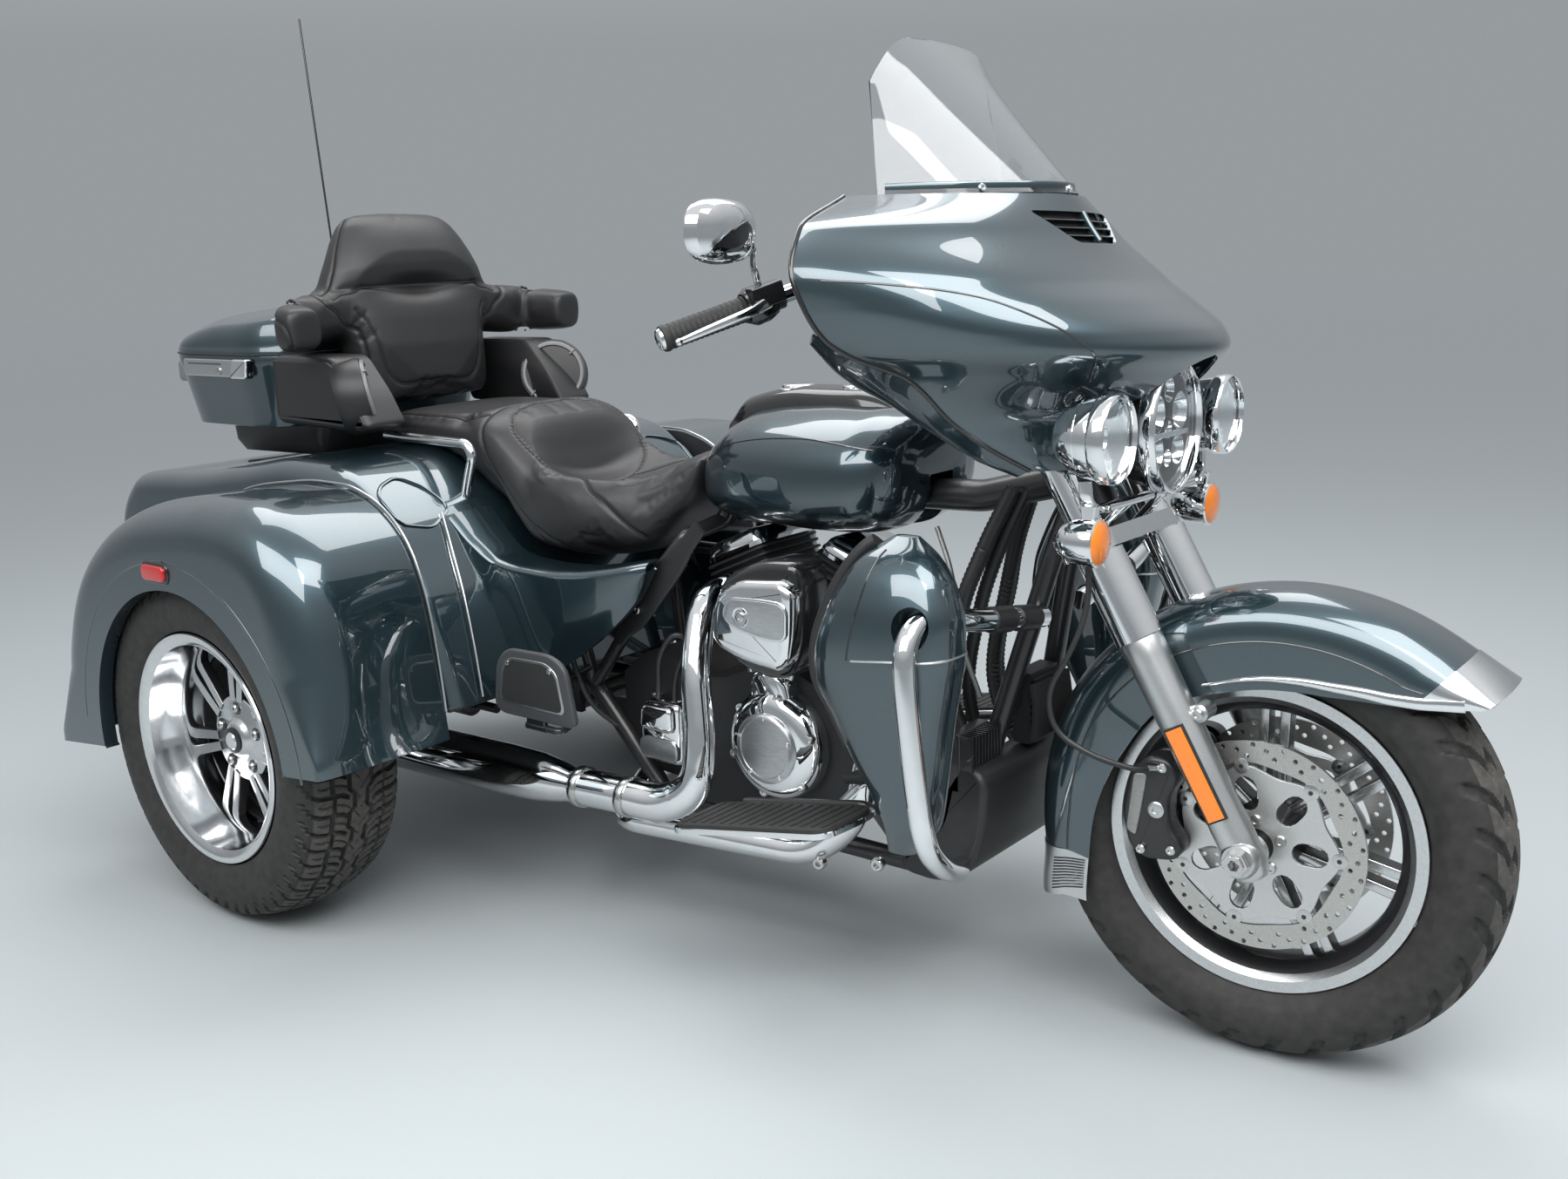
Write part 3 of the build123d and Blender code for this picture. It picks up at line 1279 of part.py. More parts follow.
# Passenger's footboards, folded up, hinged at their lower edge
peg_y = 334.0
peg_hinge_z = 366.0
with BuildPart() as passenger_board:
    with BuildSketch(Plane.XZ.offset(peg_y - 6)):
        with Locations((514, 440)):
            RectangleRounded(206, 124, 44)
    extrude(amount=12)
    with BuildSketch(Plane.YZ.offset(514 - 24)):
        with Locations((-peg_y, peg_hinge_z)):
            Circle(7)
        with Locations((-peg_y, peg_hinge_z + 8)):
            Rectangle(10, 16)
    extrude(amount=48)
save(passenger_board.part, "passenger_board_right")
save(mirror(passenger_board.part, about=Plane.XZ), "passenger_board_left")

with BuildPart() as passenger_bracket:
    add(tube([(436, -rear_rail_spread - 2, 412), (452, -196, 408), (560, -peg_y + 30, peg_hinge_z),
              (572, -peg_y, peg_hinge_z), (514 + 24.6, -peg_y, peg_hinge_z)], 6, 8))
    add(frame.part, mode=Mode.SUBTRACT)
brackets = [*board_bracket.part.solids(), *passenger_bracket.part.solids()]
save(both_sides(Compound(children=brackets)), "board_brackets")
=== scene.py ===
"""Looks of a three-wheeled touring motorcycle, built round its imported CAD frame.

Metres in the row frame: X forward, Y to the rider's left, Z up. Most sizes are written in millimetres from
the rear axle line on the ground, and from_axle() turns them into the row frame.
"""

import json
import math

import bmesh
import bpy
import numpy as np
from mathutils import Matrix, Vector
from mathutils.bvhtree import BVHTree


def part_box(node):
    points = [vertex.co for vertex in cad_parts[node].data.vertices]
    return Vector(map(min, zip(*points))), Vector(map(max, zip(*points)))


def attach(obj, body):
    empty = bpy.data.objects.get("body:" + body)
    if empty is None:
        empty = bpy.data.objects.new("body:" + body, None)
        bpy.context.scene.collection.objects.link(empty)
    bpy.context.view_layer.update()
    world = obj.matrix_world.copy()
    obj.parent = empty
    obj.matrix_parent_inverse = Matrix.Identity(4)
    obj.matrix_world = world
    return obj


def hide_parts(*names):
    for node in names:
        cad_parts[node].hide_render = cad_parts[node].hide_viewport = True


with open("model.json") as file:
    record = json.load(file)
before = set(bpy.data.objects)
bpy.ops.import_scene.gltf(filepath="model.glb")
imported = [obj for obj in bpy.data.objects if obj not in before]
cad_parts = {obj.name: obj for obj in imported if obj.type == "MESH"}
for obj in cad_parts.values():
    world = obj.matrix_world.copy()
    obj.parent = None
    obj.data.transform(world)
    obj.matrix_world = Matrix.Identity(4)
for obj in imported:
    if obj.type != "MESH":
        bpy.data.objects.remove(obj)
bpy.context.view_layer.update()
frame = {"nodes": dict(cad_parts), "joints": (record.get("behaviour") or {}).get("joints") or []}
cad = frame["nodes"]
rear_axle = (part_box("rear_rim_right")[0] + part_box("rear_rim_right")[1]) / 2

# The room: a wide pale floor under a grey sky of light, brighter overhead, as in a studio with soft boxes.
# It's plain, so the machine's paint and plating show it as long quiet bands.


def node(tree, kind, links=(), **values):
    """Adds a shader node, sets its inputs and properties by name, and joins the sockets that links names."""
    made = tree.nodes.new(kind)
    for name, value in values.items():
        if name in made.inputs:
            made.inputs[name].default_value = value
        else:
            setattr(made, name, value)
    for socket, source in links:
        tree.links.new(source, made.inputs[socket])
    return made


world = bpy.data.worlds.new("studio")
bpy.context.scene.world = world
world.use_nodes = True
sky = world.node_tree
direction = node(sky, "ShaderNodeTexCoord").outputs["Generated"]
height = node(sky, "ShaderNodeSeparateXYZ", [("Vector", direction)]).outputs["Z"]
ramp = node(sky, "ShaderNodeValToRGB", [("Fac", height)])
ramp.color_ramp.elements[0].position = 0.12
ramp.color_ramp.elements[0].color = (0.31, 0.33, 0.345, 1)
ramp.color_ramp.elements[1].position = 0.75
ramp.color_ramp.elements[1].color = (0.82, 0.84, 0.86, 1)
sky.links.new(ramp.outputs["Color"], sky.nodes["Background"].inputs["Color"])
sky.nodes["Background"].inputs["Strength"].default_value = 1.0

floor_mesh = bpy.data.meshes.new("floor")
reach = 30.0
floor_mesh.from_pydata([(-reach, -reach, 0), (reach, -reach, 0), (reach, reach, 0), (-reach, reach, 0)], [],
                       [(0, 1, 2, 3)])
floor = bpy.data.objects.new("floor", floor_mesh)
bpy.context.scene.collection.objects.link(floor)
floor_paint = bpy.data.materials.new("floor_paint")
floor_paint.use_nodes = True
floor_paint.node_tree.nodes["Principled BSDF"].inputs["Base Color"].default_value = (0.36, 0.39, 0.40, 1)
floor_paint.node_tree.nodes["Principled BSDF"].inputs["Roughness"].default_value = 0.55
floor_mesh.materials.append(floor_paint)

# Soft boxes: one over the right side, a long one over the left, one above the nose that the screen mirrors
for box_name, place, aim, size, watts in (
    ("key_box", (0.9, -2.7, 3.1), (0.2, 0, 0.5), (4.6, 2.0), 150),
    ("top_box", (-0.8, 0.9, 3.4), (0, 0, 0.5), (3.6, 1.6), 70),
    ("front_box", (2.4, -0.6, 3.3), (2.2, -0.5, 0.0), (2.3, 2.2), 95),
):
    lamp = bpy.data.lights.new(box_name, "AREA")
    lamp.shape = "RECTANGLE"
    lamp.size, lamp.size_y = size
    lamp.energy = watts
    box = bpy.data.objects.new(box_name, lamp)
    box.location = place
    box.rotation_euler = (Vector(aim) - Vector(place)).to_track_quat("-Z", "Y").to_euler()
    bpy.context.scene.collection.objects.link(box)

# The camera stands where the photograph was taken: right of the front wheel, a little above the saddle.
camera_place = Vector((1.7997, -2.0229, 1.1617))
camera_turn = math.radians(38.964)
camera_dip = math.radians(12.748)
camera_roll = math.radians(-1.930)
camera = bpy.data.objects.new("camera", bpy.data.cameras.new("camera"))
bpy.context.scene.collection.objects.link(camera)
bpy.context.scene.camera = camera
back = Vector((math.sin(camera_turn) * math.cos(camera_dip), -math.cos(camera_turn) * math.cos(camera_dip),
               math.sin(camera_dip)))
level = Vector((math.cos(camera_turn), math.sin(camera_turn), 0))
raised = back.cross(level)
across = level * math.cos(camera_roll) + raised * math.sin(camera_roll)
upward = raised * math.cos(camera_roll) - level * math.sin(camera_roll)
camera.matrix_world = Matrix.Translation(camera_place) @ Matrix((across, upward, back)).transposed().to_4x4()
camera.data.sensor_width = 36.0
camera.data.lens = 35.34
camera.data.clip_end = 100
bpy.context.scene.view_settings.view_transform = "Standard"


# The front tyre: a broad round-shouldered touring tyre on a 16 inch wheel, with deep lightning-shaped
# grooves cut from each shoulder towards a plain centre rib. It is moulded rubber, seated on the rim's beads.


def from_axle(points):
    """Row-frame metres of points given in millimetres ahead of the rear axle, to the left, and up."""
    return np.asarray(points, float) * 0.001 + (rear_axle.x, 0, 0)


def mesh_piece(name, points, faces, finish, closed=True):
    """Piece of a mesh: doubled points merged, faces turned outwards where it is closed, shaded smooth."""
    mesh = bpy.data.meshes.new(name)
    mesh.from_pydata(np.asarray(points).reshape(-1, 3).tolist(), [], faces)
    work = bmesh.new()
    work.from_mesh(mesh)
    bmesh.ops.remove_doubles(work, verts=work.verts, dist=2e-6)
    bmesh.ops.dissolve_degenerate(work, edges=work.edges, dist=1e-6)
    if closed:
        bmesh.ops.recalc_face_normals(work, faces=work.faces)
    work.to_mesh(mesh)
    work.free()
    mesh.shade_smooth()
    mesh.set_sharp_from_angle(angle=math.radians(38))
    mesh.materials.append(finish)
    piece = bpy.data.objects.new(name, mesh)
    bpy.context.scene.collection.objects.link(piece)
    return piece


def grid_faces(rows, columns, around, first=0):
    """Squares between neighbours of a grid of points, the last column joined to the first if it closes."""
    r, c = np.meshgrid(np.arange(rows - 1), np.arange(columns if around else columns - 1), indexing="ij")
    a, b = first + r * columns + c, first + r * columns + (c + 1) % columns
    return np.stack([a, b, b + columns, a + columns], -1).reshape(-1, 4).tolist()


def surface(name, grid, finish, around=False, caps=False, closed=True):
    """Piece over a grid (rows, columns, 3) of points. Caps close its first and last rows with flat faces."""
    rows, columns = grid.shape[:2]
    faces = grid_faces(rows, columns, around)
    if caps:
        faces += [list(range(columns)), list(range((rows - 1) * columns, rows * columns))]
    return mesh_piece(name, grid, faces, finish, closed)


def turned(profile, centre, segments=96, axis=(0, 1, 0)):
    """Grid of a profile of (distance along the axis, radius) rows spun about an axis: each point goes to
    centre + along * axis + radius * (cos * side + sin * up)."""
    axis = np.asarray(axis, float) / np.linalg.norm(axis)
    side = np.cross(axis, (0, 0, 1.0)) if abs(axis[2]) < 0.9 else np.cross(axis, (0, 1.0, 0))
    side /= np.linalg.norm(side)
    up = np.cross(side, axis)
    angle = np.linspace(0, 2 * math.pi, segments, endpoint=False)
    along, radius = np.asarray(profile, float).T
    spoke = np.cos(angle)[:, None] * side + np.sin(angle)[:, None] * up
    return np.asarray(centre, float) + along[:, None, None] * axis + radius[:, None, None] * spoke[None]


def join(name, parts, finish=None):
    """One piece made of several meshes' points and faces, each face keeping its own finish."""
    work = bmesh.new()
    finishes = []
    for part in parts:
        for own in part.data.materials:
            if own not in finishes:
                finishes.append(own)
        first = len(work.faces)
        work.from_mesh(part.data)
        work.faces.ensure_lookup_table()
        slots = [finishes.index(own) for own in part.data.materials]
        for face in work.faces[first:]:
            face.material_index = slots[face.material_index]
    mesh = bpy.data.meshes.new(name)
    work.to_mesh(mesh)
    work.free()
    for part in parts:
        old = part.data
        bpy.data.objects.remove(part)
        bpy.data.meshes.remove(old)
    for own in [finish] if finish else finishes:
        mesh.materials.append(own)
    mesh.set_sharp_from_angle(angle=math.radians(38))
    piece = bpy.data.objects.new(name, mesh)
    bpy.context.scene.collection.objects.link(piece)
    return piece


steer_joint = next(j for j in frame["joints"] if j["name"] == "steer")
parked_angle = math.radians(4.3)


def parked(points):
    """Points of a steered piece turned about the steering axis to where the front wheel is parked:
    the part of each point's arm that is square to the axis turns, by Rodrigues' formula."""
    axis = np.array(steer_joint["axis"], float)
    axis /= np.linalg.norm(axis)
    arm = np.asarray(points, float) - steer_joint["pos_m"]
    turn, sink = math.cos(parked_angle), math.sin(parked_angle)
    return (arm * turn + np.cross(axis, arm) * sink + (arm @ axis)[..., None] * axis * (1 - turn)
            + steer_joint["pos_m"])


def grain_group():
    """Node group: a fine noise varies the colour and lifts the surface, a broad one moves the roughness."""
    group = bpy.data.node_groups.new("grain", "ShaderNodeTree")
    for name, kind, value in (
        ("Colour", "NodeSocketColor", (0.5, 0.5, 0.5, 1)), ("Variation", "NodeSocketFloat", 0.1),
        ("Roughness", "NodeSocketFloat", 0.5), ("Spread", "NodeSocketFloat", 0.05),
        ("Scale", "NodeSocketFloat", 300.0), ("Depth", "NodeSocketFloat", 0.1),
        ("Stretch", "NodeSocketVector", (1, 1, 1)),
    ):
        group.interface.new_socket(name, in_out="INPUT", socket_type=kind).default_value = value
    for name, kind in (("Colour", "NodeSocketColor"), ("Roughness", "NodeSocketFloat"),
                       ("Normal", "NodeSocketVector")):
        group.interface.new_socket(name, in_out="OUTPUT", socket_type=kind)
    given = node(group, "NodeGroupInput").outputs
    place = node(group, "ShaderNodeTexCoord").outputs["Object"]
    stretched = node(group, "ShaderNodeVectorMath", [(0, place), (1, given["Stretch"])], operation="MULTIPLY")
    fine = node(group, "ShaderNodeTexNoise", [("Vector", stretched.outputs[0]), ("Scale", given["Scale"])],
                Detail=3.0)
    broad = node(group, "ShaderNodeTexNoise", [("Vector", place)], Scale=9.0, Detail=4.0)
    shade = node(group, "ShaderNodeMapRange", [("Value", fine.outputs["Fac"])])
    shade.inputs["From Min"].default_value, shade.inputs["From Max"].default_value = 0.3, 0.7
    darker = node(group, "ShaderNodeMath", [(1, given["Variation"])], operation="SUBTRACT")
    darker.inputs[0].default_value = 1.0
    lighter = node(group, "ShaderNodeMath", [(1, given["Variation"])], operation="ADD")
    lighter.inputs[0].default_value = 1.0
    group.links.new(darker.outputs[0], shade.inputs["To Min"])
    group.links.new(lighter.outputs[0], shade.inputs["To Max"])
    tinted = node(group, "ShaderNodeVectorMath", [(0, given["Colour"]), ("Scale", shade.outputs[0])],
                  operation="SCALE")
    moved = node(group, "ShaderNodeMath", [(0, broad.outputs["Fac"])], operation="SUBTRACT")
    moved.inputs[1].default_value = 0.5
    rough = node(group, "ShaderNodeMath", [(0, moved.outputs[0]), (1, given["Spread"]),
                                           (2, given["Roughness"])], operation="MULTIPLY_ADD")
    lift = node(group, "ShaderNodeBump", [("Height", fine.outputs["Fac"]), ("Strength", given["Depth"])],
                Distance=0.0006)
    out = node(group, "NodeGroupOutput").inputs
    group.links.new(tinted.outputs[0], out["Colour"])
    group.links.new(rough.outputs[0], out["Roughness"])
    group.links.new(lift.outputs[0], out["Normal"])
    return group


grain = grain_group()


def material(name, colour, metallic=0.0, roughness=0.5, spread=0.1, variation=0.1, scale=300.0, depth=0.1,
             stretch=(1, 1, 1), **sockets):
    """Finish with the grain group on its colour, roughness and normal; other sockets are set by name."""
    made = bpy.data.materials.new(name)
    made.use_nodes = True
    tree = made.node_tree
    shader = tree.nodes["Principled BSDF"]
    speckle = node(tree, "ShaderNodeGroup", node_tree=grain)
    for socket, value in (("Colour", (*colour, 1)), ("Variation", variation), ("Roughness", roughness),
                          ("Spread", spread), ("Scale", scale), ("Depth", depth), ("Stretch", stretch)):
        speckle.inputs[socket].default_value = value
    tree.links.new(speckle.outputs["Colour"], shader.inputs["Base Color"])
    tree.links.new(speckle.outputs["Roughness"], shader.inputs["Roughness"])
    tree.links.new(speckle.outputs["Normal"], shader.inputs["Normal"])
    shader.inputs["Metallic"].default_value = metallic
    for socket, value in sockets.items():
        shader.inputs[socket.replace("_", " ")].default_value = value
    made.diffuse_color = (*colour, 1)
    return made


rubber = material("tyre_rubber", (0.020, 0.019, 0.018), roughness=0.66, spread=0.25, variation=0.35, scale=60,
                  depth=0.25)
worn_rubber = material("worn_tread", (0.062, 0.058, 0.052), roughness=0.75, spread=0.2, variation=0.3,
                       scale=90, depth=0.3)

wheelbase = 1670.0
tyre_radius = 322.0
front_hub = from_axle((wheelbase, 0, tyre_radius))


def tyre_profile(radius, half, bead, bead_half, shoulder, side_count, tread_count):
    """Section points (y, r) from one bead over the tread to the other: the side bulges to the full half
    width midway, as half a sine wave, and the tread is an arc between its shoulders."""
    up = np.linspace(0, 1, side_count)
    bulge = half - (shoulder + bead_half) / 2
    side_y = bead_half + (shoulder - bead_half) * up + bulge * np.sin(math.pi * up) ** 0.8
    side_r = bead + (radius - 17 - bead) * up
    over = np.linspace(1, -1, tread_count + 2)[1:-1]
    tread_r = radius - 17 * np.abs(over) ** 2.3
    return (np.concatenate([side_y, shoulder * over, -side_y[::-1]]),
            np.concatenate([side_r, tread_r, side_r[::-1]]))


def tyre(name, centre, profile, tread_half, groove, segments):
    """Tyre spun from a profile about the Y axis. Its surface is sunk along the profile's normals by
    groove(share across, turn) metres, and the tread's faces that stay on top take the worn rubber."""
    y, r = profile
    turn = np.linspace(0, 2 * math.pi, segments, endpoint=False)
    walk = np.concatenate([[0], np.cumsum(np.hypot(np.diff(y), np.diff(r)))])
    across = (walk - walk[-1] / 2) / tread_half
    sunk = groove(across[:, None], turn[None])
    slope = np.gradient(np.column_stack([y, r]), axis=0)
    slope /= np.linalg.norm(slope, axis=1, keepdims=True)
    wide = y[:, None] * 0.001 - sunk * slope[:, 1:]
    radius = r[:, None] * 0.001 + sunk * slope[:, :1]
    grid = np.stack([radius * np.cos(turn), wide, radius * np.sin(turn)], -1) + centre
    piece = surface(name, np.concatenate([grid, grid[:1]]), rubber, around=True)
    piece.data.materials.append(worn_rubber)
    middles = np.array([polygon.center for polygon in piece.data.polygons]) - centre
    share = np.interp(-middles[:, 1] * 1000, -y[np.abs(across) < 1.0], across[np.abs(across) < 1.0])
    level = np.interp(share, across, r) * 0.001 - np.hypot(middles[:, 0], middles[:, 2])
    worn = (np.abs(share) < 0.94) & (level < 0.0008)
    piece.data.polygons.foreach_set("material_index", worn.astype(np.int32))
    return piece


def front_groove(across, turn):
    """Lightning grooves: in each of 30 pitches a slot runs from shoulder to centre rib, with two kinks, the
    left side half a pitch behind the right. A slot is sunk 6 mm, with soft walls."""
    reach = np.abs(across)
    kink = np.interp(reach, [0.0, 0.3, 0.5, 0.75, 1.3], [0.0, 0.55, 0.25, 0.75, 1.15])
    phase = (turn * 30 / (2 * math.pi) - kink + 0.5 * (across > 0)) % 1.0
    wall = np.clip((0.17 - np.abs(phase - 0.5)) / 0.05, 0, 1)
    length = np.clip((reach - 0.14) / 0.05, 0, 1) * np.clip((1.38 - reach) / 0.10, 0, 1)
    ribs = 0.0006 * (np.abs(reach - 1.6) < 0.02) + 0.0006 * (np.abs(reach - 2.1) < 0.02)
    return 0.0060 * wall * length - ribs


front_profile = tyre_profile(tyre_radius - 0.2, 65.0, 223.5, 43.6, 55.0, 20, 46)
front_tyre = tyre("front_tyre_rubber", np.zeros(3), front_profile, 58.0, front_groove, 720)


def place(piece, centre, steered=False):
    """Moves a piece's points to a centre, and turns them with the parked steering where it is steered."""
    points = np.empty(len(piece.data.vertices) * 3)
    piece.data.vertices.foreach_get("co", points)
    points = points.reshape(-1, 3) + centre
    piece.data.vertices.foreach_set("co", (parked(points) if steered else points).ravel())
    piece.data.update()
    return piece


def parked_piece(piece):
    """Piece drawn straight ahead, turned with the parked steering."""
    return place(piece, np.zeros(3), steered=True)


def fitted(piece, body, cad_node=None):
    """Piece that rides on a body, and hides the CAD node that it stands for."""
    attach(piece, body)
    if cad_node:
        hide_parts(cad_node)


def assembled(name, parts, body, cad_node=None):
    """Parts joined and fitted to a body; those of the steering are turned to where it is parked first."""
    piece = join(name, parts)
    fitted(parked_piece(piece) if body == "steering" else piece, body, cad_node)


place(front_tyre, front_hub, steered=True)
fitted(front_tyre, "front_wheel", "front_tyre")

# The rear tyres: wide car-type tyres with a flat tread, four channels round it and slanting cuts
# from each shoulder. They are moulded rubber on 15 inch wheels.
rear_width = 205.0


def rear_groove(across, turn):
    """Four channels round the tread, the inner pair stepping sideways in 28 zigzags, and between them and out
    over each shoulder 56 slanting cuts that curve back, with a fine sipe between every two."""
    step = 0.05 * np.clip(np.sin(28 * turn) * 3, -1, 1)
    channel = np.zeros(np.broadcast(across, turn).shape)
    for lane, width, wander in ((-0.56, 0.036, 0.3), (-0.19, 0.040, 1), (0.19, 0.040, -1),
                                (0.56, 0.036, -0.3)):
        channel = np.maximum(channel, np.clip((width - np.abs(across - lane - step * wander)) / 0.016, 0, 1))
    reach = np.abs(across)
    lean = 1.5 * reach + 0.35 * np.sin(5 * reach)
    phase = (turn * 56 / (2 * math.pi) - lean + 0.5 * (across > 0)) % 1.0
    cut = np.clip((0.12 - np.abs(phase - 0.5)) / 0.05, 0, 1)
    cut *= np.clip((reach - 0.24) / 0.03, 0, 1) * np.clip((1.26 - reach) / 0.06, 0, 1)
    sipe = np.clip((0.06 - np.abs((phase + 0.5) % 1.0 - 0.5)) / 0.04, 0, 1)
    sipe = sipe * np.clip((0.86 - reach) / 0.03, 0, 1)
    ribs = 0.0007 * (np.abs(reach - 1.42) < 0.02) + 0.0007 * (np.abs(reach - 1.72) < 0.02)
    return 0.0065 * np.maximum(channel, cut) + 0.0025 * sipe * (channel < 0.1) - ribs


rear_profile = tyre_profile(tyre_radius - 0.2, rear_width / 2, 212.5, 91.6, 88.0, 13, 74)
for side, sign in (("right", -1), ("left", 1)):
    centre = from_axle((0, sign * 562.5, tyre_radius))
    piece = tyre(f"rear_tyre_{side}_rubber", centre, rear_profile, 92.0, rear_groove, 840)
    fitted(piece, f"rear_wheel_{side}", f"rear_tyre_{side}")

# The cast wheels: a machined lip and split spokes over black-painted sides, seven pairs to a wheel.
# The rear ones have a deep polished barrel, a lug plate with five bolts and a plain centre cap.
machined = material("machined_alloy", (0.60, 0.61, 0.62), metallic=1.0, roughness=0.24, spread=0.15,
                    variation=0.08, scale=260, depth=0.12, stretch=(1, 12, 1))
polished = material("polished_alloy", (0.72, 0.73, 0.74), metallic=1.0, roughness=0.11, spread=0.12,
                    variation=0.04, scale=90, depth=0.03)
black_cast = material("black_cast", (0.012, 0.012, 0.013), roughness=0.38, spread=0.2, variation=0.3,
                      scale=500, depth=0.25, Coat_Weight=0.25)
steel = material("bright_steel", (0.55, 0.55, 0.54), metallic=1.0, roughness=0.22, spread=0.2, variation=0.1,
                 scale=400, depth=0.1)


def bar(start, end, start_size, end_size, edge, steps=8):
    """Grid of a tapering bar with rounded edges: its section, a superellipse of the given widths along
    two directions square to it, slides from start to end."""
    start, end = np.asarray(start, float), np.asarray(end, float)
    run = (end - start) / np.linalg.norm(end - start)
    flat = np.asarray(edge, float)
    thick = np.cross(run, flat)
    share = np.linspace(0, 1, steps)[:, None, None]
    turn = np.linspace(0, 2 * math.pi, 24, endpoint=False)
    round_x = np.sign(np.cos(turn)) * np.abs(np.cos(turn)) ** 0.22
    round_y = np.sign(np.sin(turn)) * np.abs(np.sin(turn)) ** 0.22
    size = np.asarray(start_size) / 2 * (1 - share) + np.asarray(end_size) / 2 * share
    return (start * (1 - share) + end * share + size[..., :1] * round_x[None, :, None] * thick
            + size[..., 1:] * round_y[None, :, None] * flat)


def beam(name, finish, *given):
    """Closed piece of a bar."""
    return surface(name, bar(*given), finish, around=True, caps=True)


def two_tone(piece, face_finish, axis, limit=0.8):
    """Faces that look along the axis take a machined finish; the sides keep the piece's own."""
    piece.data.materials.append(face_finish)
    normals = np.empty(len(piece.data.polygons) * 3)
    piece.data.polygons.foreach_get("normal", normals)
    facing = np.abs(normals.reshape(-1, 3) @ np.asarray(axis, float)) > limit
    index = np.where(facing, len(piece.data.materials) - 1, 0)
    piece.data.polygons.foreach_set("material_index", index.astype(np.int32))
    return piece


def spokes(name, hub_radius, rim_radius, hub_y, rim_y, hub_gap, rim_gap, wide, deep):
    """Fourteen bars in seven close pairs, running out from a hub and spreading to the rim."""
    bars = []
    for index in range(7):
        angle = math.radians(90 + index * 360 / 7)
        out = np.array([math.cos(angle), 0, math.sin(angle)])
        across = np.array([-math.sin(angle), 0, math.cos(angle)])
        for half in (-1, 1):
            start = out * hub_radius + across * half * hub_gap + (0, hub_y, 0)
            end = out * rim_radius + across * half * rim_gap + (0, rim_y, 0)
            bars.append(beam(f"{name}_{index}", black_cast, start * 0.001, end * 0.001,
                             (wide * 0.001, deep * 0.001), (wide * 0.00115, deep * 0.0008), (0, 1, 0)))
    return two_tone(join(name, bars), machined, (0, 1, 0), 0.55)


def mirrored(points):
    """The same points on the other side of the machine."""
    return np.asarray(points, float) * (1, -1, 1)


def turned_piece(name, profile_mm, centre, finish, segments=96, axis=(0, 1, 0)):
    """Piece spun from a profile in millimetres; a closed profile is a ring of metal."""
    return surface(name, turned(np.asarray(profile_mm) * 0.001, centre, segments, axis), finish, around=True)


origin = np.zeros(3)
front_barrel = [(-48, 206), (-48, 222), (-46.5, 223), (-44, 222), (-43, 205), (-26, 203), (-20, 192),
                (20, 192), (26, 203), (43, 205), (44, 222), (46.5, 223), (48, 222), (48, 206), (40, 197),
                (26, 184), (16, 181), (-16, 181), (-26, 184), (-40, 197), (-48, 206)]
lip = turned_piece("front_lip", front_barrel, origin, black_cast)
middles = np.array([polygon.center for polygon in lip.data.polygons])
lip.data.materials.append(machined)
bright_from = 0.1955
bright = np.hypot(middles[:, 0], middles[:, 2]) > bright_from
lip.data.polygons.foreach_set("material_index", bright.astype(np.int32))
hub = turned_piece("front_hub", [(-65.6, 12.6), (-65.6, 44), (-60, 47), (-30, 44), (-16, 52), (16, 52),
                                 (30, 44), (60, 47), (65.6, 44), (65.6, 12.6), (-65.6, 12.6)], origin,
                   black_cast)
webs = spokes("front_webs", 44, 192, 0, 0, 13, 15, 13.5, 34)
front_wheel = place(join("front_cast_wheel", [lip, hub, webs]), front_hub, steered=True)
fitted(front_wheel, "front_wheel", "front_rim")

rear_barrel = [(-96, 203), (-96, 208.5), (-93, 210), (-92, 208), (-91.5, 193), (-60, 188), (-40, 174),
               (40, 174), (60, 188), (91.5, 193), (92, 208), (96, 208.5), (96, 203), (88, 186), (60, 181),
               (40, 167.5), (0, 166), (-20, 168), (-40, 172), (-60, 181), (-88, 187), (-93, 195), (-96, 203)]
for side, sign in (("right", -1), ("left", 1)):
    outward = np.array([(-1, 1)]) if sign > 0 else np.array([(1, 1)])
    barrel = turned_piece("barrel", np.array(rear_barrel) * outward, origin, polished, 128)
    inner = turned_piece("inner", np.array([(8, 164), (8, 171), (30, 171), (30, 164), (8, 164)]) * outward,
                         origin, black_cast)
    plate = turned_piece("plate", np.array([(0, 0), (-34, 0), (-34, 26), (-29, 33), (-24, 37), (-22, 40),
                                            (-22, 74), (-19, 78), (-6, 79), (20, 66), (28, 40),
                                            (28, 0)]) * outward, origin, machined)
    cap = turned_piece("cap", np.array([(-28, 0), (-40, 0), (-40, 17), (-37, 24), (-28, 25)]) * outward,
                       origin, black_cast, 48)
    badge = turned_piece("badge", np.array([(-39, 0), (-42, 0), (-42, 14), (-40, 16), (-39, 16)]) * outward,
                         origin, polished, 48)
    well = np.array([(-21, 12), (-21, 9), (-22.6, 9), (-22.6, 12), (-21, 12)]) * outward
    nut = np.array([(-21, 8.2), (-27, 8.2), (-29, 6.5), (-29, 3), (-25, 2.6), (-25, 0)]) * outward
    lugs = []
    for index in range(5):
        angle = math.radians(90 + index * 72)
        seat = np.array([math.cos(angle), 0, math.sin(angle)]) * 0.057
        lugs += [turned_piece("lug_well", well, seat, black_cast, 32),
                 turned_piece("lug", nut, seat, steel, 24)]
    webs = spokes("rear_webs", 70, 172, sign * 12.0, sign * 7.0, 10, 17, 17, 22)
    wheel = place(join(f"rear_cast_wheel_{side}", [barrel, inner, plate, cap, badge, webs, *lugs]),
                  from_axle((0, sign * 562.5, tyre_radius)))
    fitted(wheel, f"rear_wheel_{side}", f"rear_rim_{side}")

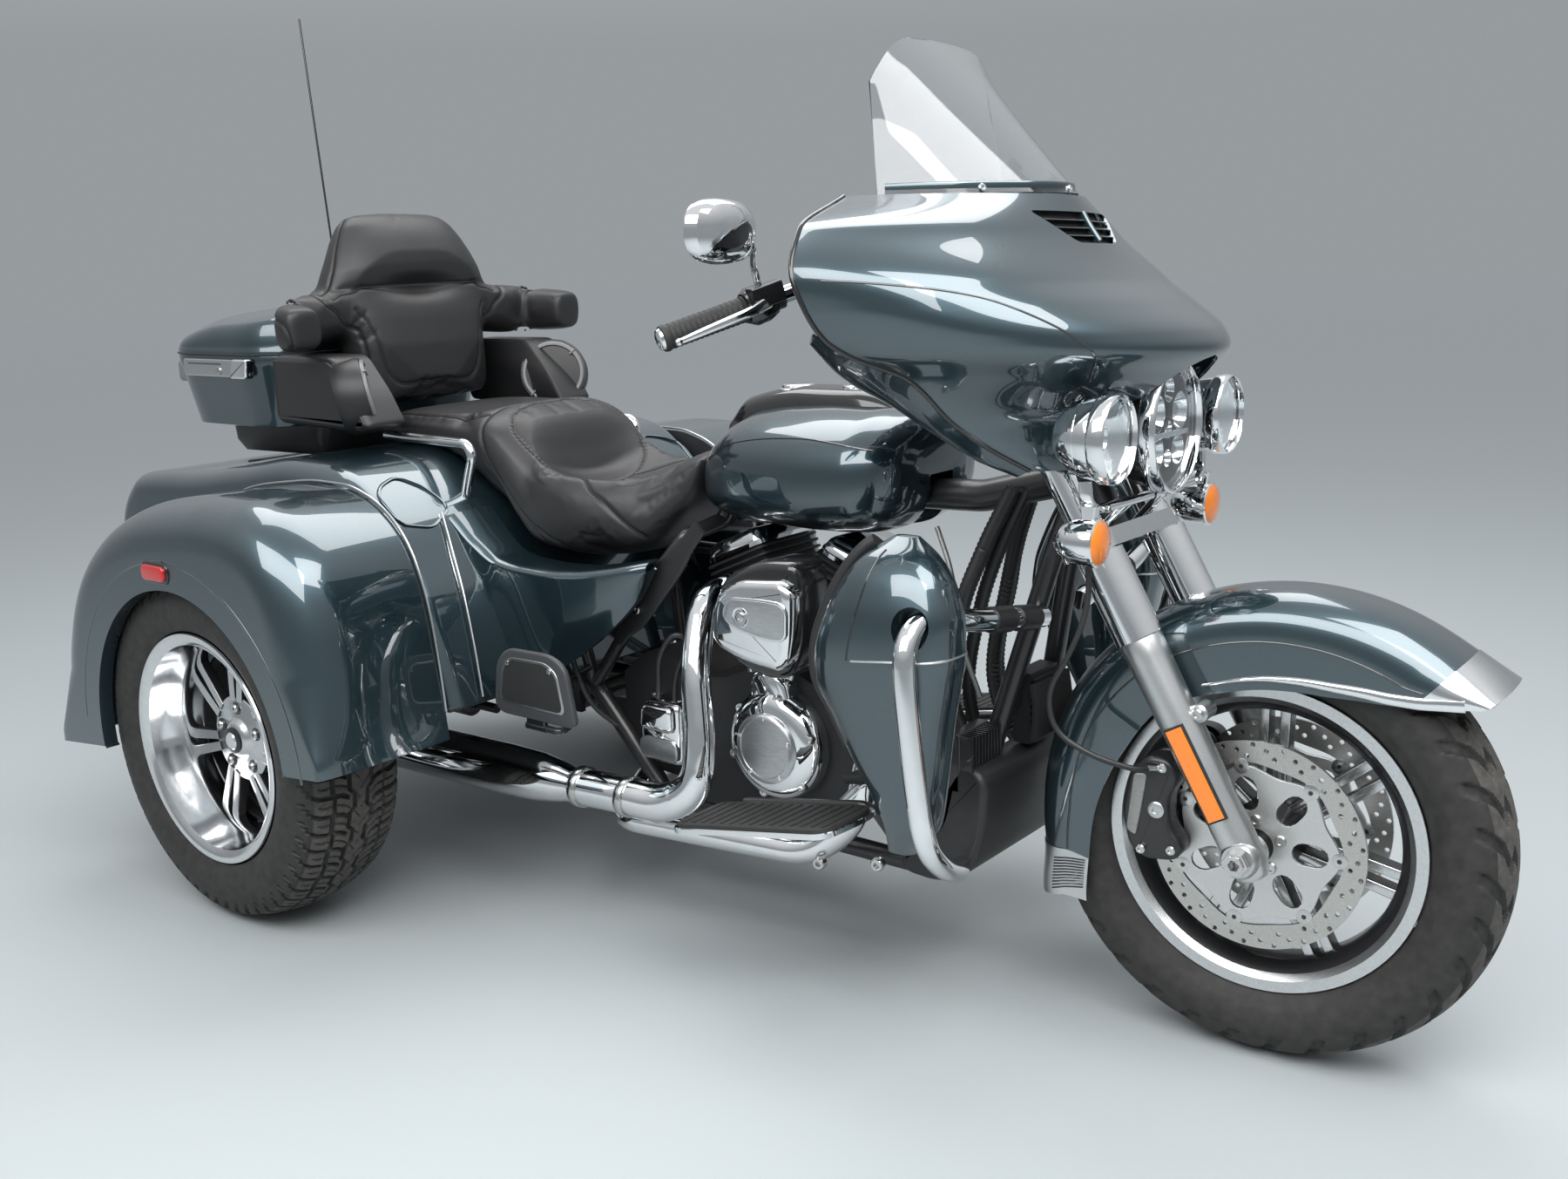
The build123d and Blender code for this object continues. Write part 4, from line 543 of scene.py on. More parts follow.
# The front brake discs: ground steel rings drilled in slanting rows, riding on seven-armed alloy carriers
# by round bobbins. Five bolts hold each carrier on the hub.
disc_steel = material("disc_steel", (0.50, 0.49, 0.47), metallic=1.0, roughness=0.28, spread=0.2,
                      variation=0.12, scale=500, depth=0.15)
carrier_alloy = material("carrier_alloy", (0.62, 0.62, 0.61), metallic=1.0, roughness=0.36, spread=0.2,
                         variation=0.06, scale=700, depth=0.2)


def flat_plate(name, loops, thickness, origin_at, x_axis, y_axis, finish, bevel=0.0):
    """Plate with an outline and holes: loops of (x, y) metres are filled in their plane, thickened and
    laid on the plane that has the given origin and axes."""
    curve = bpy.data.curves.new(name, "CURVE")
    curve.dimensions = "2D"
    curve.fill_mode = "BOTH"
    curve.extrude = thickness / 2 - bevel
    curve.bevel_depth = bevel
    curve.bevel_resolution = 1
    for loop in loops:
        loop = np.asarray(loop, float)
        line = curve.splines.new("POLY")
        line.points.add(len(loop) - 1)
        line.points.foreach_set("co", np.column_stack([loop, np.zeros(len(loop)),
                                                       np.ones(len(loop))]).ravel())
        line.use_cyclic_u = True
    holder = bpy.data.objects.new(name, curve)
    bpy.context.scene.collection.objects.link(holder)
    bpy.context.view_layer.update()
    mesh = bpy.data.meshes.new_from_object(holder.evaluated_get(bpy.context.evaluated_depsgraph_get()))
    bpy.data.objects.remove(holder)
    bpy.data.curves.remove(curve)
    x_axis, y_axis = Vector(x_axis).normalized(), Vector(y_axis).normalized()
    turn = Matrix((x_axis, y_axis, x_axis.cross(y_axis))).transposed().to_4x4()
    mesh.transform(Matrix.Translation(Vector(origin_at)) @ turn)
    mesh.materials.clear()
    mesh.materials.append(finish)
    mesh.shade_smooth()
    mesh.set_sharp_from_angle(angle=math.radians(38))
    piece = bpy.data.objects.new(name, mesh)
    bpy.context.scene.collection.objects.link(piece)
    return piece


def ring_loop(radius, count=96, centre=(0, 0), wave=0.0, lobes=0, start=0.0):
    """Circle of points, its radius swelling lobes times by the wave's share."""
    turn = np.linspace(0, 2 * math.pi, count, endpoint=False) + start
    swell = radius * (1 + wave * np.cos(lobes * (turn - start)))
    return np.column_stack([swell * np.cos(turn), swell * np.sin(turn)]) + centre


def polar(radius, angle):
    """Point of a plane at a radius and an angle in degrees."""
    return np.array([radius * math.cos(math.radians(angle)), radius * math.sin(math.radians(angle))])


drill = [ring_loop(0.0036, 10, polar(radius * 0.001, angle * 360 / 42 + slant)) for angle in range(42)
         for radius, slant in (((144, 0.0), (128, 4.0)) if angle % 2 else ((137, 1.0),))]
window = [polar(0.074, index * 360 / 7) + ring_loop(0.021, 20, wave=0.22, lobes=2,
                                                    start=math.radians(index * 360 / 7))
          for index in range(7)]
for side, sign in (("right", -1), ("left", 1)):
    face_y = sign * 68.6
    ring = flat_plate("ring", [ring_loop(0.1495, 128), ring_loop(0.117, 112, wave=0.022, lobes=7), *drill],
                      0.0052, (0, face_y * 0.001, 0), (1, 0, 0), (0, 0, 1), disc_steel)
    carrier = flat_plate("carrier", [ring_loop(0.108, 112, wave=0.055, lobes=7), ring_loop(0.025, 40),
                                     *window], 0.0062, (0, face_y * 0.001, 0), (1, 0, 0), (0, 0, 1),
                         carrier_alloy, 0.0006)
    studs = []
    bobbin = [(-4.2, 0), (-4.2, 6), (-3.4, 11), (3.4, 11), (4.2, 6), (4.2, 0)]
    pin = [(-5, 0), (-5, 3), (-4, 3.5), (4, 3.5), (5, 3), (5, 0)]
    head = np.array([(0, 8.5), (5, 8.5), (7.5, 7), (7.5, 4), (5, 3.6), (5, 0)]) * (sign, 1)
    for count, radius, start, kinds in ((7, 0.1135, 0, ((bobbin, steel, 24), (pin, black_cast, 12))),
                                        (5, 0.036, 20, ((head, steel, 18),))):
        for index in range(count):
            x, z = polar(radius, index * 360 / count + start)
            studs += [turned_piece("stud", profile, (x, face_y * 0.001, z), finish, segments)
                      for profile, finish, segments in kinds]
    disc = place(join(f"front_disc_{side}", [ring, carrier, *studs]), front_hub, steered=True)
    fitted(disc, "front_wheel", "front_discs")

# The front fender: one deep pressed-steel hoop in the body's metallic paint, with a raised dark stripe along
# each shoulder, a plated tip and spear at the front and a satin guard with a ribbed inset at the back.


def smooth_between(x, knots, values):
    """Monotone cubic curve through (knot, value) pairs: Hermite pieces whose slopes are the harmonic mean of
    the neighbouring chords, and zero where the chords turn."""
    knots, values, x = (np.asarray(part, float) for part in (knots, values, x))
    chord = np.diff(values) / np.diff(knots)
    inner = np.where(chord[:-1] * chord[1:] > 0, 2 * chord[:-1] * chord[1:]
                     / (chord[:-1] + chord[1:] + 1e-12), 0)
    slope = np.concatenate([chord[:1], inner, chord[-1:]])
    cell = np.clip(np.searchsorted(knots, x, side="right") - 1, 0, len(knots) - 2)
    width = (knots[1:] - knots[:-1])[cell]
    s = np.clip((x - knots[cell]) / width, 0, 1)
    return ((2 * s**3 - 3 * s**2 + 1) * values[cell] + (s**3 - 2 * s**2 + s) * width * slope[cell]
            + (3 * s**2 - 2 * s**3) * values[cell + 1] + (s**3 - s**2) * width * slope[cell + 1])


def table(rows, x, key=0):
    """Every other column of a table, as smooth curves of its first column, at x."""
    rows = np.asarray(rows, float)
    rows = rows[np.argsort(rows[:, key])]
    return [smooth_between(x, rows[:, key], rows[:, column]) for column in range(rows.shape[1])
            if column != key]


def lifted(grid, height):
    """Grid moved along its own normals, the cross product of its two directions."""
    down = np.gradient(grid, axis=0)
    over = np.gradient(grid, axis=1)
    normal = np.cross(down, over)
    length = np.linalg.norm(normal, axis=-1, keepdims=True)
    return grid + height * normal / np.maximum(length, 1e-12)


def shell(name, grid, thickness, finish):
    """Thin closed sheet: a grid of points, the same grid moved in along its normals, and a rim between."""
    rows, columns = grid.shape[:2]
    inner = lifted(grid, -thickness)
    faces = grid_faces(rows, columns, False) + grid_faces(rows, columns, False, rows * columns)
    edge = np.concatenate([np.arange(columns), np.arange(1, rows) * columns + columns - 1,
                           np.arange(rows * columns - 2, (rows - 1) * columns - 1, -1),
                           np.arange(rows - 2, 0, -1) * columns])
    after = np.roll(edge, -1)
    faces += np.stack([edge, after, after + rows * columns, edge + rows * columns], -1).tolist()
    return mesh_piece(name, np.concatenate([grid.reshape(-1, 3), inner.reshape(-1, 3)]), faces, finish)


def sweep(route, half_a, half_b, flat, power=2.0, segments=20):
    """Grid of a superellipse carried along a route of points: half_a lies along the direction called flat, as
    far as it is square to the route, and half_b square to both. Either may change along the route."""
    route = np.asarray(route, float)
    along = np.gradient(route, axis=0)
    along /= np.linalg.norm(along, axis=1, keepdims=True)
    first = np.asarray(flat, float) - (along @ np.asarray(flat, float))[:, None] * along
    first /= np.linalg.norm(first, axis=1, keepdims=True)
    second = np.cross(along, first)
    turn = np.linspace(0, 2 * math.pi, segments, endpoint=False)
    c, s = (np.sign(wave) * np.abs(wave) ** (2 / power) for wave in (np.cos(turn), np.sin(turn)))
    a, b = (np.broadcast_to(half, len(route))[:, None, None] for half in (half_a, half_b))
    return route[:, None] + a * c[None, :, None] * first[:, None] + b * s[None, :, None] * second[:, None]


def rod(name, finish, *given):
    """Closed piece of a sweep."""
    return surface(name, sweep(*given), finish, around=True, caps=True)


def bent(points, radius, steps=10):
    """Route through corner points, each corner rounded by a parabola that starts a radius before it."""
    points = np.asarray(points, float)
    before, corner, after = points[:-2], points[1:-1], points[2:]
    back = (before - corner) / np.linalg.norm(before - corner, axis=1, keepdims=True)
    on = (after - corner) / np.linalg.norm(after - corner, axis=1, keepdims=True)
    sides = [np.linalg.norm(end - corner, axis=1) for end in (before, after)]
    reach = np.minimum(radius, np.minimum(*sides)[:, None] * 0.49)
    start, end = corner + back * reach, corner + on * reach
    s = np.linspace(0, 1, steps)[None, :, None]
    curve = (1 - s) ** 2 * start[:, None] + 2 * s * (1 - s) * corner[:, None] + s**2 * end[:, None]
    return np.concatenate([points[:1], curve.reshape(-1, 3), points[-1:]])


def pipe(name, points, radius, finish, bend=0.03, flat=None, segments=20):
    """Round tube along a bent route; the direction that the route leaves least sets its sections."""
    route = bent(points, bend) if len(points) > 2 else np.linspace(points[0], points[1], 6)
    if flat is None:
        flat = np.linalg.svd(np.diff(route, axis=0))[2][-1]
    return rod(name, finish, route, radius, radius, flat, 2.0, segments)


paint = material("body_paint", (0.028, 0.056, 0.070), metallic=0.78, roughness=0.28, spread=0.06,
                 variation=0.18, scale=2600, depth=0.04, Coat_Weight=1.0, Coat_Roughness=0.02, Coat_IOR=1.8)
chrome = material("chrome", (0.80, 0.81, 0.82), metallic=1.0, roughness=0.05, spread=0.08, variation=0.02,
                  scale=60, depth=0.01)
satin = material("satin_alloy", (0.56, 0.57, 0.57), metallic=1.0, roughness=0.33, spread=0.12, variation=0.05,
                 scale=600, depth=0.12, Coat_Weight=0.4)
stripe = material("dark_stripe", (0.006, 0.008, 0.010), roughness=0.25, spread=0.1, variation=0.2, scale=400,
                  depth=0.02, Coat_Weight=1.0)

hoop_x, hoop_z = wheelbase + 15, tyre_radius + 8
fender_half = 86.0
# Angle from ahead, radius of the crest and of the lower edge
crest_curve = ((40.4, 374), (52, 364), (69, 357), (86, 352), (100, 350), (150, 352), (170, 351), (190, 352),
               (203, 376))
edge_curve = ((41, 349), (46, 312), (51, 283), (60, 254), (74, 229), (90, 219), (106, 216), (118, 221),
              (132, 230), (150, 229), (165, 236), (180, 248), (195, 264), (209, 293))


def fender_skin(along, across):
    """Point of the fender at a share along the hoop and a share across, -1 to 1: within half of the width
    the section is a superellipse of power 2.5 over the crown, and outside it the side drops to the edge."""
    along, across = np.broadcast_arrays(along, across)
    reach = np.abs(across)
    crest_angle, edge_angle = 40.4 + along * 162.4, 41.5 + along * 167.0
    crest, = table(crest_curve, crest_angle)
    edge, = table(edge_curve, edge_angle)
    depth = np.minimum(62, (crest - edge) * 0.62)
    turn = np.clip(reach / 0.5, 0, 1) * math.pi / 2
    drop = np.clip((reach - 0.5) / 0.5, 0, 1)
    wide = fender_half * np.sin(turn) ** 0.8
    radius = (crest - depth + depth * np.abs(np.cos(turn)) ** 0.8) * (1 - drop) + edge * drop
    angle = np.radians(crest_angle * (1 - reach**1.5) + edge_angle * reach**1.5)
    return from_axle(np.stack([hoop_x + radius * np.cos(angle), np.sign(across) * wide * (1 - 0.02 * drop),
                               hoop_z + radius * np.sin(angle)], -1))


def fender_part(name, from_share, to_share, low, high, lift, thick, finish, rows=60, columns=60):
    """Sheet that follows the fender between two shares along it and two across, lifted off its skin."""
    u, v = np.linspace(from_share, to_share, rows)[:, None], np.linspace(low, high, columns)[None]
    return shell(name, parked(lifted(fender_skin(u, v)[:, ::-1], lift)), thick, finish)


front_fender = fender_part("front_fender_skin", 0, 1, -1, 1, 0, 0.0025, paint, 150, 90)
trims = [fender_part("tip", 0.0, 0.060, -1, 1, 0.0016, 0.0012, chrome, 12, 60)]
for side in (-1, 1):
    run = np.linspace(0.012, 0.44, 60)
    spear = fender_skin(run, side * np.full(60, 0.9))
    grow = np.clip((0.44 - run) / 0.43, 0, 1)
    spear[:, 2] += 0.004 * grow
    trims.append(surface("spear", parked(sweep(spear, 0.004 * np.minimum(1, grow * 5), 0.0016 + 0.008 * grow,
                                               (0, 1, 0))), chrome, around=True, caps=True))
fitted(front_fender, "steering", "front_fender")
fitted(join("fender_trim", trims), "steering", None)
heel = [fender_part("heel", 0.925, 1.0, -1, 1, 0.0018, 0.0014, satin, 14, 70)]
for low, high in ((-0.93, -0.42), (0.42, 0.93)):
    over = np.linspace(low, high, 24)[None]
    down = 0.942 + 0.0048 * np.arange(11)[:, None] - 0.022 * (np.abs(over) - 0.42)
    for rib in lifted(fender_skin(down, over)[:, ::-1], 0.0024):
        heel.append(surface("rib", parked(sweep(rib, 0.0011, 0.0011, (0, 0, 1), 2, 8)), stripe, around=True,
                            caps=True))
fitted(join("fender_heel", heel), "steering", None)
stripes = []
for side in (-1, 1):
    line = fender_skin(np.linspace(0.065, 0.925, 120), side * np.full(120, 0.53))
    stripes.append(surface("line", parked(sweep(line, 0.0016, 0.0016, (0, 1, 0), 2, 8)), stripe, around=True,
                           caps=True))
fitted(join("fender_stripes", stripes), "steering")

# The fork: satin cast sliders with an axle lug, stainless covers above, an amber reflector on each leg,
# and a black six-piston caliper behind it, fed by a hose from the bars.
fork_rake = math.radians(29.25)
fork_up = np.array([-math.sin(fork_rake), 0, math.cos(fork_rake)])
# The amber lens has a faint emission, a painted glow, which the fork reflectors wear too though they are no
# lamps.
amber = material("amber_lens", (0.74, 0.19, 0.008), roughness=0.12, spread=0.1, variation=0.1, scale=900,
                 depth=0.5, Coat_Weight=1.0, Emission_Color=(0.9, 0.25, 0.01, 1), Emission_Strength=0.03)
black_plastic = material("black_plastic", (0.016, 0.016, 0.017), roughness=0.42, spread=0.2, variation=0.25,
                         scale=900, depth=0.35)
mesh_metal = material("wire_mesh", (0.35, 0.35, 0.34), metallic=1.0, roughness=0.4, variation=0.6, scale=1600,
                      depth=0.9)


def rounded(points, radius, steps=6):
    """Closed outline through corner points with each corner rounded by a parabola."""
    points = np.asarray(points, float)
    ring = np.concatenate([points[-1:], points, points[:1]])
    flat = np.column_stack([ring, np.zeros(len(ring))])
    return bent(flat, radius, steps)[1:-1, :2]


def inset(loop, amount):
    """Closed outline drawn in along the bisector of its neighbours' directions."""
    side = np.roll(loop, -1, 0) - np.roll(loop, 1, 0)
    side /= np.maximum(np.linalg.norm(side, axis=1, keepdims=True), 1e-9)
    area = 0.5 * np.sum(loop[:, 0] * np.roll(loop[:, 1], -1) - loop[:, 1] * np.roll(loop[:, 0], -1))
    return loop + amount * math.copysign(1, area) * np.column_stack([-side[:, 1], side[:, 0]])


def moulded(name, loop, levels, origin_at, x_axis, y_axis, finish):
    """Block stacked from an outline: each level is (height along the plane's normal, amount drawn in), and a
    quarter round of levels gives a moulded edge. Both ends are closed."""
    x_axis, y_axis = np.asarray(x_axis, float), np.asarray(y_axis, float)
    normal = np.cross(x_axis, y_axis)
    rows = [np.asarray(origin_at, float) + ring[:, :1] * x_axis + ring[:, 1:] * y_axis + height * normal
            for height, amount in levels for ring in (inset(loop, amount),)]
    return surface(name, np.array(rows), finish, around=True, caps=True)


def round_edge(low, high, radius, steps=5, both=False):
    """Levels of a block whose far edge is a quarter circle, and its near edge too if both."""
    turn = np.linspace(0, math.pi / 2, steps)
    far = [(high - radius + radius * math.sin(a), radius * (1 - math.cos(a))) for a in turn]
    near = [(low + radius - radius * math.sin(a), radius * (1 - math.cos(a))) for a in turn[::-1]]
    return (near if both else [(low, 0)]) + far


def side_block(name, outline_mm, corner, near, far, edge, finish, side, both=False):
    """Moulded block seen from the side: an outline of (x, z) millimetres from the rear axle, from one
    distance off the middle to another, on the right (side -1) or the left (side 1)."""
    loop = rounded(np.asarray(outline_mm, float) * 0.001, corner * 0.001)
    levels = round_edge(near * 0.001, far * 0.001, edge * 0.001, both=both)
    if side > 0:
        levels = [(-height, amount) for height, amount in levels]
    return moulded(name, loop, levels, from_axle((0, 0, 0)), (1, 0, 0), (0, 0, 1), finish)


def bolt(name, at, axis, radius, height, finish, segments=6):
    """Socket or hexagon head with a chamfer, standing at a point along an axis."""
    profile = [(0, 0), (0, radius), (height * 0.75, radius), (height, radius * 0.8), (height, radius * 0.45),
               (height * 0.55, radius * 0.4), (height * 0.55, 0)]
    return surface(name, turned(np.asarray(profile), at, segments, axis), finish, around=True)


leg_y = 118.0
slider_profile = [(-34, 0), (-34, 17), (-28, 23), (-10, 27), (30, 28), (90, 27), (130, 28.5), (250, 29.5),
                  (300, 30.5), (322, 31), (325.6, 30), (325.6, 24.6), (300, 24.6), (300, 0)]
sliders, reflectors, calipers = [], [], []
for side in (-1, 1):
    foot = from_axle((wheelbase, side * leg_y, tyre_radius))
    parts = [turned_piece("slider", slider_profile, foot, satin, 48, fork_up)]
    parts.append(turned_piece("lug", np.array([(-26, 12.4), (-26, 22), (-22, 26), (24, 26), (30, 22),
                                               (30, 12.4), (-26, 12.4)]) * (side, 1), foot, satin, 40,
                              (0, 1, 0)))
    arm = foot + fork_up * 0.205 + np.array([0.030, 0, 0.012])
    lug = np.array([(-30, 0), (-30, 13), (6, 13), (9, 10), (9, 0)]) * (side, 1)
    parts.append(turned_piece("fender_lug", lug, arm, satin, 24, (0, 1, 0)))
    parts.append(beam("web", satin, foot + fork_up * 0.19, arm - (0, side * 0.012, 0), (0.030, 0.022),
                      (0.022, 0.018), (0, 1, 0)))
    parts.append(bolt("fender_bolt", arm + (0, side * 0.009, 0), (0, side, 0), 0.0085, 0.006, steel, 24))
    for offset in (-0.012, 0.012):
        seat = foot + fork_up * 0.018 + np.array([0.024, side * (0.006 + offset), -0.012])
        parts.append(bolt("pinch_bolt", seat, (0.9, 0, 0.44), 0.0065, 0.007, steel, 18))
    sliders.append(join("leg", parts))
    start, end = foot + fork_up * 0.062, foot + fork_up * 0.196
    out = np.array([0, side * 0.0305, 0])
    # The reflector's amber lens carries the painted glow.
    reflectors.append(beam("reflector", amber, start + out, end + out, (0.024, 0.007), (0.024, 0.007),
                           (0, side, 0)))
    reflectors.append(beam("reflector_tray", black_plastic, start + out * 0.92 - fork_up * 0.003,
                           end + out * 0.92 + fork_up * 0.003, (0.029, 0.007), (0.029, 0.007), (0, side, 0)))
    body = [(1500, 300), (1524, 284), (1572, 290), (1580, 316), (1560, 338), (1556, 380), (1572, 410),
            (1560, 436), (1526, 440), (1498, 412), (1488, 350)]
    calipers.append(side_block("caliper", body, 14, 78, 112, 9, black_cast, side))
    calipers.append(side_block("caliper_back", body, 14, 50, 62, 5, black_cast, side))
    calipers.append(side_block("caliper_bridge", [(1500, 310), (1514, 306), (1518, 404), (1502, 408)], 5, 50,
                               104, 3, black_cast, side))
    calipers.append(side_block("caliper_mesh", [(1497, 326), (1512, 318), (1520, 366), (1526, 412),
                                                (1506, 410)], 6, 108, 114.5, 2, mesh_metal, side))
    for x, z, size in ((1541, 362, 12), (1520, 300, 7), (1564, 306, 7), (1548, 424, 7)):
        calipers.append(bolt("caliper_bolt", from_axle((x, side * 111, z)), (0, side, 0), size * 0.001, 0.006,
                             satin if size > 10 else steel, 24))
assembled("fork_legs", sliders, "steering", "fork_sliders")
assembled("fork_reflectors", reflectors, "steering", None)
assembled("front_calipers", calipers, "steering", "brake_calipers")
hoses = []
for side in (-1, 1):
    route = [(1446, side * 150, 718), (1452, side * 160, 650), (1432, side * 172, 586),
             (1400, side * 178, 526), (1412, side * 176, 470), (1470, side * 166, 440),
             (1520, side * 140, 424), (1536, side * 116, 424)]
    hoses.append(pipe("hose", from_axle(route), 0.0042, black_plastic, 0.06, segments=12))
    hoses.append(pipe("hose_end", from_axle([(1528, side * 124, 425), (1542, side * 108, 423)]), 0.0062,
                      steel))
assembled("brake_hoses", hoses, "steering")
nut = [(0, 8.2), (0, 19), (8, 19), (11, 16), (11, 13.5), (16, 13), (16, 8.2), (0, 8.2)]
nuts = [turned_piece("axle_nut", nut, from_axle((wheelbase, side * 148, tyre_radius)), steel,
                     6 if side < 0 else 36, (0, side, 0)) for side in (-1, 1)]
assembled("axle_ends", nuts, "steering", None)

# The lamps: a headlamp with several small lenses behind one clear face, in a black shell with a plated rim,
# and a pair of passing lamps in plated shells, all on a plated cross bar. The amber signals hang under the
# bar on short stems.
glass = material("clear_glass", (0.95, 0.97, 0.98), roughness=0.02, spread=0.01, variation=0.01, scale=40,
                 depth=0.0, Transmission_Weight=1.0, IOR=1.49)
mirror = material("reflector", (0.90, 0.91, 0.92), metallic=1.0, roughness=0.07, spread=0.05, variation=0.03,
                  scale=80, depth=0.02)
lens_glass = material("projector_lens", (0.60, 0.66, 0.70), roughness=0.03, spread=0.02, variation=0.02,
                      scale=60, depth=0.0, Transmission_Weight=0.55, IOR=1.5)
gloss_black = material("gloss_black", (0.010, 0.010, 0.011), roughness=0.16, spread=0.1, variation=0.15,
                       scale=300, depth=0.03, Coat_Weight=0.6)
ahead_axis = (1, 0, 0)
headlamp_x, lamp_z, headlamp_radius = wheelbase - 158, 890.0, 97.0
passing_x, passing_y, passing_radius = wheelbase - 156, 214.0, 61.0
signal_x, signal_z = wheelbase - 175, 751.0


def lamp_parts(x, y, z, radius, depth, ring, shell_finish):
    """Shell, trim ring and clear domed face of a round lamp that looks forwards."""
    at = from_axle((x, y, z))
    base = radius * 0.925
    bowl = [(-depth, 0), (-depth + 1, base * 0.3), (-depth * 0.86, base * 0.62), (-depth * 0.68, base * 0.84),
            (-depth * 0.48, base * 0.96), (-depth * 0.3, base), (-16, base), (-16, base - 3),
            (-depth * 0.3, base - 3), (-depth * 0.45, base * 0.85), (-depth * 0.5, 0)]
    trim = [(-26, base - 0.5), (-24, radius - 2), (-20, radius), (-8, radius), (-2, radius - 1.5),
            (0, radius - 4), (0, radius - ring + 2), (-3, radius - ring), (-15, radius - ring),
            (-15, base - 4), (-26, base - 4), (-26, base - 0.5)]
    rim_in = radius - ring - 0.3
    face = [(-9, 0), (-10.5, rim_in * 0.6), (-14, rim_in), (-11, rim_in), (-6.5, rim_in * 0.6), (-4, 0)]
    return [turned_piece("bowl", bowl, at, shell_finish, 72, ahead_axis),
            turned_piece("trim", trim, at, chrome, 96, ahead_axis),
            turned_piece("face", face, at, glass, 72, ahead_axis)]


def cell(x, y, z, radius, depth):
    """One small lamp inside another: a plated dish with a domed lens in its mouth."""
    at = from_axle((x, y, z))
    dish = [(-depth, 0), (-depth, radius * 0.3), (-depth * 0.4, radius * 0.75), (0, radius * 0.96),
            (0, radius), (-depth - 3, radius), (-depth - 3, 0)]
    dome = [(-depth + 2, 0), (-depth + 2, radius * 0.5), (-depth * 0.5, radius * 0.52),
            (-depth * 0.2, radius * 0.3), (-depth * 0.1, 0)]
    return [turned_piece("dish", dish, at, mirror, 40, ahead_axis),
            turned_piece("dome", dome, at, lens_glass, 32, ahead_axis)]


parts = lamp_parts(headlamp_x, 0, lamp_z, headlamp_radius, 108, 9, gloss_black)
backing = [(-52, 0), (-52, 84), (-22, 86), (-22, 83), (-47, 80), (-47, 0)]
parts.append(turned_piece("backing", backing, from_axle((headlamp_x, 0, lamp_z)), gloss_black, 64,
                          ahead_axis))
for y, z, radius in ((-40, 18, 27), (40, 18, 27), (0, 50, 18), (-36, -36, 22), (36, -36, 22), (0, -6, 13),
                     (0, -46, 13)):
    parts += cell(headlamp_x - 18, y, lamp_z + z, radius, 24)
parts.append(side_block("bridge", [(-3, -4), (3, -4), (3, 4), (-3, 4)], 1, -66, 66, 1, mirror, -1))
place(parts[-1], from_axle((headlamp_x - 18, 0, lamp_z - 12)) - from_axle((0, 0, 0)))
assembled("headlamp_parts", parts, "steering", "headlamp")
passing, signals = [], []
for side in (-1, 1):
    passing += lamp_parts(passing_x, side * passing_y, lamp_z, passing_radius, 92, 6, chrome)
    dish = [(-44, 0), (-42, 14), (-30, 36), (-17, 52), (-17, 54), (-46, 54), (-46, 0)]
    passing.append(turned_piece("dish", dish, from_axle((passing_x, side * passing_y, lamp_z)), mirror, 48,
                                ahead_axis))
    passing += cell(passing_x - 24, side * passing_y, lamp_z, 17, 16)
    at = from_axle((signal_x, side * passing_y, signal_z))
    signals.append(turned_piece("signal_shell", [(-70, 0), (-69, 10), (-60, 21), (-44, 29), (-24, 31),
                                                 (-14, 31.5), (-14, 33), (-8, 33), (-6, 31), (-6, 28),
                                                 (-40, 24), (-40, 0)], at, chrome, 48, ahead_axis))
    signals.append(turned_piece("signal_lens", [(-12, 0), (-12, 30.5), (-6, 30.5), (-2, 27), (1.5, 14),
                                                (2.5, 0)], at, amber, 48, ahead_axis))
assembled("passing_pair", passing, "steering", "passing_lamps")
assembled("signal_pair", signals, "steering", "signal_lamps")

cross = []
bar_x = wheelbase - 198
for side in (-1, 1):
    run = [(bar_x, side * 4, 790), (bar_x, side * 120, 791), (bar_x, side * 190, 792),
           (bar_x - 4, side * 214, 804), (bar_x - 6, side * 214, 832)]
    cross.append(rod("arm", chrome, bent(from_axle(run), 0.02), 0.009, 0.0055, (1, 0, 0), 3.4))
    cross.append(beam("stem", chrome, from_axle((bar_x + 2, side * 214, 800)),
                      from_axle((bar_x + 2, side * 214, 782)), (0.018, 0.022), (0.016, 0.018), (1, 0, 0)))
    foot = [(bar_x - 2, side * 66, 790), (bar_x - 26, side * 70, 764), (bar_x - 48, side * 74, 738)]
    cross.append(rod("foot", chrome, bent(from_axle(foot), 0.015), 0.013, 0.006, (0, 1, 0), 3.4))
    cross.append(bolt("post_bolt", from_axle((bar_x + 8, side * 176, 792)), (1, 0, 0), 0.006, 0.006, steel))
assembled("lamp_cross", cross, "steering", "lamp_bar")

# The fairing: a thin moulded shell in body paint that spreads like wings from a hooded lip over the headlamp.
# A black slatted air slot is let into its brow, a dark pinstripe follows its shoulder.
# Height, nose, side edge ahead of the rear axle, half width, and power of the section's superellipse
fairing_table = ((838, 1452, 1376, 190, 1.63), (870, 1478, 1338, 236, 1.35), (905, 1500, 1306, 280, 1.22),
                 (968, 1542, 1266, 336, 1.66), (1000, 1563, 1205, 385, 1.85), (1022, 1551, 1180, 405, 1.92),
                 (1060, 1494, 1163, 424, 2.06), (1095, 1434, 1150, 430, 2.2), (1163, 1374, 1128, 382, 1.85),
                 (1212, 1345, 1104, 234, 1.9))


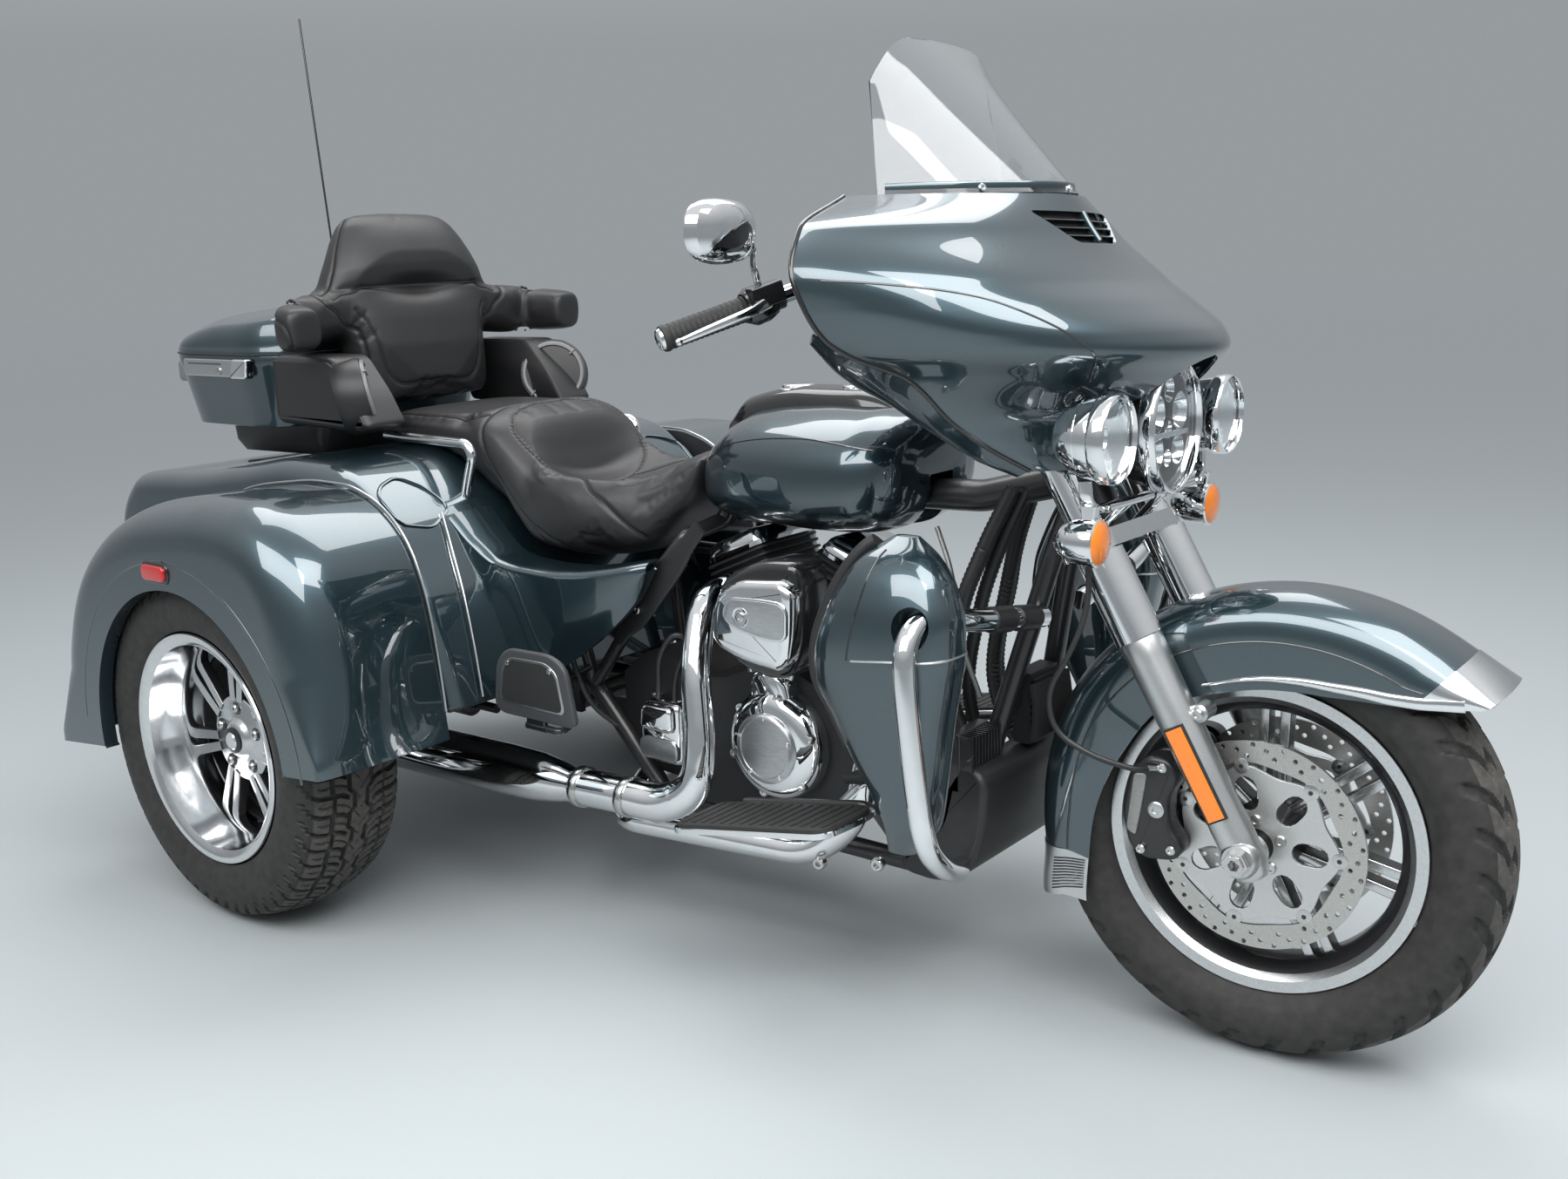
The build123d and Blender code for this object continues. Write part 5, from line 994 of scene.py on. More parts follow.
def fairing_skin(z, reach):
    """Point of the right half's skin at a height and a share (0 at the nose, 1 at the side edge) of the
    section (x' / length)^n + (y / half)^n = 1; round the headlamp the section starts at its opening."""
    nose, edge, half, power = table(fairing_table, z)
    opening = np.where(z > 890, np.sqrt(np.clip(98.5**2 - (z - 890) ** 2, 0, None)), 98.5)
    start = np.arcsin(np.clip(opening / half, 0, 1) ** (power / 2))
    turn = start + reach * (math.pi / 2 - start)
    x = edge + (nose - edge) * np.cos(turn) ** (2 / power)
    return np.stack(np.broadcast_arrays(x, half * np.sin(turn) ** (2 / power), z), -1)


def fairing_at(y, z):
    """Point of the fairing's skin at a distance from the middle and a height."""
    nose, edge, half, power = table(fairing_table, z)
    x = edge + (nose - edge) * np.clip(1 - (np.abs(y) / half) ** power, 0, 1) ** (1 / power)
    return np.stack(np.broadcast_arrays(x, y, z), -1)


def finished(piece):
    """Piece with its modifiers worked into the mesh."""
    bpy.context.view_layer.update()
    old = piece.data
    piece.data = bpy.data.meshes.new_from_object(piece.evaluated_get(bpy.context.evaluated_depsgraph_get()))
    piece.modifiers.clear()
    bpy.data.meshes.remove(old)
    piece.data.name = piece.name
    return piece


def thickened(piece, thickness, outward, even=True):
    """Open sheet made solid on the side away from outward."""
    work = bmesh.new()
    work.from_mesh(piece.data)
    bmesh.ops.recalc_face_normals(work, faces=work.faces)
    if sum(face.normal.dot(Vector(outward)) * face.calc_area() for face in work.faces) < 0:
        bmesh.ops.reverse_faces(work, faces=work.faces)
    work.to_mesh(piece.data)
    work.free()
    skin = piece.modifiers.new("skin", "SOLIDIFY")
    skin.thickness, skin.offset, skin.use_even_offset = thickness, -1, even
    return finished(piece)


def carved(piece, tool):
    """Piece with another piece's solid cut out of it."""
    knife = piece.modifiers.new("knife", "BOOLEAN")
    knife.operation, knife.solver, knife.object = "DIFFERENCE", "EXACT", tool
    finished(piece)
    bpy.data.objects.remove(tool)
    return piece


def along(points, count):
    """Evenly spaced points of a smooth curve through given ones: a monotone cubic over the chord length."""
    points = np.asarray(points, float)
    walk = np.concatenate([[0], np.cumsum(np.linalg.norm(np.diff(points, axis=0), axis=1))])
    at = np.linspace(0, walk[-1], count)
    return np.stack([smooth_between(at, walk, points[:, axis]) for axis in range(points.shape[1])], -1)


levels = np.concatenate([np.linspace(838, 988.4, 48), np.linspace(990, 1212, 72)])
across = np.linspace(0, 1, 64)
half = fairing_skin(levels[:, None], across[None]) * (1, -1, 1)
both = np.concatenate([half, mirrored(half)])
faces = grid_faces(len(levels), len(across), False)
faces += grid_faces(len(levels), len(across), False, half[..., 0].size)
fairing = mesh_piece("fairing", from_axle(both), faces, paint, closed=False)
fairing = thickened(fairing, 0.0042, (1, 0, 0.1))
slot_outline = [(-128, 1188), (128, 1188), (66, 1144), (-66, 1144)]
tool = moulded("slot", rounded(np.array(slot_outline) * 0.001, 0.012), [(-0.06, 0), (0.1, 0)],
               from_axle((wheelbase - 300, 0, 0)), (0, 1, 0), (0, 0, 1), black_plastic)
fairing = carved(fairing, tool)
fairing.data.set_sharp_from_angle(angle=math.radians(38))
trims = []
y, z = np.linspace(-140, 140, 60)[None], np.linspace(1136, 1196, 20)[:, None]
trims.append(shell("slot_bed", lifted(from_axle(fairing_at(y, z)), 0.012), 0.002, black_plastic))
for z in (1155, 1166, 1177):
    y = np.linspace(-120, 120, 40) * np.interp(z, (1144, 1188), (0.56, 1.0))
    trims.append(rod("slat", gloss_black, from_axle(fairing_at(y, z) - (6, 0, 0)), 0.005, 0.0012,
                     (1, 0, -0.3), 3))
z = np.linspace(1146, 1187, 8)
trims.append(rod("divider", paint, from_axle(fairing_at(np.zeros(8), z) - (3, 0, 0)), 0.004, 0.006, (0, 1, 0),
                 3))
for side in (-1, 1):
    y = np.linspace(196, 427, 60)
    line = fairing_at(side * y, smooth_between(y, (190, 240, 330, 430), (956, 1010, 1074, 1097)))
    trims.append(rod("line", stripe, from_axle(line), 0.0015, 0.0015, (0, 0, 1), 2, 8))
    edge = fairing_skin(np.linspace(839, 1211, 80), np.full(80, 1.0)) * (1, side, 1)
    trims.append(rod("edge_bead", gloss_black, from_axle(edge), 0.0036, 0.0036, (1, 0, 0), 2, 12))
    # Points along the outer skin's rear edge, and along the free edge of the inner moulding behind it
    outer_line = [(1176, 410, 1030), (1205, 386, 1000), (1264, 337, 968), (1307, 281, 905), (1339, 237, 870),
                  (1375, 192, 840)]
    free_line = [(1122, 344, 1026), (1146, 300, 966), (1206, 272, 928), (1262, 250, 896), (1310, 226, 864),
                 (1352, 190, 846)]
    outer_line, free_line = (along(np.array(points) * (1, side, 1), 50) for points in (outer_line, free_line))
    share = np.linspace(0, 1, 12)[:, None, None]
    inner = outer_line + (free_line - outer_line) * share + np.array([-10, 0, -14]) * np.sin(math.pi * share)
    inner = from_axle(inner if side < 0 else inner[::-1])
    trims.append(shell("inner_fairing", inner, 0.003, paint))
assembled("fairing_trim", trims, "steering")
fitted(parked_piece(fairing), "steering", "fairing_shell")

# The windscreen: one bent clear sheet with rounded top corners, clamped at its foot by a strip in body paint
# and three plated screws.
screen_base, screen_top = 1212.6, 1435.0
foot, crest = (532, 332, 200), (566, 540, 178)


def screen_at(share, reach):
    """Point of the sheet: its edges and middle run straight up from foot to crest, the plan between them is a
    parabola, and the top corners fall away with the sixth power of the reach."""
    top = screen_top - 66 * np.abs(reach) ** 6
    z = screen_base + share * (top - screen_base)
    h = (z - screen_base) / (screen_top - screen_base)
    edge, front, half = (low + (high - low) * h for low, high in zip(foot, crest))
    half = half - 26 * np.clip(h - 0.7, 0, 1) ** 2 / 0.09 * np.abs(reach) ** 4
    return np.stack(np.broadcast_arrays(wheelbase - edge + (edge - front) * (1 - reach**2), half * reach, z),
                    -1)


share, reach = np.linspace(0, 1, 40)[:, None], np.linspace(-1, 1, 64)[None]
screen = parked_piece(shell("windscreen", from_axle(screen_at(share, reach)), 0.0042, glass))
fitted(screen, "steering", "windshield")
foot_line = from_axle(screen_at(np.full(60, 0.035), np.linspace(-0.98, 0.98, 60)) + (2, 0, 0))
strip = [rod("strip", paint, foot_line, 0.0105, 0.0032, (0, 0, 1), 3.2)]
for reach in (-0.62, 0.0, 0.62):
    seat = from_axle(screen_at(0.035, np.array(reach)) + (4, 0, 0))
    strip.append(bolt("screw", seat, (1, reach * 0.9, 0.25), 0.0062, 0.005, chrome, 24))
assembled("screen_strip", strip, "steering")

# The dash: a black moulding that closes the back of the fairing, with two large dials, two small ones, a
# dark display and a round speaker grille at each end.
dial_face = material("dial_face", (0.012, 0.013, 0.015), roughness=0.4, variation=0.15, scale=900, depth=0.1)
dial_mark = material("dial_mark", (0.75, 0.76, 0.74), roughness=0.5, variation=0.05, scale=300, depth=0.02)
needle_red = material("needle", (0.65, 0.02, 0.01), roughness=0.35, variation=0.05, scale=300, depth=0.02)
face_down = np.array([0.294, 0, -0.956])
face_out = np.array([-0.956, 0, -0.294])
clocks = []
for y, z, radius, marks in ((-64, 1128, 45, 11), (64, 1128, 45, 9), (-158, 1098, 27, 7), (158, 1098, 27, 7)):
    at = from_axle((wheelbase - 484 - 44 * (z - 1020) / 143, y, z)) + face_out * 0.001
    clocks.append(turned_piece("bezel", [(-2, radius - 4), (-2, radius), (4, radius), (6, radius - 1.5),
                                         (6, radius - 3), (2, radius - 5), (-2, radius - 4)], at, chrome, 64,
                               face_out))
    clocks.append(turned_piece("dial", [(-1, 0), (-1, radius - 4), (1.5, radius - 4), (1.5, 0)], at,
                               dial_face, 48, face_out))
    for index in range(marks):
        angle = math.radians(-135 + 270 * index / (marks - 1))
        arm = math.sin(angle) * np.array([0, -1.0, 0]) - math.cos(angle) * face_down
        clocks.append(beam("mark", dial_mark, at + face_out * 0.002 + arm * radius * 0.00070,
                           at + face_out * 0.002 + arm * radius * 0.00086, (0.0006, 0.0014), (0.0006, 0.0014),
                           np.cross(arm, face_out), 2))
    arm = math.sin(-2.0) * np.array([0, -1.0, 0]) - math.cos(-2.0) * face_down
    clocks.append(beam("needle", needle_red, at + face_out * 0.003,
                       at + face_out * 0.003 + arm * radius * 0.00072, (0.0008, 0.002), (0.0006, 0.0008),
                       np.cross(arm, face_out), 2))
screen_outline = rounded(np.array([(-0.075, -0.042), (0.075, -0.042), (0.075, 0.042), (-0.075, 0.042)]),
                         0.008)
clocks.append(moulded("display", screen_outline, round_edge(-0.002, 0.004, 0.002),
                      from_axle((wheelbase - 488, 0, 1040)), (0, -1, 0), tuple(-face_down), gloss_black))
for side in (-1, 1):
    at = from_axle((wheelbase - 492, side * 232, 1052)) + face_out * 0.002
    clocks.append(turned_piece("grille_ring", [(-6, 56), (-6, 62), (2, 62), (5, 59), (2, 56), (-6, 56)], at,
                               black_plastic, 64, face_out))
    clocks.append(turned_piece("grille", [(-6, 0), (-6, 56), (0, 56), (3, 30), (4, 0)], at, mesh_metal, 48,
                               face_out))
assembled("dash_clocks", clocks, "steering")

# The bars: one plated tube swept back to ribbed rubber grips, with black switch housings, polished levers,
# and oval mirrors in plated shells on bent stalks.
bar_end, bar_elbow = np.array([wheelbase - 720, 447, 1023.0]), np.array([wheelbase - 596, 250, 1096.0])
grip_way = (bar_elbow - bar_end) / np.linalg.norm(bar_elbow - bar_end)
grip_rubber = material("grip_rubber", (0.018, 0.018, 0.018), roughness=0.62, variation=0.3, scale=1400,
                       depth=0.5)
grips, controls, mirrors = [], [], []
for side in (-1, 1):
    flip = np.array([1, side, 1])
    way, end = grip_way * flip, bar_end * flip
    rib = [(-6, 12.6), (-6, 16), (-5, 18), (0, 19), (4, 17.6)]
    for index in range(14):
        rib += [(6 + index * 8, 16.6), (8 + index * 8, 17.8), (11.6 + index * 8, 17.8),
                (13.4 + index * 8, 16.6)]
    rib += [(119, 19), (122, 18.4), (122, 13.2), (-6, 12.6)]
    grips.append(turned_piece("grip", rib, from_axle(end), grip_rubber, 36, way))
    grips.append(turned_piece("end_cap", [(-12, 0), (-12, 9), (-10, 14), (-6.2, 15.6), (-6.2, 0)],
                              from_axle(end), chrome, 32, way))
    out = np.cross(way, (0, 0, 1.0)) * -side
    out /= np.linalg.norm(out)
    lift = np.cross(out, way) * side
    lift = lift if lift[2] > 0 else -lift
    out = out if out[0] > 0 else -out
    housing = [end + way * reach for reach in (123, 132, 150, 166)]
    controls.append(rod("housing", gloss_black, from_axle(housing), np.array([19, 24, 24, 19]) * 0.001,
                        np.array([21, 27, 27, 21]) * 0.001, out, 3.2, 28))
    tank_at = end + way * 150 + out * 26 + lift * 12
    controls.append(beam("reservoir", gloss_black, from_axle(tank_at - way * 24),
                         from_axle(tank_at + way * 22), (0.026, 0.030), (0.026, 0.030), lift))
    controls.append(turned_piece("clamp", [(168, 13), (168, 18), (180, 18), (180, 13), (168, 13)],
                                 from_axle(end), gloss_black, 28, way))
    lever = [end + way * 148 + out * 30 + lift * 2, end + way * 118 + out * 48,
             end + way * 60 + out * 50 - lift * 2, end + way * 4 + out * 40 - lift * 6]
    route = bent(from_axle(lever), 0.03)
    wide = np.interp(np.linspace(0, 1, len(route)), (0, 0.15, 0.6, 0.95, 1), (9, 7.5, 6.4, 5.4, 4.0)) * 0.001
    controls.append(rod("lever", polished, route, wide, wide * 0.6, lift, 2.4))
    knob = from_axle(lever[-1])
    controls.append(turned_piece("lever_end", [(-5, 0), (-4, 4), (0, 6), (4, 4), (5, 0)], knob, polished, 20,
                                 way))
    head = np.array([wheelbase - 624, side * 438, 1162.0])
    stalk = [end + way * 152 + lift * 18, end + way * 152 + lift * 52 + out * 4,
             head + (10, -side * 52, -20), head + (8, -side * 30, -4)]
    mirrors.append(pipe("stalk", from_axle(stalk), 0.0052, chrome, 0.03, segments=16))
    turn = np.linspace(0, 2 * math.pi, 48, endpoint=False)
    loop = np.column_stack([70 * np.sign(np.cos(turn)) * np.abs(np.cos(turn)) ** 0.8,
                            43 * np.sign(np.sin(turn)) * np.abs(np.sin(turn)) ** 0.8])
    rows = [head + np.column_stack([np.full(48, x), loop * scale])
            for x, scale in ((-13, 0.90), (-14, 0.97), (-12, 1.0), (-6, 1.0), (6, 0.93), (14, 0.72),
                             (18, 0.40), (19.5, 0.02))]
    mirrors.append(surface("mirror_shell", from_axle(np.array(rows)), chrome, around=True, caps=True))
    rows = [head + np.column_stack([np.full(48, x), loop * scale])
            for x, scale in ((-12, 0.9), (-14.2, 0.9), (-14.6, 0.86), (-14.8, 0.02))]
    mirrors.append(surface("mirror_glass", from_axle(np.array(rows)), mirror, around=True, caps=True))
for piece_name, parts, node_name, slot_name in (("grip_pair", grips, "grips", "rubber"),
                                                ("hand_control_pair", controls, "hand_controls",
                                                 "black_metal"),
                                                ("mirror_pair", mirrors, "mirrors", "mirror_shell")):
    assembled(piece_name, parts, "steering", node_name)

# The tank: a pressed teardrop astride the backbone, with a dark pinstripe and a bare plated badge on each
# side. A black console with a plated filler cap and a dial runs along its top.
# Section at x: half width, height of the widest point, underside, top
tank_table = ((668, 46, 770, 726, 790), (700, 86, 772, 712, 838), (750, 120, 778, 706, 872),
              (800, 141, 784, 704, 892), (880, 160, 790, 702, 903), (960, 169, 794, 702, 906),
              (1040, 166, 800, 706, 903), (1080, 152, 806, 716, 894), (1110, 118, 814, 744, 872),
              (1122, 70, 816, 778, 846))


def tank_at(x, turn):
    """Point of the tank at a station: over the widest height the section is a superellipse of power 2.3, and
    under it one of power 3; turn runs from -180 to 180 degrees, 0 at the top."""
    half, waist, low, high = table(tank_table, x)
    c, s = np.cos(np.radians(turn)), np.sin(np.radians(turn))
    power = np.where(c > 0, 2.3, 3.0)
    size = (np.abs(c) ** power + np.abs(s) ** power) ** (-1 / power)
    z = waist + np.where(c > 0, high - waist, waist - low) * c * size
    return np.stack(np.broadcast_arrays(x, half * s * size, z), -1)


stations = np.concatenate([[668.0], 668 + 454 * (1 - np.cos(np.linspace(0.12, math.pi - 0.12, 70))) / 2,
                           [1122.0]])
turns = np.linspace(-180, 180, 121)[:-1]
body = surface("tank_skin", from_axle(tank_at(stations[:, None], turns[None])), paint, around=True, caps=True)
tunnel = side_block("tunnel", [(600, 640), (1200, 640), (1200, 800), (600, 800)], 12, -32, 32, 2, paint, -1)
tank_body = carved(body, tunnel)
tank_body.data.set_sharp_from_angle(angle=math.radians(38))
tank_trim = []
for side in (-1, 1):
    x = np.linspace(720, 1086, 70)
    line = tank_at(x, side * smooth_between(x, (720, 800, 950, 1086), (66, 58, 55, 62)))
    tank_trim.append(rod("line", stripe, from_axle(line), 0.0014, 0.0014, (0, 0, 1), 2, 8))
    x = np.linspace(860, 1040, 24)
    plate = np.array([from_axle(tank_at(x, side * (88 + tilt))) for tilt in np.linspace(-7.5, 7.5, 8)])
    badge = shell("badge", lifted(plate if side < 0 else plate[::-1], -0.002), 0.004, chrome)
    tank_trim.append(badge)
fitted(tank_body, "chassis", "fuel_tank")
assembled("tank_trim", tank_trim, "chassis")
top_x = np.linspace(706, 1078, 60)
ridge_line = (706, 760, 880, 980, 1078), (862, 905, 925, 924, 892)
top_half = smooth_between(top_x, (706, 760, 880, 1000, 1078), (20, 40, 47, 42, 14))
ridge = smooth_between(top_x, *ridge_line)
share = np.linspace(-1, 1, 33)[None]
lean = np.degrees(np.arcsin(np.clip(top_half[:, None] * share / 170, -1, 1)))
edge_z = tank_at(top_x[:, None], lean)[..., 2]
crown = np.stack(np.broadcast_arrays(top_x[:, None], top_half[:, None] * share,
                                     edge_z - 3 + (ridge[:, None] - edge_z + 3)
                                     * (1 - np.abs(share) ** 4) ** 0.6), -1)
console = [shell("console_skin", from_axle(crown)[::-1], 0.004, gloss_black)]
for x, radius in ((842, 31), (962, 27)):
    at = from_axle((x, 0, float(smooth_between(x, *ridge_line)) - 3))
    profile = [(-2, 0), (-2, radius + 4), (3, radius + 4), (5, radius + 1), (5, radius - 2), (9, radius - 3),
               (11, radius - 6), (11, 6), (9.5, 0)]
    console.append(turned_piece("cap", profile, at, chrome, 64, (0, 0, 1)))
assembled("console_parts", console, "chassis", "tank_console")

# The rear body: one wide moulding in body paint that steps up from the tail to a rounded deck and falls to
# the seat, its top edges rolled. The rear fenders are bolted on outside it along a silver-edged seam.
body_curve = ((-652, 400), (-651, 500), (-646, 610), (-632, 662), (-604, 705), (-552, 742), (-470, 752),
              (-369, 758), (-180, 782), (-18, 803), (60, 801), (120, 792), (190, 756), (249, 706), (300, 632),
              (333, 578), (372, 480), (399, 398))


def spaced_curve(curve, count):
    """Evenly spaced points of a side-view curve, and at each the direction square to it, into the body."""
    curve = along(curve, count)
    tangent = np.gradient(curve, axis=0)
    tangent /= np.linalg.norm(tangent, axis=1, keepdims=True)
    return curve, np.column_stack([tangent[:, 1], -tangent[:, 0]])


def sunk_row(curve, inward, deep, out):
    """Row of points at a distance off the middle, sunk below a side-view curve."""
    sunk = curve + inward * np.reshape(deep, (-1, 1))
    return np.column_stack([sunk[:, 0], np.full(len(curve), out), sunk[:, 1]])


# The deck's edge rolls under in a quarter circle: a point moves out by sin and in by 1 - cos
deck, inward = spaced_curve(body_curve, 110)
body_half, roll = 430, 44
half_rows = [sunk_row(deck, inward, 0.0, 0)] + [
    sunk_row(deck, inward, roll * (1 - math.cos(a)), body_half - roll + roll * math.sin(a))
    for a in np.linspace(0, math.pi / 2, 10)]
side_rows = []
last = half_rows[-1]
for share in (0.33, 0.66, 1.0):
    row = last.copy()
    row[:, 0] = last[:, 0] + (np.clip(last[:, 0], -590, 330) - last[:, 0]) * share
    row[:, 2] = last[:, 2] + (400 - last[:, 2]) * share
    side_rows.append(row)
left_half = np.concatenate([half_rows, side_rows])
right_half = mirrored(left_half)[::-1]
grid = np.concatenate([right_half[:-1], left_half])
rear_body = mesh_piece("rear_body_skin", from_axle(grid), grid_faces(grid.shape[0], grid.shape[1], False),
                       paint, closed=False)
rear_body = thickened(rear_body, 0.0045, (0, 0, 1))


def end_block(name, corners_mm, corner_mm, levels, finish, steps=6):
    """Moulded block seen from behind: an outline of (y, z) millimetres with rounded corners, and levels of
    (metres ahead of the rear axle, amount drawn in)."""
    loop = rounded(np.asarray(corners_mm) * 0.001, corner_mm * 0.001, steps)
    return moulded(name, loop, levels, from_axle((0, 0, 0)), (0, 1, 0), (0, 0, 1), finish)


door_hole = end_block("door_hole", [(-301, 421), (301, 421), (301, 601), (-301, 601)], 18,
                      [(-0.74, 0), (-0.56, 0)], paint)
rear_body = carved(rear_body, door_hole)
rear_body.data.set_sharp_from_angle(angle=math.radians(38))
floor_pan = side_block("pan", [(-646, 394), (396, 394), (396, 400), (-646, 400)], 1, -424, 424, 1,
                       black_plastic, -1)
body_parts = [rear_body, floor_pan]
for side in (-1, 1):
    hexagon = np.array([(205, 392), (180, 366), (166, 322), (198, 290), (244, 268), (264, 322),
                        (252, 388)]) * (1, side)
    panel = rounded(hexagon, 16, 6)
    panel = along(np.column_stack([np.concatenate([panel, panel[:2]]), np.zeros(len(panel) + 2)]), 120)
    panel[:, 2] = table(body_curve, panel[:, 0])[0] + 1.0
    body_parts.append(rod("panel_bead", paint, from_axle(panel), 0.0042, 0.0020, (1, 0.3, 0), 2, 10))
assembled("rear_body_parts", body_parts, "chassis", "rear_body")
rear_hinge = []
for start, end in ((-210, -151), (151, 210)):
    rear_hinge.append(turned_piece("knuckle", [(start, 0), (start, 5), (end, 5), (end, 0)],
                                   from_axle((-656, 0, 424)), steel, 24, (0, 1, 0)))
assembled("door_knuckles", rear_hinge, "chassis")

# The rear fenders: deep mouldings in body paint over each wheel, their crowns rolled down outwards, open
# below, with a flange and a pressed crease round the wheel arch, a red marker lamp and a black inner well.
fender_curve = ((-458, 268), (-452, 360), (-440, 440), (-412, 520), (-368, 596), (-306, 660), (-220, 713),
                (-110, 750), (0, 766), (90, 774), (165, 773), (232, 758), (288, 728), (330, 684), (358, 626),
                (376, 556), (388, 470), (399, 349))
red = material("red_lens", (0.45, 0.006, 0.006), roughness=0.14, spread=0.1, variation=0.1, scale=900,
               depth=0.5, Coat_Weight=1.0)
arch_x, arch_z, arch_radius = 0.0, 322.0, 296.0
fender_in, fender_out = 431.0, 689.0


def fender_foot(x):
    """Height of the fender's lower edge, which rises evenly towards the front."""
    return np.interp(x, (-458, 399), (268, 349))


def fender_shell():
    """Crown of the fender, flat for 160 mm, and its outer edge rolled under: a point of the roll moves out by
    sin^0.96 and sinks by 1 - cos^0.9. Both fade towards the lower edge."""
    curve, inward = spaced_curve(fender_curve, 140)
    soft = np.clip((curve[:, 1] - fender_foot(curve[:, 0])) / 160, 0.16, 1)
    crown = [sunk_row(curve, inward, 5 * (1 - share) ** 2 * soft, fender_in + 160 * share)
             for share in np.linspace(0, 1, 9)]
    drop, out = 86 * soft, fender_out - fender_in - 160
    return np.array(crown + [
        sunk_row(curve, inward, drop * (1 - math.cos(a) ** 0.9), fender_in + 160 + out * math.sin(a) ** 0.96)
        for a in np.linspace(0.12, math.pi / 2, 16)])


rear_fender_pieces, marker_parts = [], []
rows = fender_shell()
outer = rows[-1]
for side in (-1, 1):
    goal_angle = np.linspace(math.radians(192), math.radians(-9), len(outer))
    goal = np.column_stack([arch_x + arch_radius * np.cos(goal_angle), np.full(len(outer), fender_out),
                            arch_z + arch_radius * np.sin(goal_angle)])
    goal[:, 2] = np.maximum(goal[:, 2], fender_foot(goal[:, 0]))
    panel = [outer + (goal - outer) * share for share in np.linspace(0, 1, 14)[1:]]
    flange = goal.copy()
    flange[:, 0] = arch_x + (goal[:, 0] - arch_x) * 0.985
    flange[:, 2] = arch_z + (goal[:, 2] - arch_z) * 0.985
    flange_in = flange.copy()
    flange_in[:, 1] -= 26
    grid = np.concatenate([rows, panel, [flange], [flange_in]]) * (1, side, 1)
    piece = mesh_piece("fender", from_axle(grid), grid_faces(grid.shape[0], grid.shape[1], False), paint,
                       closed=False)
    rear_fender_pieces.append(thickened(piece, 0.004, (0, side * 0.4, 1), even=False))
    inner = along(fender_curve, 80)
    wall = np.array([np.column_stack([inner[:, 0] * s, np.full(80, side * 433.0),
                                      300 + (inner[:, 1] - 300) * s]) for s in np.linspace(0.99, 0.30, 10)])
    rear_fender_pieces.append(shell("well", from_axle(wall if side < 0 else wall[::-1]), 0.003,
                                    black_plastic))
    for shift, low, high, finish in ((0, 686, 697, red), (6, 680, 692, gloss_black)):
        lens = [(-64 - shift, 630 - shift), (6 + shift, 630 - shift), (6 + shift, 657 + shift),
                (-64 - shift, 657 + shift)]
        marker_parts.append(side_block("marker", lens, 11 + shift, low, high, 2.5, finish, side))
    turn = np.radians(np.linspace(2, 178, 90))
    crease = np.column_stack([arch_x + 342 * np.cos(turn), np.full(90, side * (fender_out - 0.5)),
                              arch_z + 342 * np.sin(turn)])
    marker_parts.append(rod("crease", paint, from_axle(crease), 0.0028, 0.0016, (1, 0, 0.01), 2, 10))
    seam = along(fender_curve, 120)[4:-4]
    line = np.column_stack([seam[:, 0], np.full(len(seam), side * 430.6), seam[:, 1] + 0.5])
    marker_parts.append(rod("seam", satin, from_axle(line), 0.0022, 0.0022, (0, 1, 0), 2, 8))
assembled("rear_fender_pair", rear_fender_pieces, "chassis", "rear_fenders")
assembled("side_markers", marker_parts, "chassis")

# The trunk door and tail lamps: a pressed door in body paint with a recessed handle and a bare plate
# holder, hinged along its foot, between two rounded red lamps with clear reversing windows.
door_outline = rounded(np.array([(-296, 426), (296, 426), (296, 596), (-296, 596)]) * 0.001, 0.016, 8)
door = moulded("door", door_outline, [(-0.636, 0), (-0.650, 0), (-0.6525, 0.0008), (-0.6538, 0.003),
                                      (-0.654, 0.006)][::-1], from_axle((0, 0, 0)), (0, 1, 0), (0, 0, 1),
               paint)
handle = end_block("handle", [(-60, 556), (60, 556), (60, 580), (-60, 580)], 9,
                   [(-0.6635, 0.003), (-0.6620, 0.0008), (-0.652, 0)], chrome)
holder = end_block("holder", [(-92, 436), (92, 436), (92, 544), (-92, 544)], 8,
                   [(-0.6605, 0.003), (-0.6590, 0.0008), (-0.652, 0)], black_plastic)
pin = turned_piece("pin", [(-150, 0), (-150, 5), (150, 5), (150, 0)], from_axle((-656, 0, 424)), steel, 24,
                   (0, 1, 0))
assembled("trunk_door_parts", [door, handle, holder, pin], "trunk_hatch", "trunk_door")
tails = []
for side in (-1, 1):
    lamp_loop = rounded(np.array([(328, 466), (420, 466), (420, 594), (328, 594)]) * (side, 1) * 0.001, 0.034,
                        8)
    bezel = [(-0.6745, 0.004), (-0.673, 0.0005), (-0.6503, 0)]
    tails.append(moulded("bezel", lamp_loop, bezel, from_axle((0, 0, 0)), (0, 1, 0), (0, 0, 1), chrome))
    for low, high, finish in ((514, 586, red), (474, 506, glass)):
        window = rounded(np.array([(336, low), (412, low), (412, high), (336, high)]) * (side, 1) * 0.001,
                         0.014, 6)
        tails.append(moulded("lens", window, [(-0.6795, 0.010), (-0.678, 0.004), (-0.674, 0), (-0.672, 0)],
                             from_axle((0, 0, 0)), (0, 1, 0), (0, 0, 1), finish))
assembled("tail_lamp_pair", tails, "chassis", "tail_lamps")

# The seat: foam under black leather in two cushions, the passenger's raised behind a deep round bolster and
# the rider's dished between side rolls. Panels are sewn with a double-turned seam that draws the cover in.
leather = material("seat_leather", (0.014, 0.014, 0.015), roughness=0.40, spread=0.12, variation=0.22,
                   scale=1500, depth=0.34)
thread = material("seam_thread", (0.010, 0.010, 0.010), roughness=0.6, variation=0.3, scale=3000, depth=0.4)


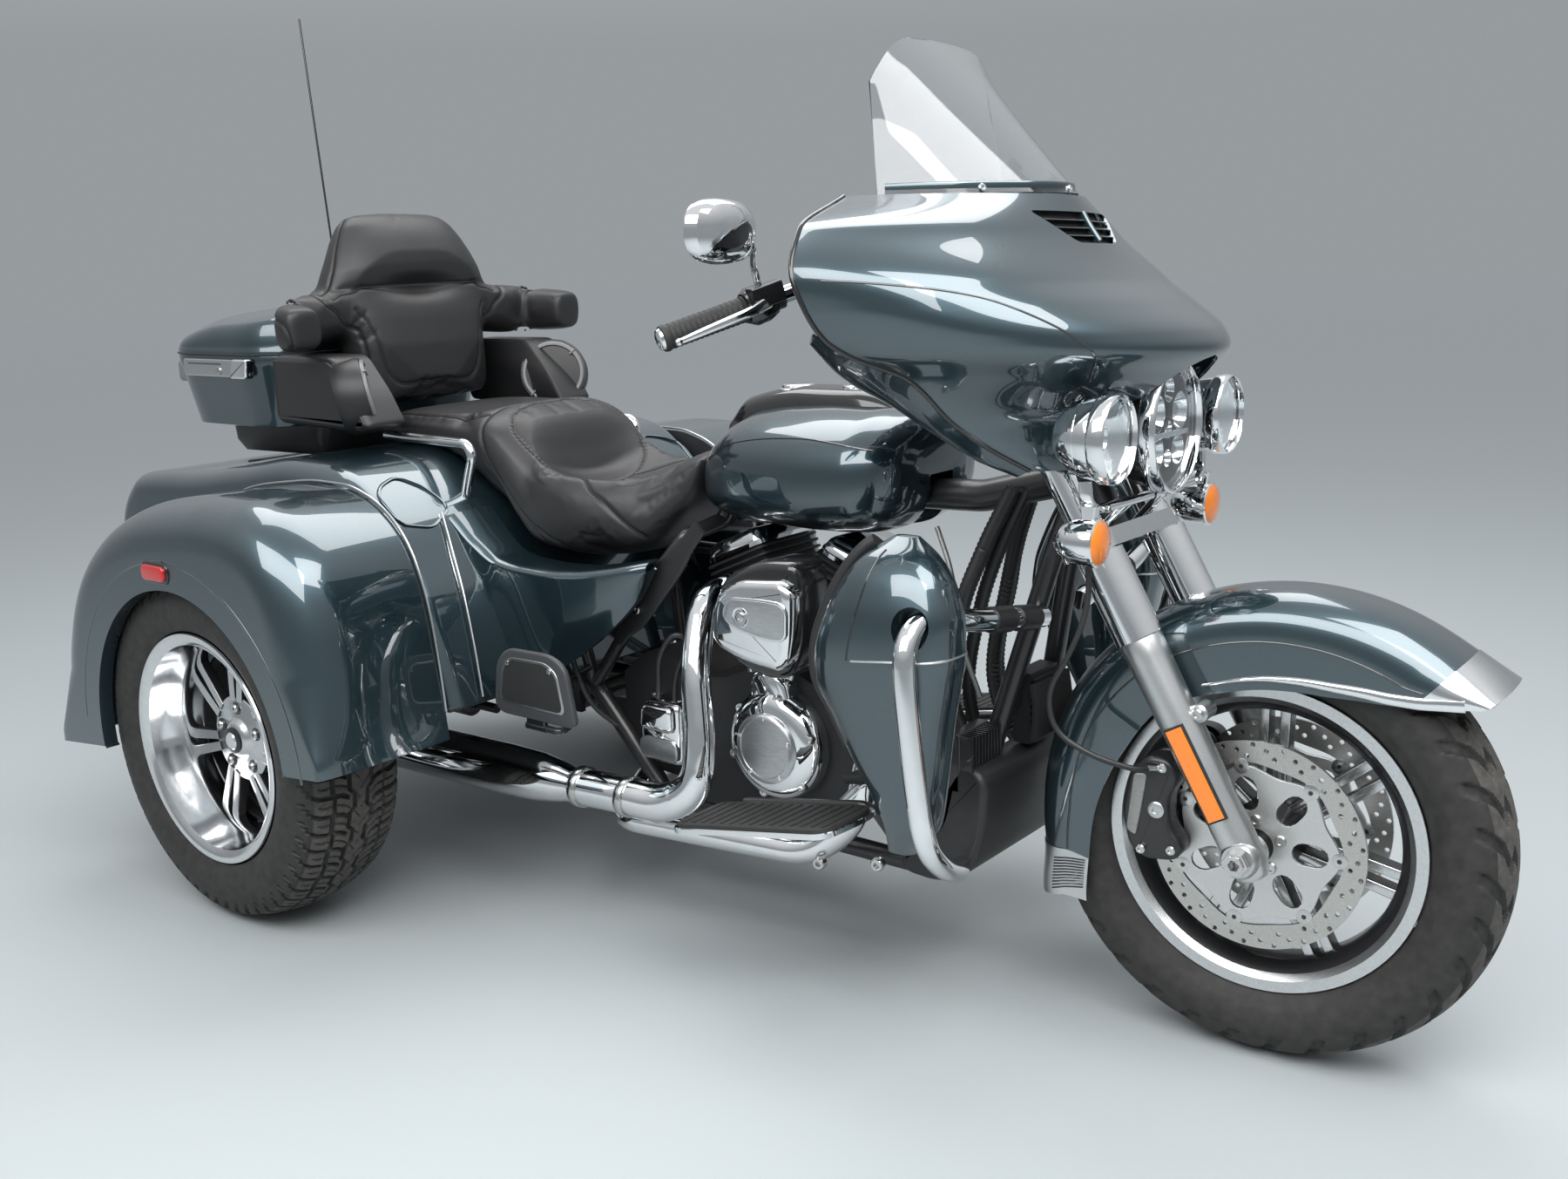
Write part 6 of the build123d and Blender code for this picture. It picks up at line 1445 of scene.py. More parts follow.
def mesh_points(piece, kind="co"):
    """Array of a mesh's points, or of its normals."""
    values = np.empty(len(piece.data.vertices) * 3)
    piece.data.vertices.foreach_get(kind, values)
    return values.reshape(-1, 3)


def puffed(piece, pressure=4.0, shrink=0.005, cap=0.010):
    """Cover filled by cloth simulation: the skin is drawn in, then swells under pressure with no gravity for
    16 frames, and no point ends further than a cap from where it started."""
    start = mesh_points(piece) - mesh_points(piece, "normal") * shrink
    piece.data.vertices.foreach_set("co", start.ravel())
    cloth = piece.modifiers.new("cloth", "CLOTH")
    cloth.settings.use_pressure = True
    cloth.settings.uniform_pressure_force = pressure
    cloth.settings.effector_weights.gravity = 0.0
    cloth.settings.tension_stiffness = cloth.settings.compression_stiffness = 30.0
    for step in range(1, 17):
        bpy.context.scene.frame_set(step)
    finished(piece)
    bpy.context.scene.frame_set(1)
    moved = mesh_points(piece) - start
    length = np.linalg.norm(moved, axis=1, keepdims=True)
    moved *= np.minimum(1, cap / np.maximum(length, 1e-9))
    piece.data.vertices.foreach_set("co", (start + moved).ravel())


def upholstered(name, blocks, seams, voxel=0.0055, rounds=14, depth=0.0032, width=0.0045):
    """Foam form under a sewn cover: blocks are melted into one closed skin by a voxel remesh, smoothed and
    puffed; each seam is laid on the skin, which sinks by depth * exp(-(distance / width)^2) under it."""
    piece = join(name, blocks, leather)
    melt = piece.modifiers.new("melt", "REMESH")
    melt.mode, melt.voxel_size = "VOXEL", voxel
    calm = piece.modifiers.new("calm", "SMOOTH")
    calm.factor, calm.iterations = 0.5, rounds
    finished(piece)
    puffed(piece)
    finer = piece.modifiers.new("finer", "SUBSURF")
    finer.levels = finer.render_levels = 1
    finished(piece)
    tree = BVHTree.FromObject(piece, bpy.context.evaluated_depsgraph_get())
    points, normals = mesh_points(piece), mesh_points(piece, "normal")
    sink = np.zeros(len(points))
    threads = []
    for line in seams:
        laid = np.array([tree.find_nearest(Vector(point))[0] for point in along(line, 90)])
        apart = np.linalg.norm(np.diff(laid, axis=0), axis=1) > 3e-4
        laid = laid[np.concatenate([[True], apart])]
        hits = [tree.find_nearest(Vector(point)) for point in along(laid, 90)]
        line, out = (np.array([hit[part] for hit in hits]) for part in (0, 1))
        near = np.flatnonzero(np.all((points > line.min(0) - 0.03) & (points < line.max(0) + 0.03), axis=1))
        gap = np.min(np.linalg.norm(points[near, None] - line[None], axis=2), axis=1)
        sink[near] = np.maximum(sink[near], depth * np.exp(-(gap / width) ** 2))
        threads.append(rod("thread", thread, line - out * depth * 0.72, 0.0011, 0.0011, (0.3, 0.2, 0.9), 2,
                           8))
    piece.data.vertices.foreach_set("co", (points - normals * sink[:, None]).ravel())
    piece.data.update()
    piece.data.shade_smooth()
    return piece, join(f"{name}_seams", threads)


# Station: half width, lowest, height at the sides, height in the middle
seat_table = ((-76, 168, 806, 846, 852), (-62, 176, 804, 856, 858), (0, 186, 804, 862, 864),
              (80, 189, 802, 862, 866), (150, 189, 788, 862, 866), (205, 189, 752, 868, 874),
              (240, 189, 722, 870, 876), (268, 188, 702, 862, 870), (300, 188, 672, 838, 838),
              (326, 188, 650, 814, 782), (352, 187, 630, 792, 742), (430, 184, 623, 770, 728),
              (500, 170, 628, 766, 734), (560, 152, 634, 768, 746), (600, 134, 648, 776, 766),
              (640, 112, 694, 798, 796), (672, 92, 742, 818, 820), (686, 84, 792, 822, 826))


def seat_block(count=70, columns=72):
    """Closed skin of the seat: at each station the top is dished between its sides as 1 - |y|^2.4, over sides
    that close underneath in a superellipse of power 5."""
    x = np.linspace(-76, 686, count)
    half, low, side_top, mid_top = (part[:, None] for part in table(seat_table, x))
    turn = np.linspace(0, 2 * math.pi, columns, endpoint=False)[None]
    c, s = np.cos(turn), np.sin(turn)
    size = (np.abs(c) ** 4.6 + np.abs(s) ** 4.6) ** (-1 / 4.6)
    y = half * s * size
    middle = (low + side_top) / 2
    share = np.clip(c * size, -1, 1)
    dish = (mid_top - side_top) * (1 - np.clip(np.abs(y) / (half * 0.80), 0, 1) ** 2.4)
    z = middle + (side_top - middle) * share + dish * np.clip(share, 0, 1) ** 3
    return surface("seat_block", from_axle(np.stack(np.broadcast_arrays(x[:, None], y, z), -1)), leather,
                   around=True, caps=True)


oval = [(236, 0, 885), (246, -70, 885), (268, -122, 880), (302, -146, 840), (340, -138, 800),
        (376, -100, 770), (396, -40, 745), (398, 0, 740)]
seat_seams = [oval + [(x, -y, z) for x, y, z in oval[::-1][1:]]]
for side in (-1, 1):
    seat_seams.append([(236, side * 30, 885), (222, side * 100, 880), (228, side * 165, 860),
                       (250, side * 196, 800), (300, side * 196, 730), (380, side * 190, 660),
                       (420, side * 190, 628)])
    seat_seams.append([(396, side * 60, 745), (440, side * 118, 770), (500, side * 160, 745),
                       (560, side * 160, 700), (600, side * 140, 660)])
    seat_seams.append([(398, side * 20, 740), (500, side * 60, 745), (600, side * 62, 770),
                       (680, side * 40, 830)])
    seat_seams.append([(-70, side * 150, 862), (60, side * 158, 868), (170, side * 156, 868),
                       (222, side * 140, 876)])
seat, seat_thread = upholstered("seat_cover", [seat_block()], [from_axle(line) for line in seat_seams])
fitted(seat, "chassis", "seat")
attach(seat_thread, "chassis")

# The backrest: one leather-covered moulding on the lid's front, with a head roll tucked in the middle, a
# sewn back panel, and two arms that wrap round the passenger and end in flat side panels.


def slab_block(rows):
    """Closed skin through stations of (centre x, y, z, half sizes across a and up b, axis a)."""
    grid = []
    for centre, half_a, half_b, way_a, way_b in rows:
        turn = np.linspace(0, 2 * math.pi, 40, endpoint=False)
        size = (np.abs(np.cos(turn)) ** 3.2 + np.abs(np.sin(turn)) ** 3.2) ** (-1 / 3.2)
        c, s = (np.cos(turn) * size)[:, None], (np.sin(turn) * size)[:, None]
        grid.append(np.array(centre, float) + half_a * c * np.array(way_a) + half_b * s * np.array(way_b))
    return surface("block", from_axle(np.array(grid)), leather, around=True, caps=True)


fore, left, up = (1, 0, 0), (0, 1, 0), (0, 0, 1)
pad_rows = []
for z, x, thick, half_wide in ((869, -138, 46, 148), (884, -148, 60, 164), (920, -156, 66, 172),
                               (985, -162, 68, 176), (1040, -172, 64, 190), (1080, -180, 58, 208),
                               (1106, -184, 54, 216)):
    pad_rows.append(((x, 0, z), half_wide, thick, left, fore))
head_rows = []
for z, x, thick, half_wide in ((1092, -184, 52, 210), (1110, -182, 58, 208), (1140, -181, 58, 194),
                               (1170, -184, 55, 177), (1200, -188, 50, 158), (1226, -192, 42, 138),
                               (1242, -195, 30, 118), (1249, -197, 14, 92)):
    head_rows.append(((x, 0, z), half_wide, thick, left, fore))
rest_blocks = [slab_block(pad_rows), slab_block(head_rows)]
for side in (-1, 1):
    arm_rows = []
    for x, y, wide, z, tall, turn in ((-188, 150, 52, 1050, 62, 90), (-188, 214, 54, 1046, 60, 82),
                                      (-174, 274, 56, 1037, 52, 60), (-140, 316, 54, 1034, 48, 36),
                                      (-100, 330, 48, 1033, 47, 12), (-66, 333, 44, 1032, 46, 2),
                                      (-42, 333, 40, 1032, 42, 0), (-34, 333, 28, 1032, 32, 0)):
        cross = (math.sin(math.radians(turn)), side * math.cos(math.radians(turn)), 0)
        arm_rows.append(((x, side * y, z), wide, tall, cross, up))
    rest_blocks.append(slab_block(arm_rows if side < 0 else arm_rows[::-1]))
rest_seams = [[(-120, y, 1100) for y in np.linspace(-208, 208, 24)],
              [(-100, -168, 1060), (-92, -140, 1000), (-86, -116, 930), (-80, -84, 905), (-78, 0, 902),
               (-80, 84, 905), (-86, 116, 930), (-92, 140, 1000), (-100, 168, 1060)]]
for side in (-1, 1):
    rest_seams.append([(-150, side * 220, 1106), (-160, side * 196, 1150), (-178, side * 168, 1200),
                       (-200, side * 134, 1250)])
    rest_seams.append([(-236, side * 270, 1060), (-170, side * 330, 1058), (-100, side * 362, 1052),
                       (-62, side * 362, 1040), (-52, side * 360, 1010), (-54, side * 360, 992)])
    rest_seams.append([(-230, side * 190, 1084), (-160, side * 230, 1076), (-110, side * 196, 1050),
                       (-100, side * 176, 1000), (-104, side * 160, 960)])
backrest, rest_thread = upholstered("backrest_cover", rest_blocks, [from_axle(line) for line in rest_seams],
                                    rounds=12)
points = mesh_points(backrest)
tuck_at = from_axle((-122, 0, 1100))
reach = np.stack([(points[:, 1] - tuck_at[1]) / 0.085, (points[:, 2] - tuck_at[2]) / 0.022], -1)
sunk = 0.020 * np.exp(-np.sum(reach**2, axis=1)) * (points[:, 0] > tuck_at[0] - 0.03)
points[:, 0] -= sunk
backrest.data.vertices.foreach_set("co", points.ravel())
backrest.data.update()
fitted(backrest, "lid", "backrest")
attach(rest_thread, "lid")

# The speaker pods: leather-covered wedges in front of the case with a piped edge, each carrying a round drum
# turned inwards to the passenger, with a mesh grille in a grey ring held by four tabs.
ring_grey = material("ring_grey", (0.16, 0.165, 0.17), roughness=0.38, variation=0.15, scale=800, depth=0.2)
pod_outline = [(-239, 846), (34, 838), (58, 850), (20, 908), (-44, 977), (-239, 977)]
pods = []
for side in (-1, 1):
    loop = rounded(np.array(pod_outline) * 0.001, 0.020, 8)
    levels = [(0.201, 0.004), (0.204, 0)] + round_edge(0.21, 0.289, 0.016, 7)[1:]
    used = levels if side < 0 else [(-height, amount) for height, amount in levels]
    pods.append(moulded("pod", loop, used, from_axle((0, 0, 0)), (1, 0, 0), (0, 0, 1), leather))
    rim_loop = inset(loop, 0.011)
    ring = np.column_stack([rim_loop[:, 0], np.full(len(rim_loop), side * 0.2872),
                            rim_loop[:, 1]]) + from_axle((0, 0, 0))
    closed_ring = np.concatenate([ring, ring[:2]])
    pods.append(rod("piping", leather, closed_ring, 0.0022, 0.0022, (0, 1, 0), 2, 8))
    at, facing = from_axle((-4, side * 236, 906)), np.array([0.62, side * -0.76, 0.19])
    for label, profile, finish in (
        ("drum", [(-58, 0), (-58, 60), (-44, 69), (-8, 71), (-1, 69), (0, 64), (0, 0)], leather),
        ("speaker_ring", [(-3, 56), (-3, 65), (4, 65), (6.5, 63), (6.5, 58), (3, 56), (-3, 56)], ring_grey),
        ("speaker_mesh", [(-3, 0), (-3, 57), (2.5, 57), (4.5, 30), (5.5, 0)], black_plastic),
    ):
        pods.append(turned_piece(label, profile, at, finish, 64, facing))
    over = np.cross(facing, (0, 0, 1.0))
    rise = np.cross(over, facing)
    for corner in (45, 135, 225, 315):
        arm = over * math.cos(math.radians(corner)) + rise * math.sin(math.radians(corner))
        pods.append(beam("tab", ring_grey, at + facing * 0.006 + arm * 0.054,
                         at + facing * 0.006 + arm * 0.068, (0.010, 0.003), (0.007, 0.003),
                         np.cross(arm, facing)))
assembled("speaker_pod_pair", pods, "chassis", "speaker_pods")

# The luggage case: a hollow moulded base that narrows downwards and a domed lid that meets it on a
# rubber-lipped seam. One long plated latch closes it, and red lamps wrap the back in a grey surround.
# The case's paint is the body paint darkened to about three quarters, as painted shade for the shadow the
# case sits in.
case_paint_darkened_for_shade = material("case_paint_darkened_for_shade", (0.020, 0.042, 0.053), metallic=0.6, roughness=0.32, spread=0.06,
                      variation=0.18, scale=2600, depth=0.05, Coat_Weight=1.0, Coat_Roughness=0.04,
                      Coat_IOR=1.6)
case_x, case_long, case_wide = -436.0, 392.0, 580.0


def case_ring(inset_by, z, count=160, corner=84.0):
    """Plan outline of the case at a height: a rectangle with round corners, drawn in by a distance."""
    half_x, half_y = case_long / 2 - inset_by, case_wide / 2 - inset_by
    radius = max(corner - inset_by * 0.6, 12)
    loop = rounded([(-half_x, -half_y), (half_x, -half_y), (half_x, half_y), (-half_x, half_y)],
                   radius * 1.35, 12)
    loop = np.concatenate([loop, loop[:1]])
    walk = np.concatenate([[0], np.cumsum(np.linalg.norm(np.diff(loop, axis=0), axis=1))])
    at = np.linspace(0, walk[-1], count, endpoint=False)
    x, y = (np.interp(at, walk, loop[:, axis]) for axis in (0, 1))
    return np.column_stack([x + case_x, y, np.full(count, z) if np.isscalar(z) else z(x + case_x, y)])


def lid_height(x, y):
    """Crown of the lid over the plan, higher at the front, falling away to the sides."""
    ridge = smooth_between(x, (-632, -560, -430, -240), (1004, 1040, 1065, 1073))
    edge = smooth_between(x, (-632, -560, -430, -240), (988, 1014, 1038, 1045))
    return edge + (ridge - edge) * np.clip(1 - (np.abs(y) / 290) ** 2.6, 0, 1)


base_rows = [case_ring(120, 829.5), case_ring(30, 829.5), case_ring(26, 831), case_ring(24.6, 836),
             case_ring(2.2, 952), case_ring(0, 956), case_ring(-0.6, 972), case_ring(0.4, 974.6),
             case_ring(5.6, 974.8), case_ring(6, 972), case_ring(8.5, 952), case_ring(31, 838),
             case_ring(36, 834.5), case_ring(120, 834)]
base = surface("case_base_skin", from_axle(np.array(base_rows)), case_paint_darkened_for_shade, around=True, caps=True)
tray_loop = rounded(np.array([(-566, -190), (-270, -170), (-270, 170), (-566, 190)]) * 0.001, 0.03)
tray = moulded("carrier", tray_loop, [(0.762, 0.02), (0.786, 0.004), (0.829, 0)], from_axle((0, 0, 0)),
               (1, 0, 0), (0, 1, 0), black_plastic)
lid_rows = [case_ring(7, 974.4 + 1.2), case_ring(1.2, 975.4), case_ring(-0.4, 977), case_ring(-0.4, 984),
            case_ring(0.8, 986)]
for share in np.linspace(0, math.pi / 2, 9)[1:]:
    inward = 1.0 + 20 * (1 - math.cos(share))
    low = 986.0
    lid_rows.append(case_ring(inward, lambda x, y, s=share: low + (lid_height(x, y) - 8 - low) * math.sin(s)))
for inward in (34, 60, 100, 150, 190):
    soft = 8 * max(0, 1 - (inward - 21) / 30)
    lid_rows.append(case_ring(inward, lambda x, y, drop=soft: lid_height(x, y) - drop))
lid = surface("lid_skin", from_axle(np.array(lid_rows)), case_paint_darkened_for_shade, around=True, caps=True)
lid_lip = case_ring(-1.2, 975.9)
lid_lip = np.concatenate([lid_lip, lid_lip[:2]])
lip = rod("lid_lip", black_plastic, from_axle(lid_lip), 0.0016, 0.0022, (0, 0, 1), 3, 10)
lid_knuckles, base_knuckles = [
    [turned_piece("knuckle", [(start, 0), (start, 5.4), (start + 19.6, 5.4), (start + 19.6, 0)],
                  from_axle((x, 296, 975)), steel, 24, (1, 0, 0)) for x in (-522, -350)]
    for start in (0.4, -20)]
latch_plate = [(-538, 932), (-304, 932), (-304, 967), (-538, 967)]
latch_groove = [(-520, 956), (-400, 956), (-400, 959), (-520, 959)]
latch_grip = [(-362, 930), (-306, 930), (-300, 969), (-350, 969)]
latches = [side_block("latch", latch_plate, 8, 284, 296, 3, satin, -1),
           side_block("latch_groove", latch_groove, 1, 290, 296.6, 0.4, stripe, -1),
           side_block("latch_grip", latch_grip, 6, 286, 304, 5, chrome, -1)]
latches.append(turned_piece("latch_lock", [(0, 0), (0, 8), (2, 8), (2.5, 7), (2.5, 0)],
                            from_axle((-410, -296, 944)), steel, 24, (0, -1, 0)))
assembled("case_base_parts", [base, tray, *base_knuckles], "chassis", "case_base")
assembled("case_lid_parts", [lid, lip, *lid_knuckles], "lid", "case_lid")
assembled("case_latches", latches, "chassis")
rear_loop = rounded(np.array([(-236, 910), (236, 910), (236, 958), (-236, 958)]) * 0.001, 0.012, 6)
surround = [(-0.6640, 0.003), (-0.6620, 0.0005), (-0.6250, 0)]
lamps = [moulded("surround", rear_loop, surround, from_axle((0, 0, 0)), (0, 1, 0), (0, 0, 1), ring_grey)]
lens_levels = [(-0.6745, 0.016), (-0.6735, 0.012), (-0.6700, 0.0085), (-0.6630, 0.007)]
lamps.append(moulded("rear_lens", rear_loop, lens_levels, from_axle((0, 0, 0)), (0, 1, 0), (0, 0, 1), red))
low_loop = rounded(np.array([(-119, 790), (119, 790), (119, 822), (-119, 822)]) * 0.001, 0.007, 6)
lamps.append(moulded("low_lens", low_loop, [(-0.5890, 0.004), (-0.5880, 0.001), (-0.5760, 0)],
                     from_axle((0, 0, 0)), (0, 1, 0), (0, 0, 1), red))
assembled("case_lamp_parts", lamps, "chassis", "case_lamps")

# The leg shields: hollow mouldings in body paint with a lidded pocket above a silver-edged seam, a black
# inner lining, and a channel where the plated guard tube runs down their fronts.
# Height: rear edge, front edge, widest half, how far its inner side is from the middle
shield_table = ((303, 1226, 1276, 328, 268), (340, 1230, 1300, 346, 264), (400, 1206, 1314, 360, 262),
                (440, 1180, 1321, 364, 262), (500, 1148, 1331, 370, 262), (560, 1120, 1344, 378, 262),
                (600, 1124, 1351, 381, 262), (650, 1142, 1350, 378, 263), (700, 1168, 1334, 364, 266),
                (735, 1196, 1308, 340, 273), (760, 1236, 1274, 302, 284))


def shield_at(z, turn):
    """Point of the right shield: at each height a superellipse of power 2.8 between its edges and its sides,
    its outer half drawn further than the inner one."""
    rear, front, wide, near = table(shield_table, z)
    c, s = np.cos(np.radians(turn)), np.sin(np.radians(turn))
    size = (np.abs(c) ** 2.8 + np.abs(s) ** 2.8) ** (-1 / 2.8)
    waist = near + (wide - near) * 0.42
    y = waist + np.where(s > 0, wide - waist, waist - near) * s * size
    return np.stack(np.broadcast_arrays((rear + front) / 2 + (front - rear) / 2 * c * size, -y, z), -1)


heights = 303 + 457 * (1 - np.cos(np.linspace(0, math.pi, 80))) / 2
shield_rows = shield_at(heights[:, None], np.linspace(0, 360, 97)[None, :-1])
guard_route = [(1334, -60, 606), (1336, -250, 640), (1312, -350, 664), (1314, -394, 632), (1318, -398, 575),
               (1330, -398, 460), (1344, -395, 356), (1330, -330, 300), (1290, -222, 246), (1216, -112, 200)]
channel_route = [(1300, -340, 662), (1314, -396, 640), (1322, -402, 575), (1336, -404, 460),
                 (1352, -400, 350), (1340, -350, 300)]
shields, guards, inner_trims = [], [], []
for side in (-1, 1):
    flip = np.array([1, -side, 1])
    rows = shield_rows * flip
    shield = surface("shield", from_axle(rows if side < 0 else rows[:, ::-1]), paint, around=True, caps=True)
    groove = rod("groove", paint, bent(from_axle(np.array(channel_route) * flip), 0.05), 0.026, 0.026,
                 (0, 1, 0), 2, 24)
    shield = carved(shield, groove)
    shield.data.set_sharp_from_angle(angle=math.radians(34))
    shields.append(shield)
    guards.append(rod("guard", chrome, bent(from_axle(np.array(guard_route) * flip), 0.050), 0.0162, 0.0162,
                      (0.9, 0.1, 0.4), 2, 28))
    for share in (0.12, 0.5):
        start, end = from_axle([(1334 + 2 * s, side * (60 + 190 * s), 606 + 34 * s)
                                for s in (share, share + 0.3)])
        ribs = [(index * 0.0057, 0.0178 + 0.0014 * (index % 2)) for index in range(11)]
        ribs = [(0, 0.0160)] + ribs + [(0.057, 0.0160), (0, 0.0160)]
        guards.append(surface("sleeve", turned(np.array(ribs), start, 32, end - start), black_plastic,
                              around=True))
    turn = np.linspace(-56, 100, 60)
    seam = shield_at(smooth_between(turn, (-56, 0, 60, 100), (606, 606, 604, 596)), turn) * flip
    shields.append(rod("seam", satin, from_axle(seam), 0.0018, 0.0018, (0, 0, 1), 2, 8))
    z = np.linspace(596, 745, 40)
    lid_line = shield_at(z, np.full(40, 104.0)) * flip
    shields.append(rod("lid_seam", stripe, from_axle(lid_line), 0.0014, 0.0014, (1, 0, 0), 2, 8))
    z = np.linspace(452, 748, 60)
    back_edge = shield_at(z, np.full(60, 171.0)) * flip
    inner_trims.append(rod("back_trim", black_plastic, from_axle(back_edge - (2, 0, 0)), 0.010, 0.020,
                           (1, 0, 0), 3))
assembled("leg_shield_pair", shields, "chassis", "leg_shields")
assembled("engine_guard_pair", guards, "chassis", "engine_guards")
assembled("leg_shield_lining", inner_trims, "chassis")

# The side covers: painted panels under the seat, with a wide rolled ledge above a flat side that tapers
# forwards and down to the frame.
# Along x: ledge height, lower edge, outer distance at the ledge, and at the lower edge
cover_table = ((256, 704, 640, 282, 296), (300, 660, 560, 274, 288), (346, 626, 470, 262, 274),
               (400, 617, 404, 258, 262), (460, 615, 430, 254, 248), (520, 618, 466, 248, 240),
               (590, 628, 520, 238, 228), (640, 638, 572, 228, 214), (674, 645, 630, 214, 206))
covers = []
for side in (-1, 1):
    x = np.linspace(257, 673, 70)
    ledge, low, out_top, out_low = table(cover_table, x)
    rows = [np.column_stack([x, np.full(70, 182.0), ledge + 4])]
    roll = 18.0
    for a in np.linspace(0, math.pi / 2, 9):
        rows.append(np.column_stack([x, out_top - roll + roll * math.sin(a),
                                     ledge + 2 - roll * 0.7 * (1 - math.cos(a))]))
    for share in np.linspace(0.1, 1, 9):
        bow = 5 * math.sin(share * math.pi)
        rows.append(np.column_stack([x, out_top + (out_low - out_top) * share + bow - 3 * share,
                                     ledge - 12 + (low - ledge + 12) * share]))
    rows.append(np.column_stack([x, out_low - 20, low + 3]))
    grid = np.array(rows) * (1, side, 1)
    piece = mesh_piece("cover", from_axle(grid), grid_faces(grid.shape[0], grid.shape[1], False), paint,
                       closed=False)
    covers.append(thickened(piece, 0.004, (0, side, 0.6), even=False))
assembled("side_cover_pair", covers, "chassis", "side_covers")
edges = []
for side in (-1, 1):
    for shift, lift in ((-7, 2.0), (7, 2.0)):
        front_line = along([(252, side * 296, 706), (290, side * 312, 650), (334, side * 330, 578),
                            (372, side * 345, 482), (397, side * 356, 404)], 60)
        front_line[:, 0] += shift * 0.7 + 1.5
        front_line[:, 2] += shift * 0.25 + 1.5
        edges.append(rod("edge", satin, from_axle(front_line), 0.0022, 0.0022, (0, 1, 0), 2, 8))
assembled("body_edges", edges, "chassis")

# The air cleaner: a plated wedge-shaped housing with a black tail, a brushed inset and one countersunk screw.
brushed = material("brushed_inset", (0.50, 0.51, 0.52), metallic=1.0, roughness=0.34, spread=0.15,
                   variation=0.15, scale=900, depth=0.25, stretch=(0.06, 1, 1))
housing = [(866, 600), (874, 646), (909, 668), (960, 688), (1026, 692), (1036, 660), (1032, 560), (1012, 510),
           (980, 500), (930, 506), (886, 528)]
cover = [(872, 560), (878, 618), (898, 642), (930, 658), (1016, 666), (1036, 650), (1034, 592), (1024, 540),
         (1006, 522), (940, 528), (888, 544)]
window = [(900, 602), (914, 632), (984, 636), (1030, 634), (1027, 574), (994, 571), (950, 576), (912, 588)]
cleaner = [side_block("shell_back", housing, 34, 190, 262, 16, gloss_black, -1),
           side_block("shell", cover, 22, 254, 284, 14, chrome, -1),
           side_block("frame", window, 20, 270, 286.6, 2, chrome, -1),
           side_block("inset", inset(rounded(np.array(window, float), 20), 3.5), 1, 280, 287.6, 1, brushed,
                      -1)]
cleaner.append(turned_piece("screw_dish", [(287.2, 0), (287.2, 11), (288.6, 15), (288.2, 16), (286, 16),
                                           (286, 0)], from_axle((940, 0, 603)), chrome, 40, (0, -1, 0)))
cleaner.append(bolt("cover_screw", from_axle((940, -286.6, 603)), (0, -1, 0), 0.008, 0.004, steel, 32))
neck = bar(from_axle((870, -196, 600)), from_axle((870, -10, 600)), (0.050, 0.050), (0.044, 0.044), (0, 0, 1))
cleaner.append(surface("neck", neck, black_cast, around=True, caps=True))
assembled("air_cleaner_parts", cleaner, "chassis", "air_cleaner")

# The engine: a V-twin with black finned barrels and heads, plated rocker covers, pushrod tubes and a plated
# cam cover with a brushed disc; the gearbox has a plated end cover with a bare plate, the primary a long one.
engine_black = material("engine_black", (0.011, 0.011, 0.012), roughness=0.55, spread=0.15, variation=0.35,
                        scale=1100, depth=0.6)
vee = math.radians(22.5)
barrels, tops = [], []
for lean in (-1, 1):
    way = np.array([lean * math.sin(vee), 0, math.cos(vee)])
    crosswise = np.array([way[2], 0, -way[0]])
    foot = from_axle((870, 0, 350))

    def stack(loop, levels, finish, label):
        return moulded(label, loop, levels, foot, tuple(crosswise), (0, 1, 0), finish)

    barrels.append(turned_piece("core", [(125.4, 0), (125.4, 50), (317, 50), (317, 0)], foot, engine_black,
                                48, way))
    fin_loop = rounded(np.array([(-71, -77), (71, -77), (71, 77), (-71, 77)]) * 0.001, 0.048, 8)
    head_loop = rounded(np.array([(-73, -81), (73, -81), (73, 81), (-73, 81)]) * 0.001, 0.026, 6)
    for index in range(9):
        height = (182 + index * 10) * 0.001
        barrels.append(stack(fin_loop, [(height, 0.0006), (height + 0.0006, 0), (height + 0.0030, 0),
                                        (height + 0.0036, 0.0008)], engine_black, "fin"))
    for index in range(4):
        height = (274 + index * 12) * 0.001
        barrels.append(stack(head_loop, [(height, 0.0006), (height + 0.0006, 0), (height + 0.0038, 0),
                                         (height + 0.0044, 0.0008)], engine_black, "head_fin"))
    barrels.append(stack(inset(head_loop, 0.012), [(0.270, 0), (0.3175, 0)], engine_black, "head"))
    rocker_loop = rounded(np.array([(-70, -78), (70, -78), (70, 78), (-70, 78)]) * 0.001, 0.030, 8)
    tops.append(stack(rocker_loop, [(0.3182, 0), (0.3250, 0), (0.3260, 0.002), (0.3270, 0.002),
                                    (0.3400, 0.008), (0.3460, 0.014), (0.3490, 0.022)], chrome, "rocker"))
    for a, b in ((-52, -62), (52, -62), (-52, 62), (52, 62)):
        at = foot + way * 0.3255 + crosswise * a * 0.001 + np.array([0, b * 0.001, 0])
        tops.append(bolt("rocker_bolt", at, tuple(way), 0.006, 0.008, steel, 24))
    tube_start = from_axle((870 + lean * 26, -134, 462))
    for share in (-1, 1):
        tube_end = foot + way * 0.286 + crosswise * (lean * -40 + share * 12) * 0.001 + (0, -0.088, 0)
        start = tube_start + np.array([share * 0.014, 0, 0])
        barrels.append(pipe("pushrod_tube", [start, tube_end], 0.0078, chrome, segments=20))
assembled("barrel_pair", barrels, "chassis", "cylinders")
assembled("rocker_cover_pair", tops, "chassis", "rocker_covers")

